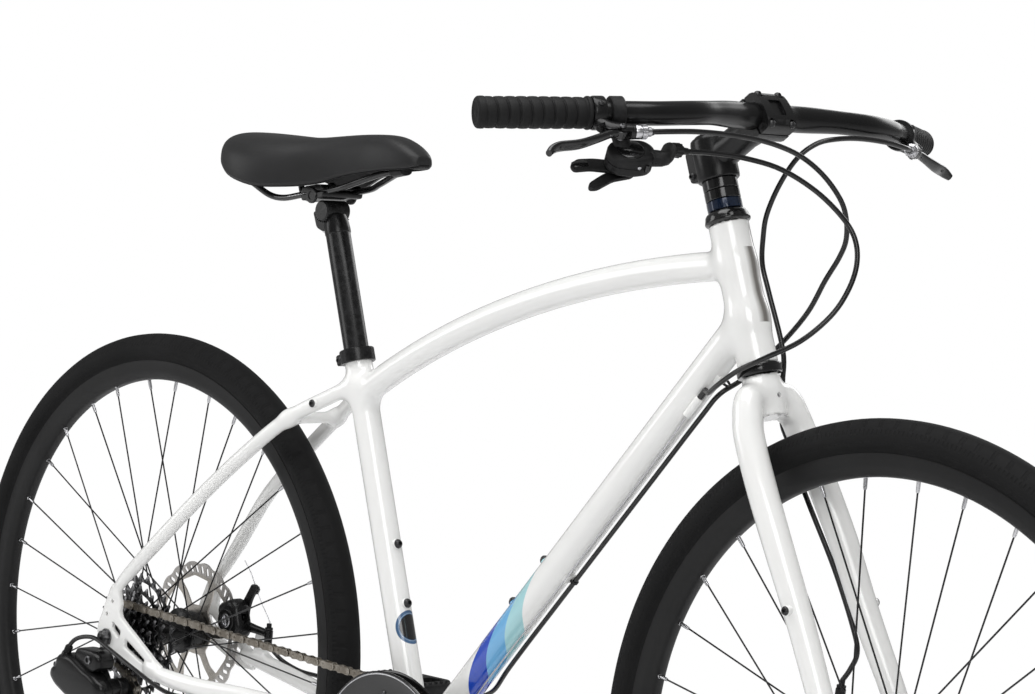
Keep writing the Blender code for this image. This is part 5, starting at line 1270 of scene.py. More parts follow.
# %% Both wheels
spoke_wheel("front", FRONT_AXLE, 0.244, -0.0305, 0.022)
spoke_wheel("rear", REAR_AXLE, -0.335, -0.019, 0.0325)
hub_shell(
    "front",
    FRONT_AXLE,
    [
        (-0.0494, 0.0052), (-0.0494, 0.0084), (-0.047, 0.0088), (-0.046, 0.0102), (-0.04, 0.0108), (-0.034, 0.012),
        (-0.0325, 0.0165), (-0.0324, 0.026), (-0.0288, 0.026), (-0.0285, 0.019), (-0.0262, 0.014), (-0.02, 0.0122),
        (-0.005, 0.0117), (0.01, 0.0122), (0.016, 0.014), (0.0196, 0.0185), (0.02, 0.0265), (0.024, 0.0265),
        (0.0246, 0.0235), (0.0345, 0.0232), (0.0349, 0.0176), (0.038, 0.0176), (0.039, 0.011), (0.0494, 0.0086),
        (0.0494, 0.0052),
    ],
)
hub_shell(
    "rear",
    REAR_AXLE,
    [
        (-0.0253, 0.0052), (-0.0253, 0.0155), (-0.0225, 0.017), (-0.021, 0.02), (-0.0208, 0.0265), (-0.0172, 0.0265),
        (-0.0168, 0.0215), (-0.014, 0.0172), (-0.006, 0.0148), (0.006, 0.014), (0.018, 0.0146), (0.026, 0.0166),
        (0.0296, 0.021), (0.0305, 0.0265), (0.0345, 0.0265), (0.0352, 0.0235), (0.0545, 0.0232), (0.0549, 0.0176),
        (0.058, 0.0176), (0.0592, 0.012), (0.0669, 0.0088), (0.0669, 0.0052),
    ],
)
print("wheels built")

# %% [markdown]
# ## Brake discs and axles
#
# A disc is stamped from steel sheet: a wavy braking ring with slots that clear water, thin slanted arms, and a
# centre with six bolts. The ring keeps a bright brushed face. Domed nuts close the ends of each axle.

# %% Disc steel
def disc_steel():
    """Steel with fine scratches that run round the axle."""
    material = finish_material(
        "disc_steel", (0.52, 0.49, 0.45, 1), (0.44, 0.41, 0.37, 1), (0.26, 0.36), 1.0, 0.0, 900.0, 0.05,
    )
    tree = material.node_tree
    angle, far, _ = wheel_angle(tree)
    parts = tree.nodes.new("ShaderNodeCombineXYZ")
    tree.links.new(times(tree, far, 5200.0), parts.inputs["X"])
    tree.links.new(times(tree, angle, 3.0), parts.inputs["Y"])
    grain = noise(tree, parts.outputs[0], 1.0, 3.0, 0.6)
    shader = tree.nodes["Principled BSDF"]
    tree.links.new(ranged(tree, grain, 0.3, 0.7, 0.2, 0.4), shader.inputs["Roughness"])
    base = shader.inputs["Base Color"].links[0].from_socket
    ring = times(tree, ranged(tree, far, 0.0655, 0.0665), 0.35)
    tree.links.new(mixed(tree, ring, base, grey(0.6)), shader.inputs["Base Color"])
    return material


disc_steel()

# %% Discs
FRONT_DISC_Y, REAR_DISC_Y = 0.036, 0.056
WAVES, WATER_SLOTS = 18, 45


def brake_disc(word, centre, y):
    edge = []
    for k in range(288):
        a = TAU * k / 288
        wave = 0.5 - 0.5 * math.cos(a * WAVES)
        r = 0.08 - 0.0026 * wave**1.6
        edge.append(around(centre, r, a))
    piece = make(f"{word}_disc", *plated(edge, y - 0.0009, y + 0.0009))
    holes = []
    for k in range(6):
        a = TAU * k / 6
        big = [
            (0.03, 0.1), (0.029, 0.45), (0.03, 0.84), (0.048, 0.95), (0.0625, 1.04), (0.064, 0.62), (0.0625, 0.18),
            (0.048, 0.09),
        ]
        outline = [around(centre, r, a + t) for r, t in big]
        holes.append(plated(rounded_outline(outline, 0.004), y - 0.004, y + 0.004))
    for k in range(WATER_SLOTS):
        a = TAU * (k + 0.5) / WATER_SLOTS
        spot = Vector((centre.x + 0.0712 * math.cos(a), 0, centre.z + 0.0712 * math.sin(a)))
        way = Vector((math.cos(a + 0.45), 0, math.sin(a + 0.45)))
        side = Vector((-way.z, 0, way.x))
        slot_line = [
            spot + way * (0.0046 * c) + side * (0.0022 * s)
            for c, s in ((-0.8, -1), (0.8, -1), (1.1, 0), (0.8, 1), (-0.8, 1), (-1.1, 0))
        ]
        holes.append(plated([(p.x, p.z) for p in slot_line], y - 0.004, y + 0.004))
    holes.append(plated(ring_of((centre.x, centre.z), 0.0178, 40), y - 0.004, y + 0.004))
    cut_by(piece, *holes)
    print(word, "disc faces:", len(piece.data.polygons))
    bevelled(piece, 0.00025, 1, 40)
    dress(piece, f"{word}_wheel", "rotor_steel", "disc_steel", f"{word}_rotor")
    bolts = []
    for k in range(6):
        a = TAU * (k + 0.5) / 6
        place = Vector((centre.x + 0.0222 * math.cos(a), y + 0.0009, centre.z + 0.0222 * math.sin(a)))
        bolts.append(turned(place, Y, [
            (-0.001, 0.0036), (0.001, 0.0036), (0.0016, 0.003), (0.0018, 0.0016), (0.0006, 0.0014), (0.0006, 0),
        ], 16))
    fitted(f"{word}_disc_bolts", merged(*bolts), f"{word}_wheel", "bare_alloy", "dark_steel")


brake_disc("front", FRONT_AXLE, FRONT_DISC_Y)
brake_disc("rear", REAR_AXLE, REAR_DISC_Y)

# %% Axle nuts
def axle_nuts(word, centre, outer, nut_out, body):
    shapes = [turned(centre - Y * (outer + 0.004), Y, [(0, 0.0048), (2 * outer + 0.008, 0.0048)], 24)]
    for side in (-1, 1):
        start = centre + Y * side * (outer + 0.0003)
        shapes.append(turned(start, Y * side, [
            (0, 0.005), (0, 0.0095), (0.0012, 0.0096), (0.0016, 0.009), (0.0016, 0.005),
        ], 32, looped=True))
        long = nut_out - outer - 0.0003
        shapes.append(turned(start + Y * side * 0.0016, Y * side, [
            (0, 0.0), (0, 0.008), (long * 0.45, 0.008), (long * 0.62, 0.0074),
        ], 6))
        shapes.append(turned(start + Y * side * 0.0016, Y * side, [
            (long * 0.35, 0.0072), (long * 0.55, 0.007), (long * 0.75, 0.0058), (long * 0.85, 0.003), (long * 0.87, 0),
        ], 32))
    fitted(f"{word}_axle_nuts", merged(*shapes), body, "bare_alloy", "bolt_black", f"{word}_axle")


axle_nuts("front", FRONT_AXLE, 0.0562, 0.0665, "steering")
axle_nuts("rear", REAR_AXLE, 0.0737, 0.0838, "frame")
print("discs and axles on")

# %% [markdown]
# ## Saddle
#
# The saddle is a foam pad in a smooth vinyl cover, wide at the back and slim at the nose, drawn down over a plastic
# base. Its form is a row of cross-sections: each is a rounded arch between the skirt and the crown. Pulling a smooth
# curve through the rows gives the sag along the middle, and a subdivision surface takes the last facets away. The
# cover's grain and its small creases near the back corners are in the material.

# %% Saddle rows
def smooth_rows(rows, each):
    """More rows on smooth curves through rows of numbers."""
    out = []
    for k in range(len(rows) - 1):
        p0, p1 = np.array(rows[max(k - 1, 0)]), np.array(rows[k])
        p2, p3 = np.array(rows[k + 1]), np.array(rows[min(k + 2, len(rows) - 1)])
        for j in range(each):
            t = j / each
            out.append(
                0.5 * (
                    2 * p1 + (p2 - p0) * t + (2 * p0 - 5 * p1 + 4 * p2 - p3) * t**2 + (3 * p1 - p0 - 3 * p2 + p3) * t**3
                )
            )
    return out + [np.array(rows[-1])]


# x, half width, height of the crown, height of the skirt
SADDLE_ROWS = (
    (-0.401, 0.036, 0.924, 0.908), (-0.3975, 0.05, 0.929, 0.9), (-0.387, 0.063, 0.9325, 0.8955),
    (-0.368, 0.0715, 0.9322, 0.885), (-0.345, 0.074, 0.9312, 0.878), (-0.32, 0.0705, 0.93, 0.8735),
    (-0.295, 0.0625, 0.9292, 0.874), (-0.27, 0.051, 0.9297, 0.8762), (-0.245, 0.04, 0.9318, 0.881),
    (-0.22, 0.032, 0.9338, 0.8888), (-0.193, 0.0265, 0.935, 0.8938), (-0.165, 0.0235, 0.9342, 0.8972),
    (-0.143, 0.0205, 0.9275, 0.899), (-0.128, 0.016, 0.919, 0.901), (-0.121, 0.0095, 0.913, 0.904),
)

# %% Saddle sections
def arch(x, half, crown, skirt, count, backwards=False):
    """An arch from one edge of the skirt over the crown to the other."""
    out = []
    for k in range(count):
        a = math.pi * k / (count - 1)
        y = half * math.copysign(abs(math.cos(a)) ** 0.7, math.cos(a))
        out.append(Vector((x, y, skirt + (crown - skirt) * math.sin(a) ** 0.62)))
    return out[::-1] if backwards else out

# %% Saddle cover and base
rows = smooth_rows(SADDLE_ROWS, 3)
cover, lining = [], []
for x, half, crown, skirt in rows:
    wall = min(0.0075, half * 0.4)
    depth = max(
        (crown - skirt - 0.0135), 0.0008,
    ) * min(1, max(0.02, (x + 0.399) * 60)) * min(1, max(0.02, (-0.126 - x) * 40))
    bottom = [Vector((x, half - 0.0012, skirt - 0.0004)), Vector((x, half - wall * 0.55, skirt + 0.0002))]
    other = [Vector((p.x, -p.y, p.z)) for p in reversed(bottom)]
    cover.append(
        arch(x, half, crown, skirt + 0.0008, 25) + other + arch(
            x, half - wall, skirt + depth, skirt + 0.0006, 13, True,
        ) + bottom
    )
    lining.append(
        arch(x, half - wall * 0.5, skirt + depth * 0.99, skirt - 0.0006, 13)
        + arch(x, (half - wall * 0.5) * 0.9, skirt + depth * 0.99 - 0.0022, skirt - 0.0006, 13, True)
    )
vinyl = finish_material(
    "saddle_vinyl", grey(0.0135), grey(0.0185), (0.4, 0.52), 0.0, 0.0, 2100.0, 0.5, 0.00006, None, 0.0, 0.3,
)
tree = vinyl.node_tree
shader = tree.nodes["Principled BSDF"]
creases = noise(tree, place_of(tree), 34.0, 4.0, 0.6)
edge_relief = tree.nodes.new("ShaderNodeBump")
edge_relief.inputs["Strength"].default_value = 0.35
edge_relief.inputs["Distance"].default_value = 0.001
far_back = ranged(tree, along_of(tree, (-0.345, 0, 0), (-1, 0, 0)), 0.0, 0.03, 0.15, 1.0)
tree.links.new(times(tree, ranged(tree, creases, 0.35, 0.75), far_back), edge_relief.inputs["Height"])
tree.links.new(shader.inputs["Normal"].links[0].from_socket, edge_relief.inputs["Normal"])
tree.links.new(edge_relief.outputs["Normal"], shader.inputs["Normal"])
saddle_cover = make("saddle_cover", *skin(cover), sharp=60)
smooth = saddle_cover.modifiers.new("smooth", "SUBSURF")
smooth.levels = smooth.render_levels = 1
applied(saddle_cover)
saddle_cover.data.shade_smooth()
dress(saddle_cover, "saddle", "saddle_cover", "saddle_vinyl", "saddle")
fitted("saddle_base", skin(lining), "saddle", "black_paint", "matt_plastic", sharp=50)
print("saddle rows:", len(rows))

# %% [markdown]
# ## Rails and the parts under the saddle
#
# Two steel rails run from the base's rear corners down to the clamp and up to the nose. They carry a fine scale of
# pale ticks. The base holds them in two moulded sockets at the back and one at the nose.

# %% Places on the rails
RAIL_WAY = Vector((0.0904, 0, 0.0135)).normalized()
RAIL_NORMAL = Vector((-RAIL_WAY.z, 0, RAIL_WAY.x))
RAIL_MIDDLE = Vector((-0.27, 0, 0.8612 + 0.1493 * 0.0554))


def on_rails(along, up, y=0.0):
    return RAIL_MIDDLE + RAIL_WAY * along + RAIL_NORMAL * up + Y * y

# %% Rail finish
def rail_finish():
    """Glossy black steel with a row of short pale ticks on the outer side of the straight part."""
    material = finish_material("rail_black", grey(0.012), grey(0.016), (0.14, 0.22), 0.2, 0.4, 900.0, 0.03)
    tree = material.node_tree
    t = along_of(tree, RAIL_MIDDLE, RAIL_WAY)
    r = along_of(tree, RAIL_MIDDLE, RAIL_NORMAL)
    out = math_node(tree, "ABSOLUTE", along_of(tree, (0, 0, 0), (0, 1, 0)))
    ticks = ranged(tree, math_node(tree, "SINE", times(tree, t, TAU / 0.0026)), 0.2, 0.5)
    inside = times(tree, between(tree, t, -0.044, -0.004), between(tree, r, -0.0004, 0.0012, 0.0001))
    inside = times(tree, inside, ranged(tree, out, 0.0243, 0.0246))
    shader = tree.nodes["Principled BSDF"]
    base = shader.inputs["Base Color"].links[0].from_socket
    tree.links.new(mixed(tree, times(tree, ticks, inside), base, grey(0.62)), shader.inputs["Base Color"])

# %% Rails
rail_finish()
back_part = [(-0.37, 0.04, 0.886), (-0.369, 0.0395, 0.8805), (-0.362, 0.034, 0.8755), (-0.345, 0.025, 0.864)]
straight = [on_rails(-0.054, 0, 0.022), on_rails(-0.02, 0, 0.022), on_rails(0.036, 0, 0.022)]
front_part = [(-0.212, 0.018, 0.8815), (-0.19, 0.0135, 0.889), (-0.172, 0.008, 0.8945), (-0.165, 0.0, 0.896)]
half_line = curve_through([vec(p) for p in back_part] + straight + [vec(p) for p in front_part], 6)
rail_line = half_line + [Vector((p.x, -p.y, p.z)) for p in reversed(half_line[:-1])]
fitted("rail_loop", drawn(rail_line, 0.0035, 20, hint=Y), "saddle", "black_paint", "rail_black", "saddle_rails")
sockets = []
for y in (-0.04, 0.04):
    sockets.append(turned((-0.369, y, 0.8835), Z, [
        (0, 0.0042), (0, 0.0058), (0.004, 0.0064), (0.03, 0.008), (0.03, 0),
    ], 24))
sockets.append(drawn([
    (-0.15, 0, 0.8975), (-0.165, 0, 0.896), (-0.178, 0, 0.901),
], [(0.0085, 0.005), (0.01, 0.0062), (0.006, 0.005)], 24, hint=Z))
sockets.append(drawn([(-0.165, 0, 0.8965), (-0.165, 0, 0.923)], [(0.007, 0.007), (0.008, 0.008)], 16, hint=X))
fitted("rail_sockets", merged(*sockets), "saddle", "black_paint", "matt_plastic")
print("rail points:", len(rail_line))

# %% [markdown]
# ## Seatpost, its clamp and the frame collar
#
# The post is a drawn tube with a forged head. A bolt from below pulls a cradle of two shells round the rails, with a
# round toothed seat that sets the tilt. The frame's collar is a split ring with one bolt behind.

# %% Post and head
HEAD_CENTRE = Vector((-0.2665, 0, 0.85))
post = turned(on_seat(0.56), SEAT_UP, [(0, 0.0122), (0, 0.0136), (0.288, 0.0136), (0.2895, 0.0128), (0.2895, 0)], 64)
fitted("post_tube", post, "seatpost", "black_alloy", "satin_black", "seatpost")
collar_step = turned(on_seat(0.825), SEAT_UP, [
    (0, 0.0136), (0.0006, 0.0142), (0.004, 0.0143), (0.012, 0.0136), (0.02, 0.0118), (0.025, 0),
], 56)
head = turned(HEAD_CENTRE - Y * 0.0165, Y, [
    (0, 0.0), (0, 0.0098), (0.0012, 0.0113), (0.0318, 0.0113), (0.033, 0.0098), (0.033, 0),
], 56)
foot = HEAD_CENTRE + SEAT_OUT * -0.014 - SEAT_UP * 0.0075
block_corners = [(-0.0075, 0.012), (0.012, 0.012), (0.012, -0.014), (0.002, -0.0125), (-0.006, -0.006)]
outline = rounded_outline(
    [((foot + SEAT_OUT * a + SEAT_UP * b).x, (foot + SEAT_OUT * a + SEAT_UP * b).z) for a, b in block_corners], 0.003,
)
lug = bevelled(make("post_lug", *plated(outline, -0.01, 0.01)), 0.0016, 3, 40)
dress(lug, "seatpost", "black_alloy", "satin_black")
fitted("post_head", merged(collar_step, head), "seatpost", "black_alloy", "satin_black")
nut_place = foot + SEAT_OUT * -0.001 - SEAT_UP * 0.0085
fitted("post_nut", turned(nut_place + SEAT_UP * 0.004, -SEAT_UP, [
    (0, 0.0046), (0.006, 0.0046), (0.0072, 0.004), (0.0072, 0.0022), (0.005, 0.002), (0.005, 0),
], 20), "seatpost", "bare_alloy", "bright_steel")

# %% Cradle
lower = rounded_outline([(-0.019, -0.0005), (-0.0175, -0.0075), (0.0185, -0.0075), (0.02, -0.0005)], 0.003)
upper = rounded_outline([
    (-0.0195, 0.0006), (0.02, 0.0006), (0.0175, 0.006), (0.011, 0.0078), (-0.011, 0.0078), (-0.0165, 0.006),
], 0.003)
for name, outline, half in (("cradle_lower", lower, 0.0285), ("cradle_upper", upper, 0.028)):
    piece = make(name, *skin([[on_rails(a, b, y) for a, b in outline] for y in (-half, half)]))
    if name == "cradle_lower":
        cut_by(piece, rod(HEAD_CENTRE - Y * 0.05, Y, 0.0117, 0.1, 48))
        dress(piece, "saddle_cradle", "black_alloy", "satin_black", "saddle_cradle")
    else:
        dress(piece, "saddle_cradle", "black_alloy", "satin_black")
    bevelled(piece, 0.0011, 3, 35)
caps = []
for side in (-1, 1):
    caps.append(turned(on_rails(0.0, -0.0035, side * 0.027), Y * side, [
        (0, 0.0085), (0.0022, 0.0085), (0.003, 0.0078), (0.003, 0.0045), (0.002, 0.004), (0.002, 0),
    ], 32))
for k in range(9):
    a = math.radians(205 + 14 * k)
    place = HEAD_CENTRE + Vector((math.cos(a), 0, math.sin(a))) * 0.0122
    caps.append(drawn([place - Y * 0.016, place + Y * 0.016], 0.0007, 6))
fitted("cradle_caps", merged(*caps), "saddle_cradle", "black_alloy", "satin_black")
domed_bolt("cradle_bolt", on_rails(0.001, 0.0078), RAIL_NORMAL, 0.005, 0.0036, "saddle_cradle")

# %% Frame collar
collar_tube = [
    (0, 0.0153), (0, 0.0184), (0.0008, 0.019), (0.0137, 0.019), (0.0145, 0.0184), (0.0145, 0.0139), (0.0125, 0.0139),
    (0.012, 0.0153),
]
collar = make("collar_ring", *turned(on_seat(0.6885), SEAT_UP, collar_tube, 64, looped=True))
lug_place = on_seat(0.6958, -0.0212)
place = placed(SEAT_OUT, Y, SEAT_UP, lug_place)
wing = rounded_outline([(-0.0052, -0.0058), (-0.0052, 0.0058), (0.006, 0.0066), (0.006, -0.0066)], 0.0028)
ears = []
for low_y, high_y in ((-0.008, -0.0013), (0.0013, 0.008)):
    rings = [[place @ Vector((a, y, b)) for a, b in wing] for y in (low_y, high_y)]
    ears.append(skin(rings))
dress(collar, "frame", "black_alloy", "satin_black", "seat_clamp")
ear_piece = bevelled(make("collar_ears", *merged(*ears)), 0.0008, 2, 40)
dress(ear_piece, "frame", "black_alloy", "satin_black")
domed_bolt("collar_bolt", lug_place - Y * 0.008, -Y, 0.004, 0.0034, "frame", "bolt_black", "black_paint")
fitted(
    "collar_shank",
    turned(lug_place - Y * 0.008, Y, [(0, 0.0024), (0.0195, 0.0024), (0.0202, 0.0018), (0.0202, 0)], 20), "frame",
    "bare_alloy", "dark_steel",
)
print("post, clamp and collar on")

# %% [markdown]
# ## Headset and stem
#
# The headset is two glossy cups pressed into the head tube, with bearings inside. Above it sit three spacers and the
# stem, a forged arm that clamps the steerer with two bolts behind and the bar with four in front. Turned parts come
# from a profile, so the lip of each cup and the small grooves between the spacers are points of it.

# %% Headset cups and spacers
cup_high = [
    (0, 0.0146), (0, 0.02), (0.0008, 0.0212), (0.0018, 0.022), (0.003, 0.0222), (0.004, 0.0219), (0.006, 0.0213),
    (0.009, 0.0206),
]
cup_high += [(0.011, 0.0192), (0.0118, 0.0175), (0.0119, 0.0146)]
fitted(
    "cup_high", turned(on_head(0.8615) + HEAD_UP * 0.0003, HEAD_UP, cup_high, 72, looped=True), "frame", "black_alloy",
    "gloss_black", "headset_cup_upper",
)
cup_low = [
    (0, 0.0146), (0, 0.02), (0.0008, 0.0213), (0.002, 0.022), (0.0036, 0.0221), (0.006, 0.0216), (0.0085, 0.0217),
]
cup_low += [(0.0098, 0.0212), (0.01, 0.02), (0.01, 0.0146)]
fitted(
    "cup_low", turned(on_head(0.7307) - HEAD_UP * 0.0003, -HEAD_UP, cup_low, 72, looped=True), "frame", "black_alloy",
    "gloss_black", "headset_cup_lower",
)
spacer_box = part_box("headset_spacers")
spacer_foot = on_head(0.8738)
spacer_long = (on_head(0.9028) - spacer_foot).length
each = spacer_long / 3
for k, shade in enumerate(("blue_black", "gloss_black", "gloss_black")):
    low = spacer_foot + HEAD_UP * (each * k)
    profile = [
        (0.0003, 0.0146), (0.0003, 0.0165), (0.0008, 0.017), (each - 0.0008, 0.017), (each - 0.0003, 0.0165),
        (each - 0.0003, 0.0146),
    ]
    fitted(
        f"spacer_{k + 1}", turned(low, HEAD_UP, profile, 64, looped=True), "steering", "black_alloy", shade,
        *(("headset_spacers",) if k == 0 else ()),
    )
BAR_CENTRE = Vector((0.3525, 0, 0.9643))
STEM_WAY = Vector((0.81, 0, 0.585)).normalized()
STEM_NORMAL = Vector((-STEM_WAY.z, 0, STEM_WAY.x))
print("spacers:", [round(v, 4) for v in (*spacer_box[0], *spacer_box[1])])

# %% Stem
def across_bar(outline, half):
    """An outline in the stem's direction and normal about the bar's centre, as wide as twice the half."""
    return skin([[BAR_CENTRE + STEM_WAY * d + STEM_NORMAL * n + Y * y for d, n in outline] for y in (-half, half)])


clamp = make(
    "stem_clamp",
    *turned(
        on_head(0.9028),
        HEAD_UP,
        [
            (0, 0.0148), (0, 0.0192), (0.001, 0.0202), (0.004, 0.0206), (0.038, 0.0206), (0.041, 0.02),
            (0.0424, 0.0186), (0.0424, 0.0172), (0.0432, 0.0168), (0.045, 0.015), (0.0456, 0.009), (0.0452, 0.006),
            (0.044, 0.0055), (0.044, 0),
        ],
        64,
    ),
)
dress(clamp, "steering", "black_alloy", "satin_black", "stem_body")
fitted("stem_neck", drawn([
    on_head(0.9225), on_head(0.9225).lerp(BAR_CENTRE, 0.3), on_head(0.9225).lerp(BAR_CENTRE, 0.6),
    BAR_CENTRE - STEM_WAY * 0.015,
], [(0.016, 0.0178), (0.015, 0.0156), (0.0156, 0.015), (0.019, 0.0162)], 40), "steering", "black_alloy", "satin_black")
arc = [(0.013 * math.cos(a), 0.013 * math.sin(a)) for a in [math.radians(-87 + 174 * k / 24) for k in range(25)]]
front = [
    (0.0007, 0.0202), (0.0085, 0.0202), (0.012, 0.0188), (0.0146, 0.015), (0.016, 0.0095), (0.0166, 0.004),
    (0.0167, 0.0),
]
front += [(d, -n) for d, n in reversed(front[:-1])] + [(0.0007, -0.013)]
face = make("stem_face", *across_bar(front + arc + [(0.0007, 0.013)], 0.02))
windows = []
for y in (-0.0142, 0.0142):
    for n in (-0.0165, 0.0165):
        windows.append(rod(BAR_CENTRE + STEM_WAY * 0.0112 + STEM_NORMAL * n + Y * y, STEM_WAY, 0.0042, 0.02, 20))
cut_by(face, merged(*windows), across_bar([
    (0.0138, -0.0085), (0.0138, 0.0085), (0.03, 0.0085), (0.03, -0.0085),
], 0.0085))
bevelled(face, 0.0011, 3, 35)
dress(face, "steering", "black_alloy", "satin_black", "stem_faceplate")
rear = [(-d, n) for d, n in front]
back = make("stem_back", *across_bar(rear + [(-d, n) for d, n in arc] + [(-0.0007, 0.013)], 0.021))
bevelled(back, 0.0012, 3, 35)
dress(back, "steering", "black_alloy", "satin_black")
for k, (n, y) in enumerate(((-0.0165, -0.0142), (-0.0165, 0.0142), (0.0165, -0.0142), (0.0165, 0.0142))):
    domed_bolt(
        f"face_bolt_{k}", BAR_CENTRE + STEM_WAY * 0.0118 + STEM_NORMAL * n + Y * y, STEM_WAY, 0.0039, 0.004, "steering",
    )
place = placed(HEAD_OUT, Y, HEAD_UP, on_head(0.9215, -0.0205))
ears = []
for low_y, high_y in ((-0.0105, -0.0012), (0.0012, 0.0105)):
    outline = rounded_outline([(-0.0068, -0.0155), (-0.0068, 0.0155), (0.0075, 0.0165), (0.0075, -0.0165)], 0.004)
    ears.append(skin([[place @ Vector((a, y, b)) for a, b in outline] for y in (low_y, high_y)]))
ears_piece = bevelled(make("stem_ears", *merged(*ears)), 0.0012, 3, 40)
dress(ears_piece, "steering", "black_alloy", "satin_black")
for k, z in enumerate((0.913, 0.9305)):
    way = -1 if k == 0 else 1
    spot = on_head(z, -0.0232)
    domed_bolt(f"stem_bolt_{k}", spot + Y * way * 0.0104, Y * way, 0.0038, 0.003, "steering")
domed_bolt("stem_cap_bolt", on_head(0.9028) + HEAD_UP * 0.0442, HEAD_UP, 0.0042, 0.0022, "steering")
print("stem on")

# %% [markdown]
# ## Handlebar and grips
#
# The bar is one tube, thick at the clamp and thinner to the ends, swept back a little. The rubber grips are
# swollen between narrow grooves. Real grooves are modelled, as they break the outline and catch light: the grip is a
# fine grid wrapped round the bar, and each point moves out by a wave whose phase depends on its angle.

# %% Handlebar
def bar_at(y):
    """The straight outer part of the handlebar's axis."""
    s = (abs(y) - 0.165) / 0.1501
    return Vector((0.3665 - 0.0788 * s, y, 0.9595 - 0.008 * s))


bend = curve_through(
    [
        bar_at(0.19), bar_at(0.165), (0.3735, 0.125, 0.9622), (0.364, 0.085, 0.964), (0.3525, 0.042, 0.9643),
        (0.3525, 0.021, 0.9643), (0.3525, 0.0, 0.9643),
    ],
    7
)
left_half = [bar_at(0.3128), bar_at(0.24)] + bend
bar_line = left_half + [Vector((p.x, -p.y, p.z)) for p in reversed(left_half[:-1])]


def bar_radius(y):
    share = min(max((abs(y) - 0.045) / 0.055, 0.0), 1.0)
    share = share * share * (3 - 2 * share)
    return 0.0127 + (0.0111 - 0.0127) * share


bar = fitted(
    "bar_tube", drawn(bar_line, [bar_radius(p.y) for p in bar_line], 48), "steering", "black_alloy", "satin_black",
    "handlebar",
)

# %% Grip shape
def grip_frame(side):
    """Along the bar to its end, towards the lever, and their normal, for side -1 (right) or 1 (left)."""
    along = (bar_at(side * 0.3) - bar_at(side * 0.17)).normalized()
    out = Vector((0.81, 0, -0.586))
    out = (out - along * out.dot(along)).normalized()
    return along, out, along.cross(out) * -side


def grip_radius(d, a):
    """The grip's radius at a distance from its inner end and an angle round it."""
    if d < 0.0036:
        return 0.0153 - 0.0005 * (abs(d - 0.0018) / 0.0018) ** 3
    if d < 0.005:
        return 0.0138
    if d > 0.0985:
        t = (d - 0.0985) / 0.0075
        return 0.0139 + 0.0008 * (1 - min(1, abs(t - 0.3) / 0.7) ** 2) - 0.0018 * max(0, t - 0.7) ** 2 / 0.09
    body = 0.01385 + 0.00035 * math.sin(math.pi * (d - 0.005) / 0.0935)
    fade = min(1, (d - 0.005) / 0.002, (0.0985 - d) / 0.002)
    phase = ((d - 0.005 + 0.0014 * math.cos(a)) / 0.0105) % 1
    gap = min(phase, 1 - phase) * 0.0105
    rib = 0.00045 * (1 - (2 * phase - 1) ** 2) - 0.001 * math.exp(-((gap / 0.0009) ** 2))
    return body + rib * max(0, fade)

# %% Grips
GRIP_LONG, GRIP_STEP = 0.106, 0.00035
for side, word in ((-1, "right"), (1, "left")):
    along, out, up = grip_frame(side)
    start = bar_at(side * 0.3151) - along * GRIP_LONG
    rounds = 144
    stations = [k * GRIP_STEP for k in range(int(GRIP_LONG / GRIP_STEP) + 1)]
    rings = [
        [
            start + out * 0.0114 * math.cos(TAU * k / rounds) + up * 0.0114 * math.sin(TAU * k / rounds)
            for k in range(rounds)
        ]
    ]
    for d in stations:
        rings.append(
            [
                start + along * d + (
                    out * math.cos(TAU * k / rounds) + up * math.sin(TAU * k / rounds)
                ) * grip_radius(d, TAU * k / rounds)
                for k in range(rounds)
            ]
        )
    for d, r in (
        (GRIP_LONG, 0.01), (GRIP_LONG - 0.0012, 0.0088), (GRIP_LONG - 0.0012, 0.004), (GRIP_LONG - 0.0004, 0.003),
    ):
        rings.append(
            [
                start + along * d + (out * math.cos(TAU * k / rounds) + up * math.sin(TAU * k / rounds)) * r
                for k in range(rounds)
            ]
        )
    grip = fitted(f"grip_skin_{word}", skin(rings), "steering", "grip_rubber", "grip_rubber", f"grip_{word}", sharp=55)
print("grips:", len(stations), "rings")

# %% [markdown]
# ## Brake levers
#
# Each lever turns in a fork at the end of a short perch, which is clamped round the bar beside the grip. The perch
# is cast and satin black, the blade is forged and glossy, and a bright barrel takes the cable's housing. The blade
# is drawn along its curve with a flat oval section, so that the finger side stays wide and the edges stay thin.

# %% Places round a lever
LEVER_Y, PIVOT_OUT, RING_Y = 0.2, 0.026, 0.2148


def in_frame(side, p, q, r=0.0):
    """A point from the lever's pivot: along the bar, outwards from it, and up."""
    along, out, up = grip_frame(side)
    return bar_at(side * LEVER_Y) + out * (PIVOT_OUT + q) + along * p + up * r


def boxed(centre, size, u=X, v=Y, w=Z):
    """A box about a centre along three directions."""
    rings = []
    for s in (-0.5, 0.5):
        rings.append(
            [
                centre + w * size[2] * s + u * size[0] * a + v * size[1] * b
                for a, b in ((-0.5, -0.5), (0.5, -0.5), (0.5, 0.5), (-0.5, 0.5))
            ]
        )
    return skin(rings)

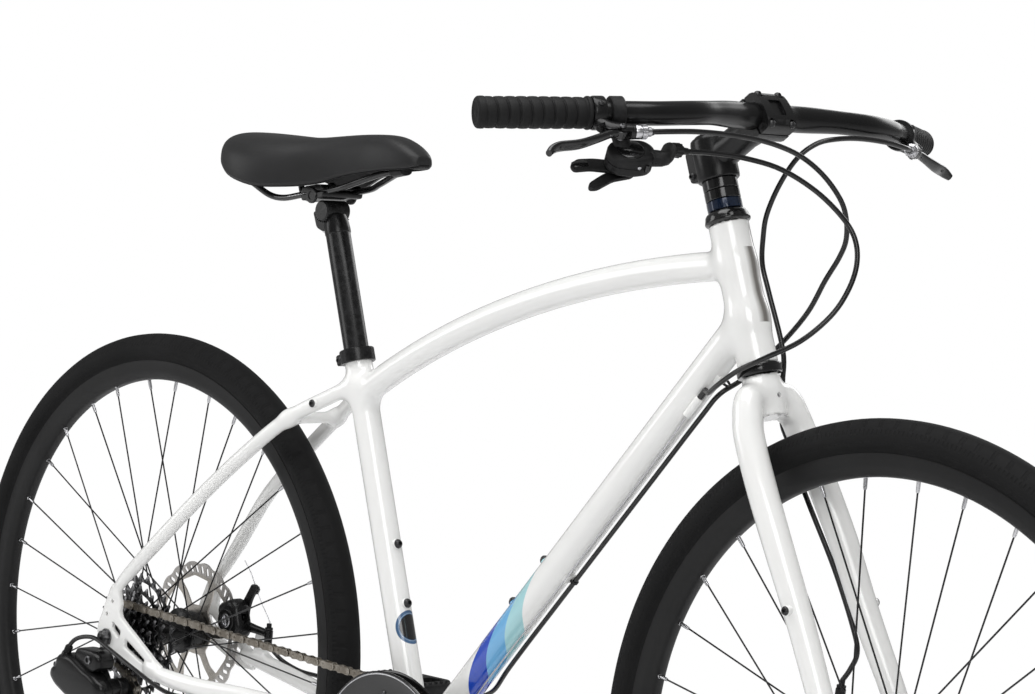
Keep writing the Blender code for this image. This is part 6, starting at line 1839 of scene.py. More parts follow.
# %% Perches
def perch(side, word):
    along, out, up = grip_frame(side)
    ring_centre = bar_at(side * RING_Y)
    band = turned(
        ring_centre - along * 0.006,
        along,
        [
            (0, 0.0112), (0, 0.0146), (0.0008, 0.0153), (0.002, 0.0156), (0.01, 0.0156), (0.0112, 0.0153),
            (0.012, 0.0146), (0.012, 0.0112),
        ],
        64,
        looped=True,
    )
    line = curve_through(
        [
            ring_centre + out * 0.01, ring_centre + out * 0.015, in_frame(side, 0.011, -0.004),
            in_frame(side, 0.002, -0.0012), in_frame(side, -0.006, -0.0004), in_frame(side, -0.0125, 0.0),
        ],
        4
    )
    arm = make(f"perch_arm_{word}", *drawn(line, eased([
        (0.0062, 0.006), (0.0072, 0.0064), (0.0085, 0.0072), (0.0082, 0.0074), (0.0074, 0.0072), (0.0068, 0.0068),
    ], len(line)), 32, hint=up))
    cut_by(
        arm,
        boxed(in_frame(side, 0.004, 0.003), (0.023, 0.024, 0.0096), along, out, up),
        boxed(in_frame(side, 0.022, 0.012), (0.04, 0.02, 0.0155), along, out, up),
        boxed(in_frame(side, 0.0265, 0.0045), (0.022, 0.02, 0.0155), along, out, up),
        rod(ring_centre - along * 0.05, along, 0.0113, 0.08, 40),
    )
    bevelled(arm, 0.0005, 2, 40)
    dress(arm, "steering", "black_alloy", "satin_black", f"lever_perch_{word}")
    gap = boxed(ring_centre - out * 0.015, (0.03, 0.0012, 0.012), along, up, out)
    ring_piece = cut_by(make(f"perch_band_{word}", *band), gap)
    dress(ring_piece, "steering", "black_alloy", "satin_black")
    barrel = [
        (-0.001, 0.005), (0, 0.0062), (0.001, 0.0067), (0.0058, 0.0067), (0.0062, 0.0058), (0.007, 0.0058),
        (0.0074, 0.0066), (0.012, 0.0064), (0.0128, 0.0054), (0.0132, 0.0043), (0.0165, 0.0041), (0.0167, 0),
    ]
    fitted(
        f"perch_barrel_{word}", turned(in_frame(side, -0.0112, 0), -along, barrel, 40), "steering", "bare_alloy",
        "nipple_silver",
    )
    teeth = [
        drawn(
            [
                in_frame(side, -0.0186, 0.0) + (out * math.cos(a) + up * math.sin(a)) * 0.0065,
                in_frame(side, -0.0228, 0.0) + (out * math.cos(a) + up * math.sin(a)) * 0.0064,
            ],
            0.0005, 6,
        )
        for a in [TAU * k / 16 for k in range(16)]
    ]
    fitted(f"perch_knurl_{word}", merged(*teeth), "steering", "bare_alloy", "nipple_silver")
    domed_bolt(f"perch_bolt_{word}", ring_centre + out * 0.004 + up * 0.015, up, 0.003, 0.002, "steering")
    for k, way in enumerate((1, -1)):
        domed_bolt(
            f"pivot_pin_{word}_{k}", in_frame(side, 0, 0, way * 0.0072), up * way, 0.0034, 0.0012, "steering",
            "dark_steel", "bare_alloy",
        )

# %% Blades
def blade(side, word):
    _, out, up = grip_frame(side)
    spine = [
        (0.0, 0.0), (0.006, 0.0012), (0.012, 0.003), (0.026, 0.01), (0.044, 0.0175), (0.062, 0.0205), (0.07, 0.0245),
        (0.0745, 0.03),
    ]
    line = curve_through([in_frame(side, p, q) for p, q in spine], 5)
    sizes = eased([
        (0.004, 0.0042), (0.0042, 0.0041), (0.0038, 0.0042), (0.0034, 0.0046), (0.003, 0.0056), (0.003, 0.0058),
        (0.0034, 0.0052), (0.003, 0.0036),
    ], len(line))
    shape = drawn(line, sizes, 28, hint=up)
    eye = turned(in_frame(side, 0, 0, -0.0042), up, [
        (0, 0.0026), (0, 0.0058), (0.0004, 0.0062), (0.008, 0.0062), (0.0084, 0.0058), (0.0084, 0.0026),
    ], 36, looped=True)
    fitted(
        f"lever_blade_{word}", merged(shape, eye), f"brake_lever_{word}", "lever_gloss", "gloss_plastic",
        f"brake_lever_{word}",
    )
    screw = turned(in_frame(side, 0.012, 0.0062), out, [
        (-0.002, 0.0018), (0.0008, 0.0018), (0.0012, 0.0012), (0.0004, 0.001), (0.0004, 0),
    ], 14)
    fitted(f"lever_screw_{word}", screw, f"brake_lever_{word}", "bare_alloy", "dark_steel")

# %% Both levers
for side, word in ((-1, "right"), (1, "left")):
    perch(side, word)
    blade(side, word)
print("levers on")

# %% [markdown]
# ## Shifter
#
# The gear shifter hangs under the right side of the bar on a clamp of its own. Its pod is a flat moulded case with a
# round cover, and the thumb works two paddles on one pin. The pod is a stack of rounded outlines, which gives the
# moulding its soft shoulders, and the paddles are plates with thick, rounded finger pads.

# %% Places round the pod
R_ALONG, R_OUT, R_UP = grip_frame(-1)
SHIFT_Y = -0.1995
POD = bar_at(-0.188) + R_OUT * 0.03 - R_UP * 0.0275
shift_ring = bar_at(SHIFT_Y)


def in_pod(p, q, r):
    return POD + R_ALONG * p + R_OUT * q + R_UP * r

# %% Pod
POD_OUTLINE = [
    (-0.023, -0.006), (-0.015, -0.016), (0.008, -0.0175), (0.02, -0.012), (0.024, 0.0), (0.018, 0.012), (0.0, 0.016),
    (-0.018, 0.012),
]
pod_line = rounded_outline(POD_OUTLINE, 0.0075, 6)
layers = [
    (0.6, -0.0108), (0.86, -0.0104), (0.95, -0.0096), (1.0, -0.0076), (1.0, -0.0012), (0.972, -0.001), (0.972, -0.0002),
    (1.0, 0.0), (1.0, 0.0056), (0.965, 0.0078), (0.86, 0.0092), (0.6, 0.0098),
]
fitted(
    "shifter_case", skin([[in_pod(p * k, q * k, r) for p, q in pod_line] for k, r in layers]), "steering",
    "control_plastic", "matt_plastic", "shifter_body", sharp=40,
)
parts = [
    turned(shift_ring - R_ALONG * 0.0062, R_ALONG, [
        (0, 0.0112), (0, 0.0148), (0.0008, 0.0155), (0.0116, 0.0155), (0.0124, 0.0148), (0.0124, 0.0112),
    ], 64, looped=True),
    drawn([
        shift_ring + R_OUT * 0.006 - R_UP * 0.01, in_pod(0.009, -0.01, 0.012), in_pod(0.006, -0.006, 0.004),
    ], [(0.006, 0.0062), (0.0064, 0.008), (0.0066, 0.01)], 28, hint=R_ALONG),
    drawn(curve_through([
        in_pod(-0.01, 0.0, 0.0), in_pod(-0.02, 0.002, 0.002), in_pod(-0.03, 0.0045, 0.0045), (0.369, -0.148, 0.9278),
    ], 3), eased([(0.0084, 0.0084), (0.0078, 0.0078), (0.0072, 0.0072), (0.0069, 0.0069)], 10), 32),
    turned(in_pod(0.0, 0.0, -0.01), -R_UP, [
        (0, 0.003), (0, 0.009), (0.0006, 0.0098), (0.001, 0.0098), (0.0012, 0.0035), (0.0096, 0.0035), (0.0096, 0.0062),
        (0.0104, 0.0056), (0.0106, 0),
    ], 36),
]
fitted("shifter_neck", merged(*parts), "steering", "control_plastic", "matt_plastic")
knob_way = Vector((-0.001, 0.027, -0.0006)).normalized()
knob_foot = Vector((0.369, -0.149, 0.9278))
ring_silver = turned(knob_foot, knob_way, [
    (0, 0), (0, 0.0066), (0.0006, 0.0068), (0.0012, 0.0066), (0.0012, 0.0042), (0.004, 0.0042), (0.004, 0),
], 36)
fitted("shifter_ring", ring_silver, "steering", "bare_alloy", "bright_steel")
rings = []
side_a = knob_way.cross(Z).normalized()
side_b = knob_way.cross(side_a)
for d, r in [
    (0.0042, 0.005), (0.0046, 0.0064), (0.0138, 0.0067), (0.0146, 0.0052), (0.015, 0.0036), (0.025, 0.0032),
    (0.0262, 0.0027),
]:
    rings.append(
        [
            knob_foot + knob_way * d + (side_a * math.cos(TAU * k / 72) + side_b * math.sin(TAU * k / 72)) * (
                r * (1 + (0.055 * math.cos(TAU * k / 72 * 12) if 0.0045 < d < 0.014 else 0))
            )
            for k in range(72)
        ]
    )
fitted("shifter_knob", skin(rings), "steering", "control_plastic", "matt_plastic", sharp=50)
domed_bolt(
    "shifter_clamp_bolt", shift_ring + R_OUT * 0.014 - R_ALONG * 0.0003 - R_UP * 0.0068, R_OUT, 0.0036, 0.0022,
    "steering", "nipple_silver", "bare_alloy",
)
domed_bolt(
    "shifter_cover_bolt", in_pod(-0.004, 0.016, 0.002), R_OUT, 0.0017, 0.0008, "steering", "nipple_silver",
    "bare_alloy",
)
cover = [turned(in_pod(0.002, -0.001, 0.009), R_UP, [(0, 0.013), (0.0012, 0.0128), (0.0018, 0.0118), (0.0018, 0)], 40)]
cover.append(drawn([
    in_pod(-0.012, 0.013, -0.003), in_pod(-0.012, 0.0148, -0.002), in_pod(-0.012, 0.0135, 0.003),
], 0.002, 12))
fitted("shifter_cover", merged(*cover), "steering", "control_plastic", "gloss_plastic")

# %% Paddles
def paddle(name, path, low, high, pad, away):
    """A flat finger lever on the shifter's pin; its thicker pad stands out on the side away from the other lever."""
    outline = rounded_outline(path, 0.004, 5)
    plate = skin([[in_pod(p, q, r) for p, q in outline] for r in (low, high)])
    piece = make(f"{name}_plate", *plate)
    cut_by(piece, rod(in_pod(0, 0, low - 0.005), R_UP, 0.0036, 0.02, 32))
    bevelled(piece, 0.0007, 2, 40)
    dress(piece, name, "control_plastic", "matt_plastic", name)
    (p1, q1), (p2, q2), wide = pad
    middle = (low + high) / 2 + 0.0006 * away
    line = [in_pod(p1 + (p2 - p1) * t, q1 + (q2 - q1) * t, middle) for t in (0, 0.08, 0.25, 0.75, 0.92, 1.0)]
    half = (high - low) / 2
    sizes = [
        (wide * s, (half + 0.0006) * s2)
        for s, s2 in ((0.35, 0.4), (0.78, 0.9), (1, 1), (1, 1), (0.78, 0.9), (0.35, 0.4))
    ]
    fitted(f"{name}_pad", drawn(line, sizes, 24, hint=R_UP), name, "control_plastic", "gloss_plastic")


paddle(
    "shift_thumb_lever",
    [
        (-0.007, -0.005), (0.0, -0.0085), (0.03, -0.013), (0.046, -0.012), (0.054, -0.004), (0.052, 0.004),
        (0.036, 0.002), (0.01, 0.006), (0.0, 0.008), (-0.007, 0.005),
    ],
    -0.0143,
    -0.0108,
    ((0.036, -0.006), (0.052, -0.003), 0.0058),
    1,
)
paddle(
    "shift_release_lever",
    [
        (-0.006, -0.005), (0.0, -0.0075), (0.024, 0.004), (0.04, 0.016), (0.042, 0.024), (0.034, 0.024), (0.016, 0.012),
        (0.0, 0.008), (-0.006, 0.005),
    ],
    -0.0186,
    -0.0148,
    ((0.031, 0.0155), (0.0392, 0.0215), 0.0042),
    -1,
)
print("shifter on")

# %% [markdown]
# ## Housings and wires
#
# Three black housings sweep from the controls. Two cross the steering on their way to the frame, each drawn as one
# fixed line. The third goes down the left fork leg. Below the frame's stops the gear cable runs bare, and small caps
# end each housing.

# %% Ferrules and housings
def ferrule(place, way, body, long=0.009):
    """The plastic or metal cap over a housing's end."""
    name = f"ferrule_{len([o for o in bpy.data.objects if o.name.startswith('ferrule')])}"
    shape = turned(vec(place) - vec(way).normalized() * (long * 0.5), way, [
        (0, 0.0026), (0.0004, 0.0031), (long - 0.0008, 0.0032), (long, 0.0026), (long, 0.0012),
    ], 24)
    return fitted(name, shape, body, "housing_plastic", "gloss_plastic")


def housing(name, points, body=None, radius=0.0025, shade="housing_sheath", each=6):
    line = curve_through(points, each)
    piece = make(name, *drawn(line, radius, 20))
    if body:
        dress(piece, body, "housing_plastic", shade)
    else:
        piece.data.materials.clear()
        piece.data.materials.append(SHADES[shade])
    return piece

# %% Housings and wires
UNDER = -0.0225
shift_front = [
    (0.368, -0.124, 0.9272), (0.3765, -0.095, 0.9268), (0.388, -0.065, 0.9238), (0.401, -0.03, 0.9155),
    (0.4155, 0.004, 0.897), (0.43, 0.028, 0.873), (0.441, 0.034, 0.853), (0.4465, 0.031, 0.83), (0.4465, 0.02, 0.8056),
    (0.44, 0.005, 0.782), (0.422, -0.014, 0.758), (0.392, -0.0285, 0.74), (0.362, -0.031, 0.726),
    (0.3343, -0.026, 0.711), (0.314, -0.017, 0.701),
    on_down(0.289, -0.0177, -0.0108), on_down(0.278, -0.0175, -0.0105),
]
piece = housing("shift_housing", shift_front)
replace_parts(piece, "shift_housing_front")
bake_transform(piece)
REAR_STOP, REAR_STOP_TOP = Vector((-0.4173, 0.0625, 0.349)), Vector((-0.4165, 0.0625, 0.373))
FRONT_STOP, FRONT_STOP_TOP = Vector((0.444, 0.044, 0.418)), Vector((0.4465, 0.0445, 0.44))
rear_brake = [
    in_frame(-1, -0.025, 0.0), (0.386, -0.164, 0.9438), (0.393, -0.135, 0.945), (0.399, -0.095, 0.9438),
    (0.4046, -0.055, 0.9395), (0.4085, -0.016, 0.9298), (0.4146, 0.012, 0.9135), (0.4189, 0.034, 0.8921),
    (0.4182, 0.046, 0.8737), (0.4147, 0.052, 0.853), (0.4057, 0.054, 0.8356), (0.3918, 0.052, 0.813),
    (0.3713, 0.053, 0.7813), (0.343, 0.048, 0.748), (0.318, 0.028, 0.715),
    on_down(0.2905, UNDER, 0.006), on_down(0.27, UNDER, 0.004), on_down(0.21, UNDER, 0.004),
    on_down(0.14, UNDER, 0.004),
    on_down(0.09, UNDER, 0.004), on_down(0.05, UNDER, 0.004), on_down(0.02, UNDER, 0.005),
    on_down(-0.002, -0.02, 0.012),
    on_down(-0.018, -0.01, 0.0195), (-0.035, 0.0235, 0.344), (-0.057, 0.025, 0.3175), (-0.081, 0.027, 0.3045),
    (-0.115, 0.0275, 0.3025), (-0.15, 0.027, 0.304), (-0.205, 0.031, 0.3125), (-0.26, 0.043, 0.3205),
    (-0.295, 0.053, 0.324), (-0.33, 0.065, 0.324), (-0.37, 0.073, 0.323),
    (-0.4, 0.0735, 0.329), (-0.412, 0.069, 0.338), REAR_STOP - Z * 0.0004,
]
piece = housing("rear_brake_housing", rear_brake)
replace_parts(piece, "rear_brake_housing_front", "rear_brake_housing_rear")
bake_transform(piece)
front_brake = [
    in_frame(1, -0.025, 0.0), (0.387, 0.168, 0.9435), (0.387, 0.14, 0.9475), (0.3844, 0.1, 0.9495),
    (0.38, 0.07, 0.9475), (0.3689, 0.055, 0.942), (0.357, 0.042, 0.9272), (0.343, 0.035, 0.9014),
    (0.332, 0.032, 0.8733), (0.327, 0.034, 0.8506), (0.326, 0.036, 0.8257), (0.334, 0.038, 0.8), (0.354, 0.0405, 0.745),
    (0.356, 0.0405, 0.715), (0.358, 0.039, 0.69), (0.36, 0.039, 0.6732), (0.3684, 0.04, 0.656), (0.3895, 0.043, 0.6103),
    (0.428, 0.046, 0.5437), (0.454, 0.0475, 0.4898),
    (0.46, 0.0475, 0.468), (0.454, 0.046, 0.452), FRONT_STOP_TOP + Z * 0.0004,
]
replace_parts(housing("front_brake_line", front_brake, "steering"), "front_brake_housing")
wire = [
    on_down(0.2665, -0.0178, -0.0098), on_down(0.22, -0.0187, -0.0072), on_down(0.1, -0.0187, -0.007),
    on_down(-0.025, -0.0187, -0.007), (-0.05, -0.0105, 0.276),
    (-0.062, -0.011, 0.262), (-0.081, -0.012, 0.255), (-0.103, -0.016, 0.259), (-0.15, -0.0265, 0.2755),
    (-0.205, -0.0305, 0.287), (-0.26, -0.0415, 0.2955), (-0.32, -0.054, 0.299), (-0.372, -0.0643, 0.3),
]
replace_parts(housing("shift_wire", wire, "frame", 0.0008, "bright_steel", 3), "shift_cable_rear")
loop = [
    (-0.369, -0.064, 0.3), (-0.395, -0.071, 0.3005), (-0.425, -0.079, 0.304), (-0.47, -0.084, 0.32),
    (-0.5149, -0.0865, 0.3365), (-0.531, -0.0872, 0.3424), (-0.544, -0.0882, 0.3466), (-0.553, -0.0895, 0.3473),
    (-0.564, -0.0915, 0.3458), (-0.5745, -0.0935, 0.3418), (-0.5816, -0.0955, 0.3348), (-0.5864, -0.0967, 0.3236),
]
housing("shift_loop", loop, "frame")
ferrule(loop[0], vec(loop[1]) - vec(loop[0]), "frame", 0.012)
ferrule(vec(loop[-1]) + Vector((-0.002, 0, -0.001)), vec(loop[-1]) - vec(loop[-2]), "frame", 0.01)
ferrule(on_down(0.288, -0.0177, -0.0108), DOWN_WAY, "frame", 0.012)
ferrule(in_frame(-1, -0.0275, 0.0), in_frame(-1, -1, 0) - in_frame(-1, 0, 0), "steering", 0.006)
ferrule(in_frame(1, -0.0275, 0.0), in_frame(1, -1, 0) - in_frame(1, 0, 0), "steering", 0.006)

# %% [markdown]
# ## Cable guides, stop and ties
#
# Under the down tube two small brazed guides and nylon ties hold the brake housing a little off the paint, and a
# drilled stop ends the gear cable's housing.

# %% Guides and stop
guides = []
for x in (0.111, 0.3):
    place = placed(DOWN_WAY, Y, DOWN_OUT, on_down(x, -0.0171))
    outline = rounded_outline([(-0.005, -0.007), (0.005, -0.007), (0.005, 0.007), (-0.005, 0.007)], 0.0018)
    guides.append(skin([[place @ Vector((a, b, c)) for a, b in outline] for c in (-0.0026, 0.0025)]))
guide_piece = bevelled(make("cable_guides", *merged(*guides)), 0.0006, 2, 40)
dress(guide_piece, "frame", "frame_paint", "white_paint")
stop_rod = cut_by(
    make("gear_stop", *turned(on_down(0.268, -0.0175, -0.0105), DOWN_WAY, [
        (0, 0), (0, 0.0038), (0.0006, 0.0044), (0.024, 0.0045), (0.0245, 0.004), (0.0245, 0),
    ], 32)),
    rod(on_down(0.2745, -0.0175, -0.0105), DOWN_WAY, 0.0029, 0.04, 20),
)
dress(stop_rod, "frame", "frame_paint", "white_paint")

# %% Ties
def tie(name, centre, way, wide, high, body):
    """A nylon tie round a housing: a flat band, its small lock and the cut end."""
    way = vec(way).normalized()
    side = way.cross(Y if abs(way.y) < 0.9 else X).normalized()
    up = way.cross(side)
    rings = []
    for k in range(28):
        a = TAU * k / 28
        place = centre + side * (math.cos(a) * high) + up * (math.sin(a) * wide)
        out = (side * math.cos(a) + up * math.sin(a)).normalized()
        rings.append([
            place + way * 0.0013 + out * 0.0006, place - way * 0.0013 + out * 0.0006, place - way * 0.0013,
            place + way * 0.0013,
        ])
    lock = boxed(centre + side * (high + 0.0012), (0.0034, 0.004, 0.003), way, up, side)
    end = boxed(centre + side * (high + 0.0022) + up * 0.003, (0.0022, 0.006, 0.0009), way, up, side)
    return fitted(name, merged(skin(rings, looped=True), lock, end), body, "housing_plastic", "matt_plastic")


for k, x in enumerate((0.111, 0.3)):
    tie(f"frame_tie_{k}", on_down(x, -0.0208, 0.0044), DOWN_WAY, 0.004, 0.0046, "frame")
print("cables on")

# %% [markdown]
# ## The chain
#
# The chain leaves each wheel where a straight line touches the next one, over the cog, the two pulleys of the rear
# mechanism and the chainring. Pins are set at equal steps along that path, and inner and outer links take turns
# between them.

# %% Pitch
PITCH, CHAIN_Y = 0.0127, -0.049
GUIDE, TENSION, CAGE_PIVOT = Vector((-0.5345, 0, 0.28)), Vector((-0.499, 0, 0.229)), Vector((-0.53, 0, 0.29))


def pitch_radius(teeth):
    """The radius of the circle through the pins on a toothed wheel."""
    return PITCH / (2 * math.sin(math.pi / teeth))

# %% Chain line
def chain_path():
    """Points of the rollers' line, closed."""
    wheels = [
        (REAR_AXLE, pitch_radius(18), 1), (GUIDE, pitch_radius(11), -1), (TENSION, pitch_radius(11), 1),
        (BRACKET, pitch_radius(42), 1),
    ]
    touch = []
    for i, (c1, r1, s1) in enumerate(wheels):
        c2, r2, s2 = wheels[(i + 1) % 4]
        d = c2 - c1
        tilt = math.atan2(d.z, d.x) + math.asin((s1 * r1 - s2 * r2) / math.hypot(d.x, d.z))
        left = Vector((-math.sin(tilt), 0, math.cos(tilt)))
        touch.append((c1 - left * (s1 * r1), c2 - left * (s2 * r2)))
    points = []
    for i, (centre, r, sense) in enumerate(wheels):
        come, leave = touch[i - 1][1] - centre, touch[i][0] - centre
        start = math.atan2(come.z, come.x)
        turn = ((math.atan2(leave.z, leave.x) - start) * sense) % TAU * sense
        steps = max(8, int(abs(turn) * r / 0.001))
        points += [
            centre + Vector((math.cos(start + turn * k / steps), 0, math.sin(start + turn * k / steps))) * r
            for k in range(steps + 1)
        ]
    return points

# %% Pins and plates of the chain
def spaced(points, pitch):
    """Pins at equal steps round a closed line, an even number of them."""
    closed = points + [points[0]]
    far = [0.0]
    for a, b in zip(closed, closed[1:]):
        far.append(far[-1] + (b - a).length)
    count = 2 * round(far[-1] / pitch / 2)
    out, k = [], 0
    for j in range(count):
        want = far[-1] * j / count
        while far[k + 1] < want:
            k += 1
        share = (want - far[k]) / (far[k + 1] - far[k])
        out.append(closed[k].lerp(closed[k + 1], share))
    return out


def link_plate(a, b, low, high, end, waist):
    """A waisted side plate between two pins with rounded edges."""
    way = (b - a).normalized()
    up = Vector((-way.z, 0, way.x))
    outline = []
    for centre, sense in ((b, 1), (a, -1)):
        outline += [(centre, math.cos(t) * sense, math.sin(t) * sense) for t in (-1.75, -1.2, -0.6, 0, 0.6, 1.2, 1.75)]
        outline.append(((a + b) / 2, 0, sense * waist / end))
    rings = []
    for y, trim in ((low, 0.00028), (low + 0.00025, 0.0), (high - 0.00025, 0.0), (high, 0.00028)):
        rings.append(
            [c + way * (p * (end - trim)) + up * (q * (end - trim)) + Y * (CHAIN_Y + y) for c, p, q in outline]
        )
    return skin(rings)

# %% Chain links
route = chain_path()
pins = spaced(route, PITCH)
links = []
for k, pin in enumerate(pins):
    after = pins[(k + 1) % len(pins)]
    if k % 2:
        sides, end, waist = (0.00245, 0.00345), 0.0043, 0.0034
    else:
        sides, end, waist = (0.0013, 0.00225), 0.0042, 0.0031
    links.append(link_plate(pin, after, sides[0], sides[1], end, waist))
    links.append(link_plate(pin, after, -sides[1], -sides[0], end, waist))
    links.append(turned(pin + Y * (CHAIN_Y - 0.0041), Y, [
        (0, 0), (0, 0.0013), (0.0004, 0.0018), (0.0078, 0.0018), (0.0082, 0.0013), (0.0082, 0),
    ], 8))
    links.append(turned(pin + Y * (CHAIN_Y - 0.0012), Y, [
        (0, 0.0019), (0, 0.0037), (0.0002, 0.0039), (0.0022, 0.0039), (0.0024, 0.0037), (0.0024, 0.0019),
    ], 10, looped=True))
chain = make("chain_links", *merged(*links), sharp=40)
chain.data.materials.append(SHADES["chain_steel"])
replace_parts(chain, "chain")
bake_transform(chain)
print("chain links:", len(pins), "step:", round((pins[1] - pins[0]).length * 1000, 2), "mm")

# %% [markdown]
# ## Toothed wheels
#
# The rollers of a chain sit in round seats between short blunt teeth. One tooth is drawn in its own small frame and
# wrapped round a circle as often as the wheel has teeth. The cassette's eight cogs grow towards the spokes; the large
# ones are cut away to save weight, so the light comes through them.

# %% One tooth
TOOTH = [
    (-0.00635, -0.0039), (-0.0046, -0.0034), (-0.003, -0.0018), (-0.0022, 0.0003), (-0.0014, 0.0021), (-0.0006, 0.0029),
    (0.0006, 0.0029), (0.0014, 0.0021), (0.0022, 0.0003), (0.003, -0.0018), (0.0046, -0.0034),
]


def tooth_ring(centre, teeth, turn=0.0, trim=0.0, tall=1.0):
    """The outline of a toothed wheel, its teeth lowered by a trim."""
    out = []
    for k in range(teeth):
        for u, v in TOOTH:
            angle = turn + TAU * (k + u / PITCH) / teeth
            far = pitch_radius(teeth) + v * (tall if v > 0 else 1.0) - (trim if v > 0 else 0.0)
            out.append(around(centre, far, angle))
    return out


def toothed(centre, teeth, y, half, inner, turn=0.0, tall=1.0):
    """A toothed plate with a round hole and its teeth thinned towards the tips."""
    angles = [turn + TAU * (k + u / PITCH) / teeth for k in range(teeth) for u, _ in TOOTH]
    rings = []
    for place, trim in ((-half, 0.0009), (-half * 0.45, 0.0), (half * 0.45, 0.0), (half, 0.0009)):
        rings.append([Vector((x, y + place, z)) for x, z in tooth_ring(centre, teeth, turn, trim, tall)])
    for place in (half, -half):
        rings.append(
            [Vector((centre.x + inner * math.cos(a), y + place, centre.z + inner * math.sin(a))) for a in angles]
        )
    return skin(rings, looped=True)

# %% Meshing and windows
def meshing(centre, teeth):
    """The turn that puts a wheel's teeth between the pins that lie on it."""
    near = [p for p in pins if abs((p - centre).length - pitch_radius(teeth)) < 0.0012]
    middle = near[len(near) // 2] - centre
    return math.atan2(middle.z, middle.x) + math.pi / teeth


def window(centre, inner, outer, middle, wide, low, high, radius=0.006, narrow=1.0):
    """A cutter for a window between two radii, so many degrees wide at the outer one."""
    edge = []
    for far, span in ((inner, wide * narrow), (outer, wide)):
        row = [middle + span * (k / 4 - 0.5) for k in range(5)]
        edge.append(
            [(centre.x + far * math.cos(math.radians(a)), centre.z + far * math.sin(math.radians(a))) for a in row]
        )
    return plated(rounded_outline(edge[0] + edge[1][::-1], radius), low, high)

# %% Cassette
TEETH = (11, 13, 15, 18, 21, 24, 28, 34)
FIRST_COG_Y, COG_STEP = -0.0634, 0.0048
for k, teeth in enumerate(TEETH):
    y = FIRST_COG_Y + COG_STEP * k
    piece = make(
        f"cog_{teeth}",
        *toothed(REAR_AXLE, teeth, y, 0.0009, 0.0165, meshing(REAR_AXLE, 18) if teeth == 18 else 0.35 * k), sharp=30,
    )
    far = pitch_radius(teeth) - 0.0068
    if teeth >= 24:
        arms = 5 if teeth < 34 else 6
        cut_by(
            piece,
            *[
                window(
                    REAR_AXLE, 0.0245, far, 360 / arms * (j + 0.15 * k), 300 / arms, y - 0.003, y + 0.003, 0.005, 0.62,
                )
                for j in range(arms)
            ],
        )
    elif teeth >= 18:
        cut_by(
            piece,
            *[
                plated(ring_of(around(REAR_AXLE, far - 0.004, TAU * j / 9), 0.0026, 14), y - 0.003, y + 0.003)
                for j in range(9)
            ],
        )
    dress(piece, "cassette", "drive_steel", "cog_steel")
spacers = []
for k in range(len(TEETH) - 1):
    y = FIRST_COG_Y + COG_STEP * k
    spacers.append(turned(REAR_AXLE, Y, [
        (y + 0.0009, 0.016), (y + 0.0009, 0.0192), (y + 0.0015, 0.0196), (y + 0.0033, 0.0196), (y + 0.0039, 0.0192),
        (y + 0.0039, 0.016),
    ], 40, looped=True))
spacers.append(turned(REAR_AXLE, Y, [
    (-0.0646, 0.0052), (-0.0646, 0.0164), (-0.0262, 0.0164), (-0.0262, 0.0052),
], 40, looped=True))
fitted("cassette_spacers", merged(*spacers), "cassette", "drive_steel", "bolt_black", "cassette")
notched = []
for k in range(96):
    a, deep = TAU * k / 96, 0.0012 if k % 8 < 4 else 0.0
    notched.append((a, 0.0112 + deep))
lock_rings = []
for y, outer in ((-0.0668, 0.015), (-0.0669, 0.0162), (-0.0664, 0.0171), (-0.0646, 0.0173)):
    lock_rings.append(
        [Vector((REAR_AXLE.x + outer * math.cos(a), y, REAR_AXLE.z + outer * math.sin(a))) for a, _ in notched]
    )
for y in (-0.0646, -0.0668):
    lock_rings.append([Vector((REAR_AXLE.x + r * math.cos(a), y, REAR_AXLE.z + r * math.sin(a))) for a, r in notched])
fitted("cassette_lockring", skin(lock_rings, looped=True), "cassette", "drive_steel", "dark_steel")
print("cogs:", TEETH)

# %% [markdown]
# ## Chainring, guard and cranks
#
# Two black discs stand on either side of the chainring and keep trousers off the chain. The outer one is dished, with
# a raised rim and a thin bright line inside it. The arms are forged: thick at the axle and at the pedal, slim between
# them, and soft everywhere, so they are made like the frame's welds, from distances joined smoothly.

# %% Chainring and guards
RING_BOLTS = [72 * k + 20 for k in range(5)]


def spot(centre, far, degrees, y):
    return Vector(
        (centre.x + far * math.cos(math.radians(degrees)), y, centre.z + far * math.sin(math.radians(degrees)))
    )


def hollowed(piece, low, high, inner, outer, wide=46):
    """Five windows between the bolts."""
    return cut_by(
        piece,
        *[window(BRACKET, inner, outer, a + 36, wide, low - 0.004, high + 0.004, 0.007, 0.72) for a in RING_BOLTS],
    )


ring = make("chainring_teeth", *toothed(BRACKET, 42, CHAIN_Y, 0.001, 0.049, meshing(BRACKET, 42)), sharp=30)
hollowed(ring, CHAIN_Y, CHAIN_Y, 0.056, 0.0735)
dress(ring, "crankset", "drive_steel", "cog_steel", "chainring")
disc_profile = [
    (-0.0433, 0.046), (-0.0433, 0.0955), (-0.043, 0.0972), (-0.0423, 0.098), (-0.0416, 0.0974), (-0.0414, 0.0955),
    (-0.0414, 0.046),
]
inner_disc = make("inner_guard", *turned(BRACKET, Y, disc_profile, 120, looped=True))
hollowed(inner_disc, -0.0433, -0.0414, 0.056, 0.0735)
dress(inner_disc, "crankset", "guard_plastic", "gloss_plastic")
guard_profile = [
    (-0.0545, 0.0565), (-0.0566, 0.0565), (-0.0568, 0.058), (-0.0562, 0.064), (-0.0552, 0.07), (-0.0551, 0.08),
    (-0.0556, 0.0875), (-0.0566, 0.0925), (-0.0571, 0.095), (-0.057, 0.0972), (-0.056, 0.0982), (-0.0548, 0.098),
    (-0.0545, 0.0965), (-0.0548, 0.0925), (-0.054, 0.0875), (-0.0534, 0.08), (-0.0534, 0.07), (-0.054, 0.064),
]
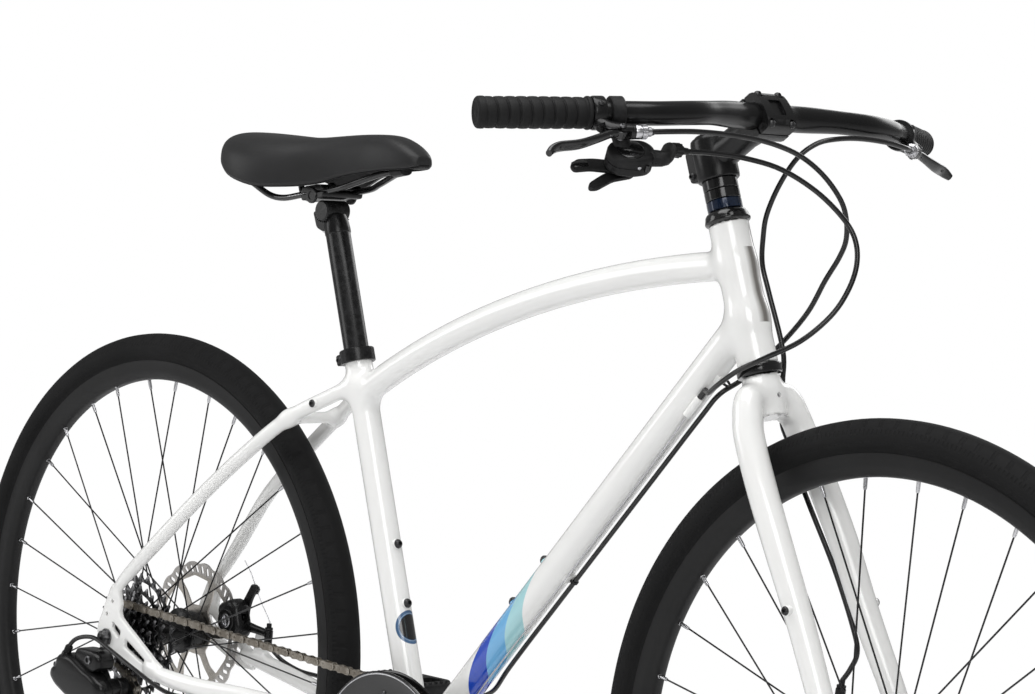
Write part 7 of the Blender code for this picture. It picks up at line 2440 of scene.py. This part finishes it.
guard = make("guard_disc", *turned(BRACKET, Y, guard_profile, 144, looped=True))
hollowed(guard, -0.0568, -0.0543, 0.0605, 0.0735, 42)
dress(guard, "crankset", "guard_plastic", "gloss_plastic", "chain_guard")
line_profile = [
    (-0.0572, 0.0946), (-0.0573, 0.0949), (-0.0573, 0.0955), (-0.0572, 0.0958), (-0.0568, 0.0958), (-0.0568, 0.0946),
]
fitted("guard_line", turned(BRACKET, Y, line_profile, 144, looped=True), "crankset", "bare_alloy", "bright_steel")
bolts = []
for a in RING_BOLTS:
    bolts.append(turned(spot(BRACKET, 0.055, a, -0.054), -Y, [
        (-0.014, 0.0), (-0.014, 0.0048), (-0.0126, 0.005), (-0.0122, 0.0036), (0.001, 0.0036), (0.0012, 0.0052),
        (0.0026, 0.005), (0.0032, 0.0042), (0.0032, 0.0026), (0.0012, 0.0024), (0.0012, 0.0),
    ], 24))
    rivet = spot(BRACKET, 0.076, a, -0.0553)
    bolts.append(turned(rivet, -Y, [
        (-0.006, 0.0), (-0.006, 0.0022), (0.0004, 0.0022), (0.0012, 0.002), (0.002, 0.0012), (0.0021, 0.0),
    ], 16))
fitted("ring_bolts", merged(*bolts), "crankset", "drive_steel", "dark_steel")

# %% Cranks
def crank(word, side, inner, way, extra=()):
    """A forged arm with its boss, its eye and the end of the pedal's axle."""
    way = way.normalized()
    base = BRACKET + Y * side * (inner + 0.0078)
    tip = BRACKET + way * 0.17 + Y * side * (inner + 0.0093)
    line = [base.lerp(tip, t) for t in (-0.02, 0.08, 0.2, 0.4, 0.6, 0.8, 0.92, 1.0)]
    size = [
        (0.0072, 0.015), (0.0074, 0.0142), (0.0072, 0.012), (0.0066, 0.0108), (0.0062, 0.01), (0.0058, 0.0096),
        (0.006, 0.0102), (0.0062, 0.0108),
    ]
    tubes = [
        Tube([
            BRACKET + Y * side * (inner + 0.0002), BRACKET + Y * side * (inner + 0.008),
            BRACKET + Y * side * (inner + 0.0158),
        ], 0.0168, True, True, 36),
        Tube(line, size, sides=28),
        Tube([tip - Y * side * 0.0063, tip, tip + Y * side * 0.0068], 0.0122, True, True, 32),
        *extra,
    ]
    piece = welded(f"crank_{word}_arm", tubes, 0.005, 0.0012)
    dress(piece, "crankset", "black_alloy", "satin_black", f"crank_{word}")
    fittings = [
        turned(BRACKET + Y * side * (inner + 0.015), Y * side, [
            (0, 0.0), (0, 0.0108), (0.0022, 0.0108), (0.003, 0.01), (0.0034, 0.008), (0.0034, 0.0046), (0.0004, 0.0042),
            (0.0004, 0.0),
        ], 32),
        turned(tip - Y * side * 0.0069, -Y * side, [
            (-0.004, 0.0), (-0.004, 0.0066), (0.0008, 0.0066), (0.0012, 0.006), (0.0012, 0.004), (-0.0014, 0.0036),
            (-0.0014, 0.0),
        ], 6),
    ]
    fitted(f"crank_{word}_bolts", merged(*fittings), "crankset", "drive_steel", "bolt_black")
    return tip

# %% Crankset
RIGHT_WAY = heading(-14)
star = [Tube([
    spot(BRACKET, 0.012, a, -0.0522), spot(BRACKET, 0.036, a, -0.0521), spot(BRACKET, 0.06, a, -0.0521),
], [(0.0026, 0.013), (0.0022, 0.009), (0.0019, 0.0078)], sides=20) for a in RING_BOLTS]
star.append(Tube([BRACKET - Y * 0.0465, BRACKET - Y * 0.052, BRACKET - Y * 0.061], 0.0172, True, True, 36))
TIP_RIGHT = crank("right", -1, 0.06, RIGHT_WAY, star)
TIP_LEFT = crank("left", 1, 0.056, -RIGHT_WAY)
cups = []
for side in (-1, 1):
    cup = [
        (0.0335, 0.012), (0.0335, 0.0205), (0.0342, 0.0212), (0.037, 0.0212), (0.0376, 0.0204), (0.038, 0.015),
        (0.038, 0.0098),
    ]
    cups.append(turned(BRACKET, Y * side, cup, 40, looped=True))
fitted("bracket_cups", merged(*cups), "frame", "black_paint", "bolt_black")
spindle = [(-0.064, 0.0), (-0.064, 0.0082), (0.06, 0.0082), (0.06, 0.0)]
fitted("spindle", turned(BRACKET, Y, spindle, 24), "crankset", "drive_steel", "dark_steel")
print("cranks reach", round((TIP_RIGHT - BRACKET).length * 1000), "mm")

# %% [markdown]
# ## Pedals
#
# A platform pedal is one plastic moulding: a hub round the axle, two toothed side rails with windows between them,
# and ribs that carry the shoe. Its windows are cut out of a block, and the teeth are small pegs in two rows.

# %% Pedals
def pedal(word, side, tip):
    """A platform pedal on its axle, out from the crank's eye."""
    near = tip.y + side * 0.009
    at = Matrix.Translation(Vector((tip.x, near, tip.z)))
    block = [
        [at @ Vector((x * wide, side * y, z * tall)) for x, z in rounded_outline([
            (-0.0475, -0.0125), (0.0475, -0.0125), (0.0475, 0.0125), (-0.0475, 0.0125),
        ], 0.007, 5)]
        for y, wide,
        tall in (
            (0.0, 0.62, 0.85), (0.003, 0.74, 0.97), (0.012, 0.97, 1.0), (0.04, 1.0, 1.0), (0.07, 0.97, 1.0),
            (0.081, 0.84, 0.97), (0.084, 0.7, 0.85),
        )
    ]
    body = make(f"pedal_{word}_body", *skin(block))
    gaps = []
    for x in (-0.0268, 0.0268):
        for low, high in ((0.011, 0.04), (0.044, 0.073)):
            edge = rounded_outline([
                (x - 0.0115, low), (x + 0.0115, low), (x + 0.0115, high), (x - 0.0115, high),
            ], 0.004)
            gaps.append(skin([[at @ Vector((a, side * b, z)) for a, b in edge] for z in (-0.02, 0.02)]))
    cut_by(body, merged(*gaps))
    bevelled(body, 0.0008, 2, 40)
    dress(body, f"pedal_{word}", "guard_plastic", "matt_plastic", f"pedal_{word}")
    pegs = []
    for x in (-0.0432, 0.0432):
        for k in range(8):
            for up in (-1, 1):
                pegs.append(
                    turned(at @ Vector((x, side * (0.012 + 0.0086 * k), up * 0.0118)), Z * up, [
                        (0, 0.0024), (0.0014, 0.0019), (0.0017, 0.0012), (0.0017, 0),
                    ], 10)
                )
    fitted(f"pedal_{word}_pegs", merged(*pegs), f"pedal_{word}", "guard_plastic", "matt_plastic")
    out = Y * side
    axle = [
        (-0.01, 0.0), (-0.01, 0.0044), (0.0022, 0.0044), (0.0022, 0.0066), (0.0062, 0.0066), (0.0062, 0.0044),
        (0.096, 0.0044), (0.096, 0.0),
    ]
    fitted(f"pedal_{word}_axle", turned(tip + out * 0.0002, out, axle, 24), "crankset", "drive_steel", "dark_steel")
    cap = [(-0.0006, 0.0048), (-0.0006, 0.0082), (0.0012, 0.0084), (0.003, 0.007), (0.0036, 0.0)]
    fitted(
        f"pedal_{word}_cap", turned(Vector((tip.x, near + side * 0.084, tip.z)), out, cap, 28), f"pedal_{word}",
        "guard_plastic", "gloss_plastic",
    )

# %% Both pedals
pedal("right", -1, TIP_RIGHT)
pedal("left", 1, TIP_LEFT)
print("pedals on")

# %% [markdown]
# ## Rear mechanism
#
# Four links of a parallelogram carry the sprung cage below the cassette. The knuckle bolts to the frame's hanger; a
# long outer link with soft edges runs down to a second knuckle, and a barrel at the back takes the cable. Each link
# is a side view given a thickness and rounded; the cage is two pressed plates with cut-outs and a pulley at each end.

# %% Mechanism body
def pillow(name, outline, layers, width=0.0012, angle=30):
    """A plate whose outline shrinks towards its faces, from (y, scale) layers about its middle."""
    mid_x = sum(p[0] for p in outline) / len(outline)
    mid_z = sum(p[1] for p in outline) / len(outline)
    rings = [[Vector((mid_x + (x - mid_x) * s, y, mid_z + (z - mid_z) * s)) for x, z in outline] for y, s in layers]
    return bevelled(make(name, *skin(rings)), width, 3, angle)

# %% Links of the mechanism
KNUCKLE = Vector((-0.5434, 0, 0.3225))
BODY_SIDE = [
    (-0.6003, 0.3217), (-0.583, 0.3253), (-0.5688, 0.3222), (-0.5438, 0.3105), (-0.5298, 0.3065), (-0.5138, 0.2977),
    (-0.5112, 0.2858), (-0.53, 0.2775), (-0.5479, 0.2728), (-0.5794, 0.275), (-0.6048, 0.2866), (-0.6143, 0.2956),
    (-0.6131, 0.3031), (-0.604, 0.3101),
]
link = pillow("mech_outer_link", rounded_outline(BODY_SIDE, 0.006, 4), [
    (-0.1036, 0.74), (-0.103, 0.84), (-0.1012, 0.93), (-0.098, 0.985), (-0.0945, 1.0), (-0.085, 1.0), (-0.082, 0.96),
], 0.0008, 40)
dress(link, "frame", "control_plastic", "deep_black", "derailleur_body")
block = [
    (-0.5735, 0.3235), (-0.57, 0.333), (-0.556, 0.334), (-0.535, 0.3332), (-0.5256, 0.327), (-0.5256, 0.314),
    (-0.535, 0.3085), (-0.556, 0.3078), (-0.569, 0.312),
]
knuckle = pillow("mech_knuckle", rounded_outline(block, 0.007, 4), [
    (-0.0972, 0.8), (-0.0965, 0.9), (-0.0945, 0.97), (-0.092, 1.0), (-0.075, 1.0), (-0.0738, 0.96),
], 0.0006, 40)
dress(knuckle, "frame", "control_plastic", "deep_black")
inner_side = [
    (-0.55, 0.318), (-0.556, 0.308), (-0.548, 0.29), (-0.535, 0.28), (-0.525, 0.286), (-0.533, 0.298), (-0.541, 0.31),
]
inner_link = pillow("mech_inner_link", rounded_outline(inner_side, 0.004, 4), [
    (-0.0766, 0.95), (-0.0755, 1.0), (-0.0712, 1.0), (-0.07, 0.93),
])
dress(inner_link, "frame", "control_plastic", "matt_plastic")
parts = [
    turned(KNUCKLE, -Y, [
        (0.0738, 0.0), (0.0738, 0.0098), (0.075, 0.0106), (0.08, 0.0108), (0.0812, 0.0101), (0.0822, 0.0108),
        (0.09, 0.0108), (0.0918, 0.01), (0.0926, 0.0078), (0.0926, 0.0056), (0.0915, 0.0052), (0.0915, 0.0),
    ], 40),
    turned(CAGE_PIVOT, -Y, [
        (0.0562, 0.0), (0.0562, 0.01), (0.0572, 0.0112), (0.066, 0.0114), (0.0672, 0.0106), (0.0684, 0.0113),
        (0.088, 0.0113), (0.0908, 0.0104), (0.0922, 0.0082), (0.0925, 0.0048), (0.0914, 0.0044), (0.0914, 0.0),
    ], 40),
    turned((-0.5885, -0.0972, 0.319), (0.0048, 0.0012, 0.0112), [
        (0, 0.0), (0, 0.0058), (0.006, 0.0056), (0.0074, 0.0048), (0.0074, 0.0),
    ], 24),
]
fitted("mech_knuckles", merged(*parts), "frame", "control_plastic", "deep_black")
barrel = [(0.0, 0.0), (0.0, 0.003)]
for k in range(5):
    barrel += [(0.0004 + 0.0014 * k, 0.0046), (0.0011 + 0.0014 * k, 0.0046), (0.0014 + 0.0014 * k, 0.0041)]
barrel += [(0.008, 0.004), (0.0086, 0.003), (0.0086, 0.0)]
fitted(
    "mech_barrel", turned((-0.5856, -0.0965, 0.3258), (0.0048, 0.0012, 0.0112), barrel, 20), "frame", "control_plastic",
    "matt_plastic",
)
stop_plate = pillow("mech_stop", rounded_outline([
    (-0.556, 0.33), (-0.554, 0.317), (-0.544, 0.311), (-0.534, 0.317), (-0.533, 0.328), (-0.543, 0.334), (-0.55, 0.336),
], 0.003), [(-0.0765, 1.0), (-0.0738, 1.0)], 0.0005)
dress(stop_plate, "frame", "control_plastic", "bolt_black")
screws = [
    turned((-0.5565, -0.0752, 0.325), (-0.5, 0, 0.85), [
        (-0.006, 0.0015), (0.0, 0.0015), (0.0, 0.0027), (0.0016, 0.0027), (0.002, 0.0022), (0.002, 0),
    ], 16),
    turned((-0.5605, -0.0815, 0.32), (-0.85, 0, 0.5), [
        (-0.004, 0.0), (-0.004, 0.0024), (0.0012, 0.0024), (0.0016, 0.0018), (0.0008, 0.0012), (0.0008, 0),
    ], 14),
    turned((-0.5622, -0.0865, 0.314), (-0.95, 0, 0.3), [
        (-0.004, 0.0), (-0.004, 0.0024), (0.0012, 0.0024), (0.0016, 0.0018), (0.0008, 0.0012), (0.0008, 0),
    ], 14),
    turned(KNUCKLE - Y * 0.0968, -Y, [
        (0, 0), (0, 0.005), (0.002, 0.005), (0.0026, 0.0042), (0.0026, 0.0028), (0.0008, 0.0025), (0.0008, 0),
    ], 24),
    turned(CAGE_PIVOT - Y * 0.0912, -Y, [
        (0, 0), (0, 0.0042), (0.0014, 0.0042), (0.0019, 0.0034), (0.0019, 0.0022), (0.0006, 0.002), (0.0006, 0),
    ], 20),
    turned((-0.5995, -0.1018, 0.3095), -Y, [(0, 0), (0, 0.0036), (0.001, 0.0036), (0.0014, 0.0028), (0.0014, 0)], 20),
    turned((-0.5285, -0.1018, 0.2925), -Y, [(0, 0), (0, 0.003), (0.0008, 0.003), (0.0011, 0.0023), (0.0011, 0)], 20),
]
fitted("mech_screws", merged(*screws), "frame", "control_plastic", "dark_steel")

# %% Cage and pulleys
def cage_outline(grown=0.0):
    """Round both pulleys, slimmer between them."""
    way = (TENSION - GUIDE).normalized()
    side = Vector((-way.z, 0, way.x))
    out = []
    for centre, start, r in ((GUIDE, 90, 0.0125), (TENSION, -90, 0.0115)):
        for k in range(13):
            a = math.radians(start + 15 * k)
            p = centre + side * ((r + grown) * math.sin(a)) + way * ((r + grown) * math.cos(a))
            out.append((p.x, p.z))
        lean = -1 if start > 0 else 1
        p = GUIDE.lerp(TENSION, 0.5) + side * lean * (0.0088 + grown)
        out.append((p.x, p.z))
    return out


for word, low, high in (("outer", -0.0555, -0.0538), ("inner", -0.0444, -0.0429)):
    piece = make(f"cage_{word}", *plated(cage_outline(), low, high))
    way, at = (TENSION - GUIDE).normalized(), GUIDE.lerp(TENSION, 0.5)
    side = Vector((-way.z, 0, way.x))
    hole = [at + way * (0.0165 * a) + side * (0.0048 * b) for a, b in ((-1, -1), (1, -1), (1.0, 1), (-1, 1))]
    shapes = [plated(rounded_outline([(p.x, p.z) for p in hole], 0.004), low - 0.003, high + 0.003)]
    for centre in (GUIDE, TENSION):
        for k in range(3):
            a = 0.6 + TAU * k / 3
            shapes.append(plated(ring_of(around(centre, 0.0076, a), 0.0019, 12), low - 0.003, high + 0.003))
    cut_by(piece, *shapes)
    bevelled(piece, 0.0004, 2, 40)
    dress(piece, "derailleur_cage", "control_plastic", "satin_black", *(["derailleur_cage"] if word == "outer" else []))
bolts = []
for centre in (GUIDE, TENSION):
    bolts.append(turned(centre - Y * 0.0425, -Y, [
        (0, 0), (0, 0.0034), (0.0018, 0.0038), (0.002, 0.0026), (0.013, 0.0026), (0.0131, 0.004), (0.0146, 0.0038),
        (0.015, 0.0028), (0.0142, 0.0016), (0.0142, 0),
    ], 20))
pin_place = TENSION + Vector((-0.008, 0, 0.0165))
bolts.append(turned(pin_place - Y * 0.054, -Y, [
    (0, 0), (0, 0.0024), (0.004, 0.0024), (0.0044, 0.0016), (0.0044, 0),
], 16))
fitted("cage_bolts", merged(*bolts), "derailleur_cage", "control_plastic", "dark_steel")
for word, centre in (("guide", GUIDE), ("tension", TENSION)):
    piece = make(
        f"{word}_wheel_teeth", *toothed(centre, 11, CHAIN_Y, 0.001, 0.0058, meshing(centre, 11), 0.8), sharp=30,
    )
    cut_by(
        piece,
        *[
            plated(ring_of(around(centre, 0.0112, TAU * k / 5), 0.0024, 14), CHAIN_Y - 0.004, CHAIN_Y + 0.004)
            for k in range(5)
        ],
    )
    dress(piece, f"{word}_pulley", "guard_plastic", "matt_plastic", f"{word}_pulley")
    hub = [(0.0449, 0.0027), (0.0449, 0.0056), (0.0455, 0.0062), (0.0525, 0.0062), (0.0531, 0.0056), (0.0531, 0.0027)]
    fitted(
        f"{word}_wheel_hub", turned(centre, -Y, hub, 28, looped=True), f"{word}_pulley", "guard_plastic",
        "matt_plastic",
    )
print("mechanism on")

# %% [markdown]
# ## Disc brakes
#
# Each caliper is a cast block over the disc's edge with a slot through it. A spring-loaded arm turns on its outer
# side when the cable pulls it towards the barrel adjuster, and a coin-slotted disc on the inner side sets the pad.
# The block's side view is rounded and swollen between its faces, and the slot is cut with the disc's own turned form.

# %% Calipers
def caliper(word, body, wheel, rotor_y, spot_at, tangent, inner, outer, stop, brace, tip, low, high):
    out = (spot_at - wheel).normalized()
    tangent = tangent.normalized()
    corners = rounded_outline([
        (-0.022, -0.015), (0.022, -0.015), (0.024, 0.011), (0.015, 0.02), (-0.015, 0.02), (-0.024, 0.011),
    ], 0.008, 5)
    layers = (
        (inner, 0.72), (inner + 0.0012, 0.86), (inner + 0.0045, 0.97), (inner + 0.008, 1.0), (outer - 0.0045, 1.0),
        (outer - 0.0014, 0.95), (outer, 0.86),
    )
    shell = make(
        f"{word}_caliper_block",
        *skin([[spot_at + tangent * (p * s) + out * (q * s) + Y * y for p, q in corners] for y, s in layers]),
    )
    slot = rod(wheel + Y * (rotor_y - 0.0023), Y, 0.0838, 0.0046, 96)
    groove = rod(spot_at + out * 0.0155 + Y * (rotor_y - 0.005), Y, 0.006, 0.01, 24)
    cut_by(shell, slot, groove)
    bevelled(shell, 0.0009, 3, 35)
    dress(shell, body, "black_alloy", "satin_black", f"{word}_caliper_body")
    fixed = [
        turned(spot_at + Y * inner, -Y, [
            (-0.006, 0.0), (-0.006, 0.0142), (0.0008, 0.014), (0.002, 0.0128), (0.002, 0.0088), (0.0006, 0.0084),
            (0.0006, 0),
        ], 40),
        turned(spot_at + Y * outer, Y, [
            (-0.006, 0.0), (-0.006, 0.013), (-0.0006, 0.013), (0.0002, 0.0122), (0.0002, 0.0),
        ], 40),
        rod(spot_at + Y * (outer - 0.002), Y, 0.004, high - outer + 0.003, 20),
    ]
    along = (brace[1] - brace[0]).normalized()
    fixed.append(drawn([
        brace[0] - along * 0.006, brace[0], brace[0].lerp(brace[1], 0.5), brace[1] + along * 0.003,
    ], [(0.004, 0.0062), (0.004, 0.0062), (0.0034, 0.005), (0.0034, 0.0044)], 20))
    axis = (stop[1] - stop[0]).normalized()
    fixed.append(turned(stop[0] + axis * 0.006, axis, [
        (0, 0), (0, 0.0044), (0.0006, 0.005), (0.0086, 0.005), (0.0092, 0.0044), (0.0092, 0),
    ], 28))
    fittings = make(f"{word}_caliper_bosses", *merged(*fixed))
    bevelled(fittings, 0.0004, 2, 40)
    dress(fittings, body, "black_alloy", "satin_black")
    knob = [
        (-0.002, 0.0), (-0.002, 0.0082), (0.0014, 0.0082), (0.002, 0.0074), (0.002, 0.0052), (0.001, 0.0048),
        (0.001, 0.0),
    ]
    disc = cut_by(
        make(f"{word}_pad_knob", *turned(spot_at + Y * inner, -Y, knob, 36)),
        boxed(spot_at + Y * (inner - 0.0022), (0.012, 0.0022, 0.003), tangent, out, Y),
    )
    dress(disc, body, "bare_alloy", "bright_steel")
    barrel = [(0.0, 0.0), (0.0, 0.003), (0.001, 0.0031)]
    for k in range(4):
        barrel += [(0.0012 + 0.0016 * k, 0.0047), (0.002 + 0.0016 * k, 0.0047), (0.0024 + 0.0016 * k, 0.0041)]
    adjuster = turned(stop[0] - axis * 0.0012, axis, barrel + [(0.0078, 0.003), (0.024, 0.0029), (0.024, 0.0)], 18)
    ring = rod(stop[0] + axis * 0.0158, axis, 0.0046, 0.0022, 18)
    fitted(f"{word}_barrel", merged(adjuster, ring), body, "control_plastic", "matt_plastic")
    bolts = []
    for p in (-0.019, 0.019):
        place = spot_at + tangent * p * 0.92 - out * 0.006 + Y * outer
        bolts.append(turned(place, Y, [
            (-0.004, 0), (-0.004, 0.0034), (0.001, 0.0034), (0.0012, 0.0044), (0.003, 0.0042), (0.0036, 0.0034),
            (0.0036, 0.002), (0.0012, 0.0018), (0.0012, 0),
        ], 20))
    fitted(f"{word}_caliper_bolts", merged(*bolts), body, "bare_alloy", "dark_steel")
    # The arm, its bolt, its clamp and the spring under it.
    way = (tip - spot_at).normalized()
    side = Vector((-way.z, 0, way.x))
    long = (tip - spot_at).length
    hollow = 0.0022 if word == "rear" else -0.0022
    outline = [
        (-0.0085, -0.0075), (-0.0085, 0.0075), (0.003, 0.0105), (0.015, 0.0072 + hollow),
        (long * 0.72, 0.0052 + hollow), (long + 0.0058, 0.0055), (long + 0.0058, -0.0055),
        (long * 0.72, -0.0052 + hollow), (0.015, -0.0072 + hollow), (0.003, -0.0105),
    ]
    points = [spot_at + way * p + side * q for p, q in outline]
    arm = make(f"{word}_arm_plate", *plated(rounded_outline([(p.x, p.z) for p in points], 0.005, 5), low, high))
    cut_by(arm, rod(spot_at + Y * (low - 0.004), Y, 0.0042, 0.03, 24))
    bevelled(arm, 0.0008, 3, 35)
    dress(arm, f"{word}_caliper_arm", "black_alloy", "satin_black", f"{word}_caliper_arm")
    clamp = [
        turned(tip + Y * (high - 0.0005), Y, [
            (0, 0), (0, 0.0052), (0.0012, 0.0052), (0.0012, 0.0044), (0.004, 0.0042), (0.0044, 0.0034), (0.0044, 0),
        ], 6),
        rod(tip + Y * (high - 0.0002), Y, 0.0058, 0.001, 28),
    ]
    fitted(f"{word}_clamp_bolt", merged(*clamp), f"{word}_caliper_arm", "bare_alloy", "dark_steel")
    fitted(f"{word}_arm_bolt", turned(spot_at + Y * (high + 0.0002), Y, [
        (0, 0.0), (0, 0.008), (0.001, 0.008), (0.0012, 0.0062), (0.0036, 0.0058), (0.0042, 0.0046), (0.0042, 0.0028),
        (0.0016, 0.0026), (0.0016, 0.0),
    ], 28), body, "bare_alloy", "dark_steel")
    coil = []
    for k in range(72):
        a = TAU * k / 24
        coil.append(
            spot_at + tangent * (0.0112 * math.cos(a)) + out * (0.0112 * math.sin(a)) + Y * (
                outer - 0.003 + 0.0011 * k / 24
            )
        )
    fitted(f"{word}_arm_spring", drawn(coil, 0.0006, 8, hint=Y), body, "bare_alloy", "dark_steel")
    grip = tip + Y * (high + 0.0014)
    line = [stop[1] - axis * 0.004, stop[1] + axis * 0.002, stop[1].lerp(grip, 0.5), grip]
    wire = make(f"{word}_brake_wire", *drawn(curve_through(line, 6), 0.0008, 8))
    wire.data.materials.append(SHADES["bright_steel"])
    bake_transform(wire)
    return grip

# %% Both calipers
REAR_TIP, FRONT_TIP = Vector((-0.453, 0, 0.406)), Vector((0.437, 0, 0.383))
grip = caliper(
    "rear", "frame", REAR_AXLE, REAR_DISC_Y, Vector((-0.472, 0, 0.369)), Vector((-0.285, 0, 0.9585)), 0.0435, 0.0655,
    (REAR_STOP, REAR_STOP_TOP), (Vector((-0.455, 0.06, 0.364)), Vector((-0.418, 0.062, 0.36))), REAR_TIP, 0.0659, 0.07,
)
tail = [
    grip, grip + Vector((-0.006, 0.0005, 0.009)), grip + Vector((-0.015, 0.002, 0.019)),
    grip + Vector((-0.027, 0.003, 0.03)),
]
fitted("rear_wire_tail", drawn(curve_through(tail, 5), 0.0008, 8), "rear_caliper_arm", "bare_alloy", "bright_steel")
grip = caliper(
    "front", "steering", FRONT_AXLE, FRONT_DISC_Y, Vector((0.475, 0, 0.388)), Vector((0.5, 0, 0.866)), 0.024, 0.0458,
    (FRONT_STOP, FRONT_STOP_TOP), (Vector((0.462, 0.041, 0.404)), Vector((0.4448, 0.0438, 0.423))), FRONT_TIP, 0.0462,
    0.0498,
)
tail = [grip, grip + Vector((-0.004, 0.001, -0.011)), grip + Vector((-0.005, 0.003, -0.026))]
fitted("front_wire_tail", drawn(curve_through(tail, 5), 0.0008, 8), "front_caliper_arm", "bare_alloy", "bright_steel")
print("brakes on")
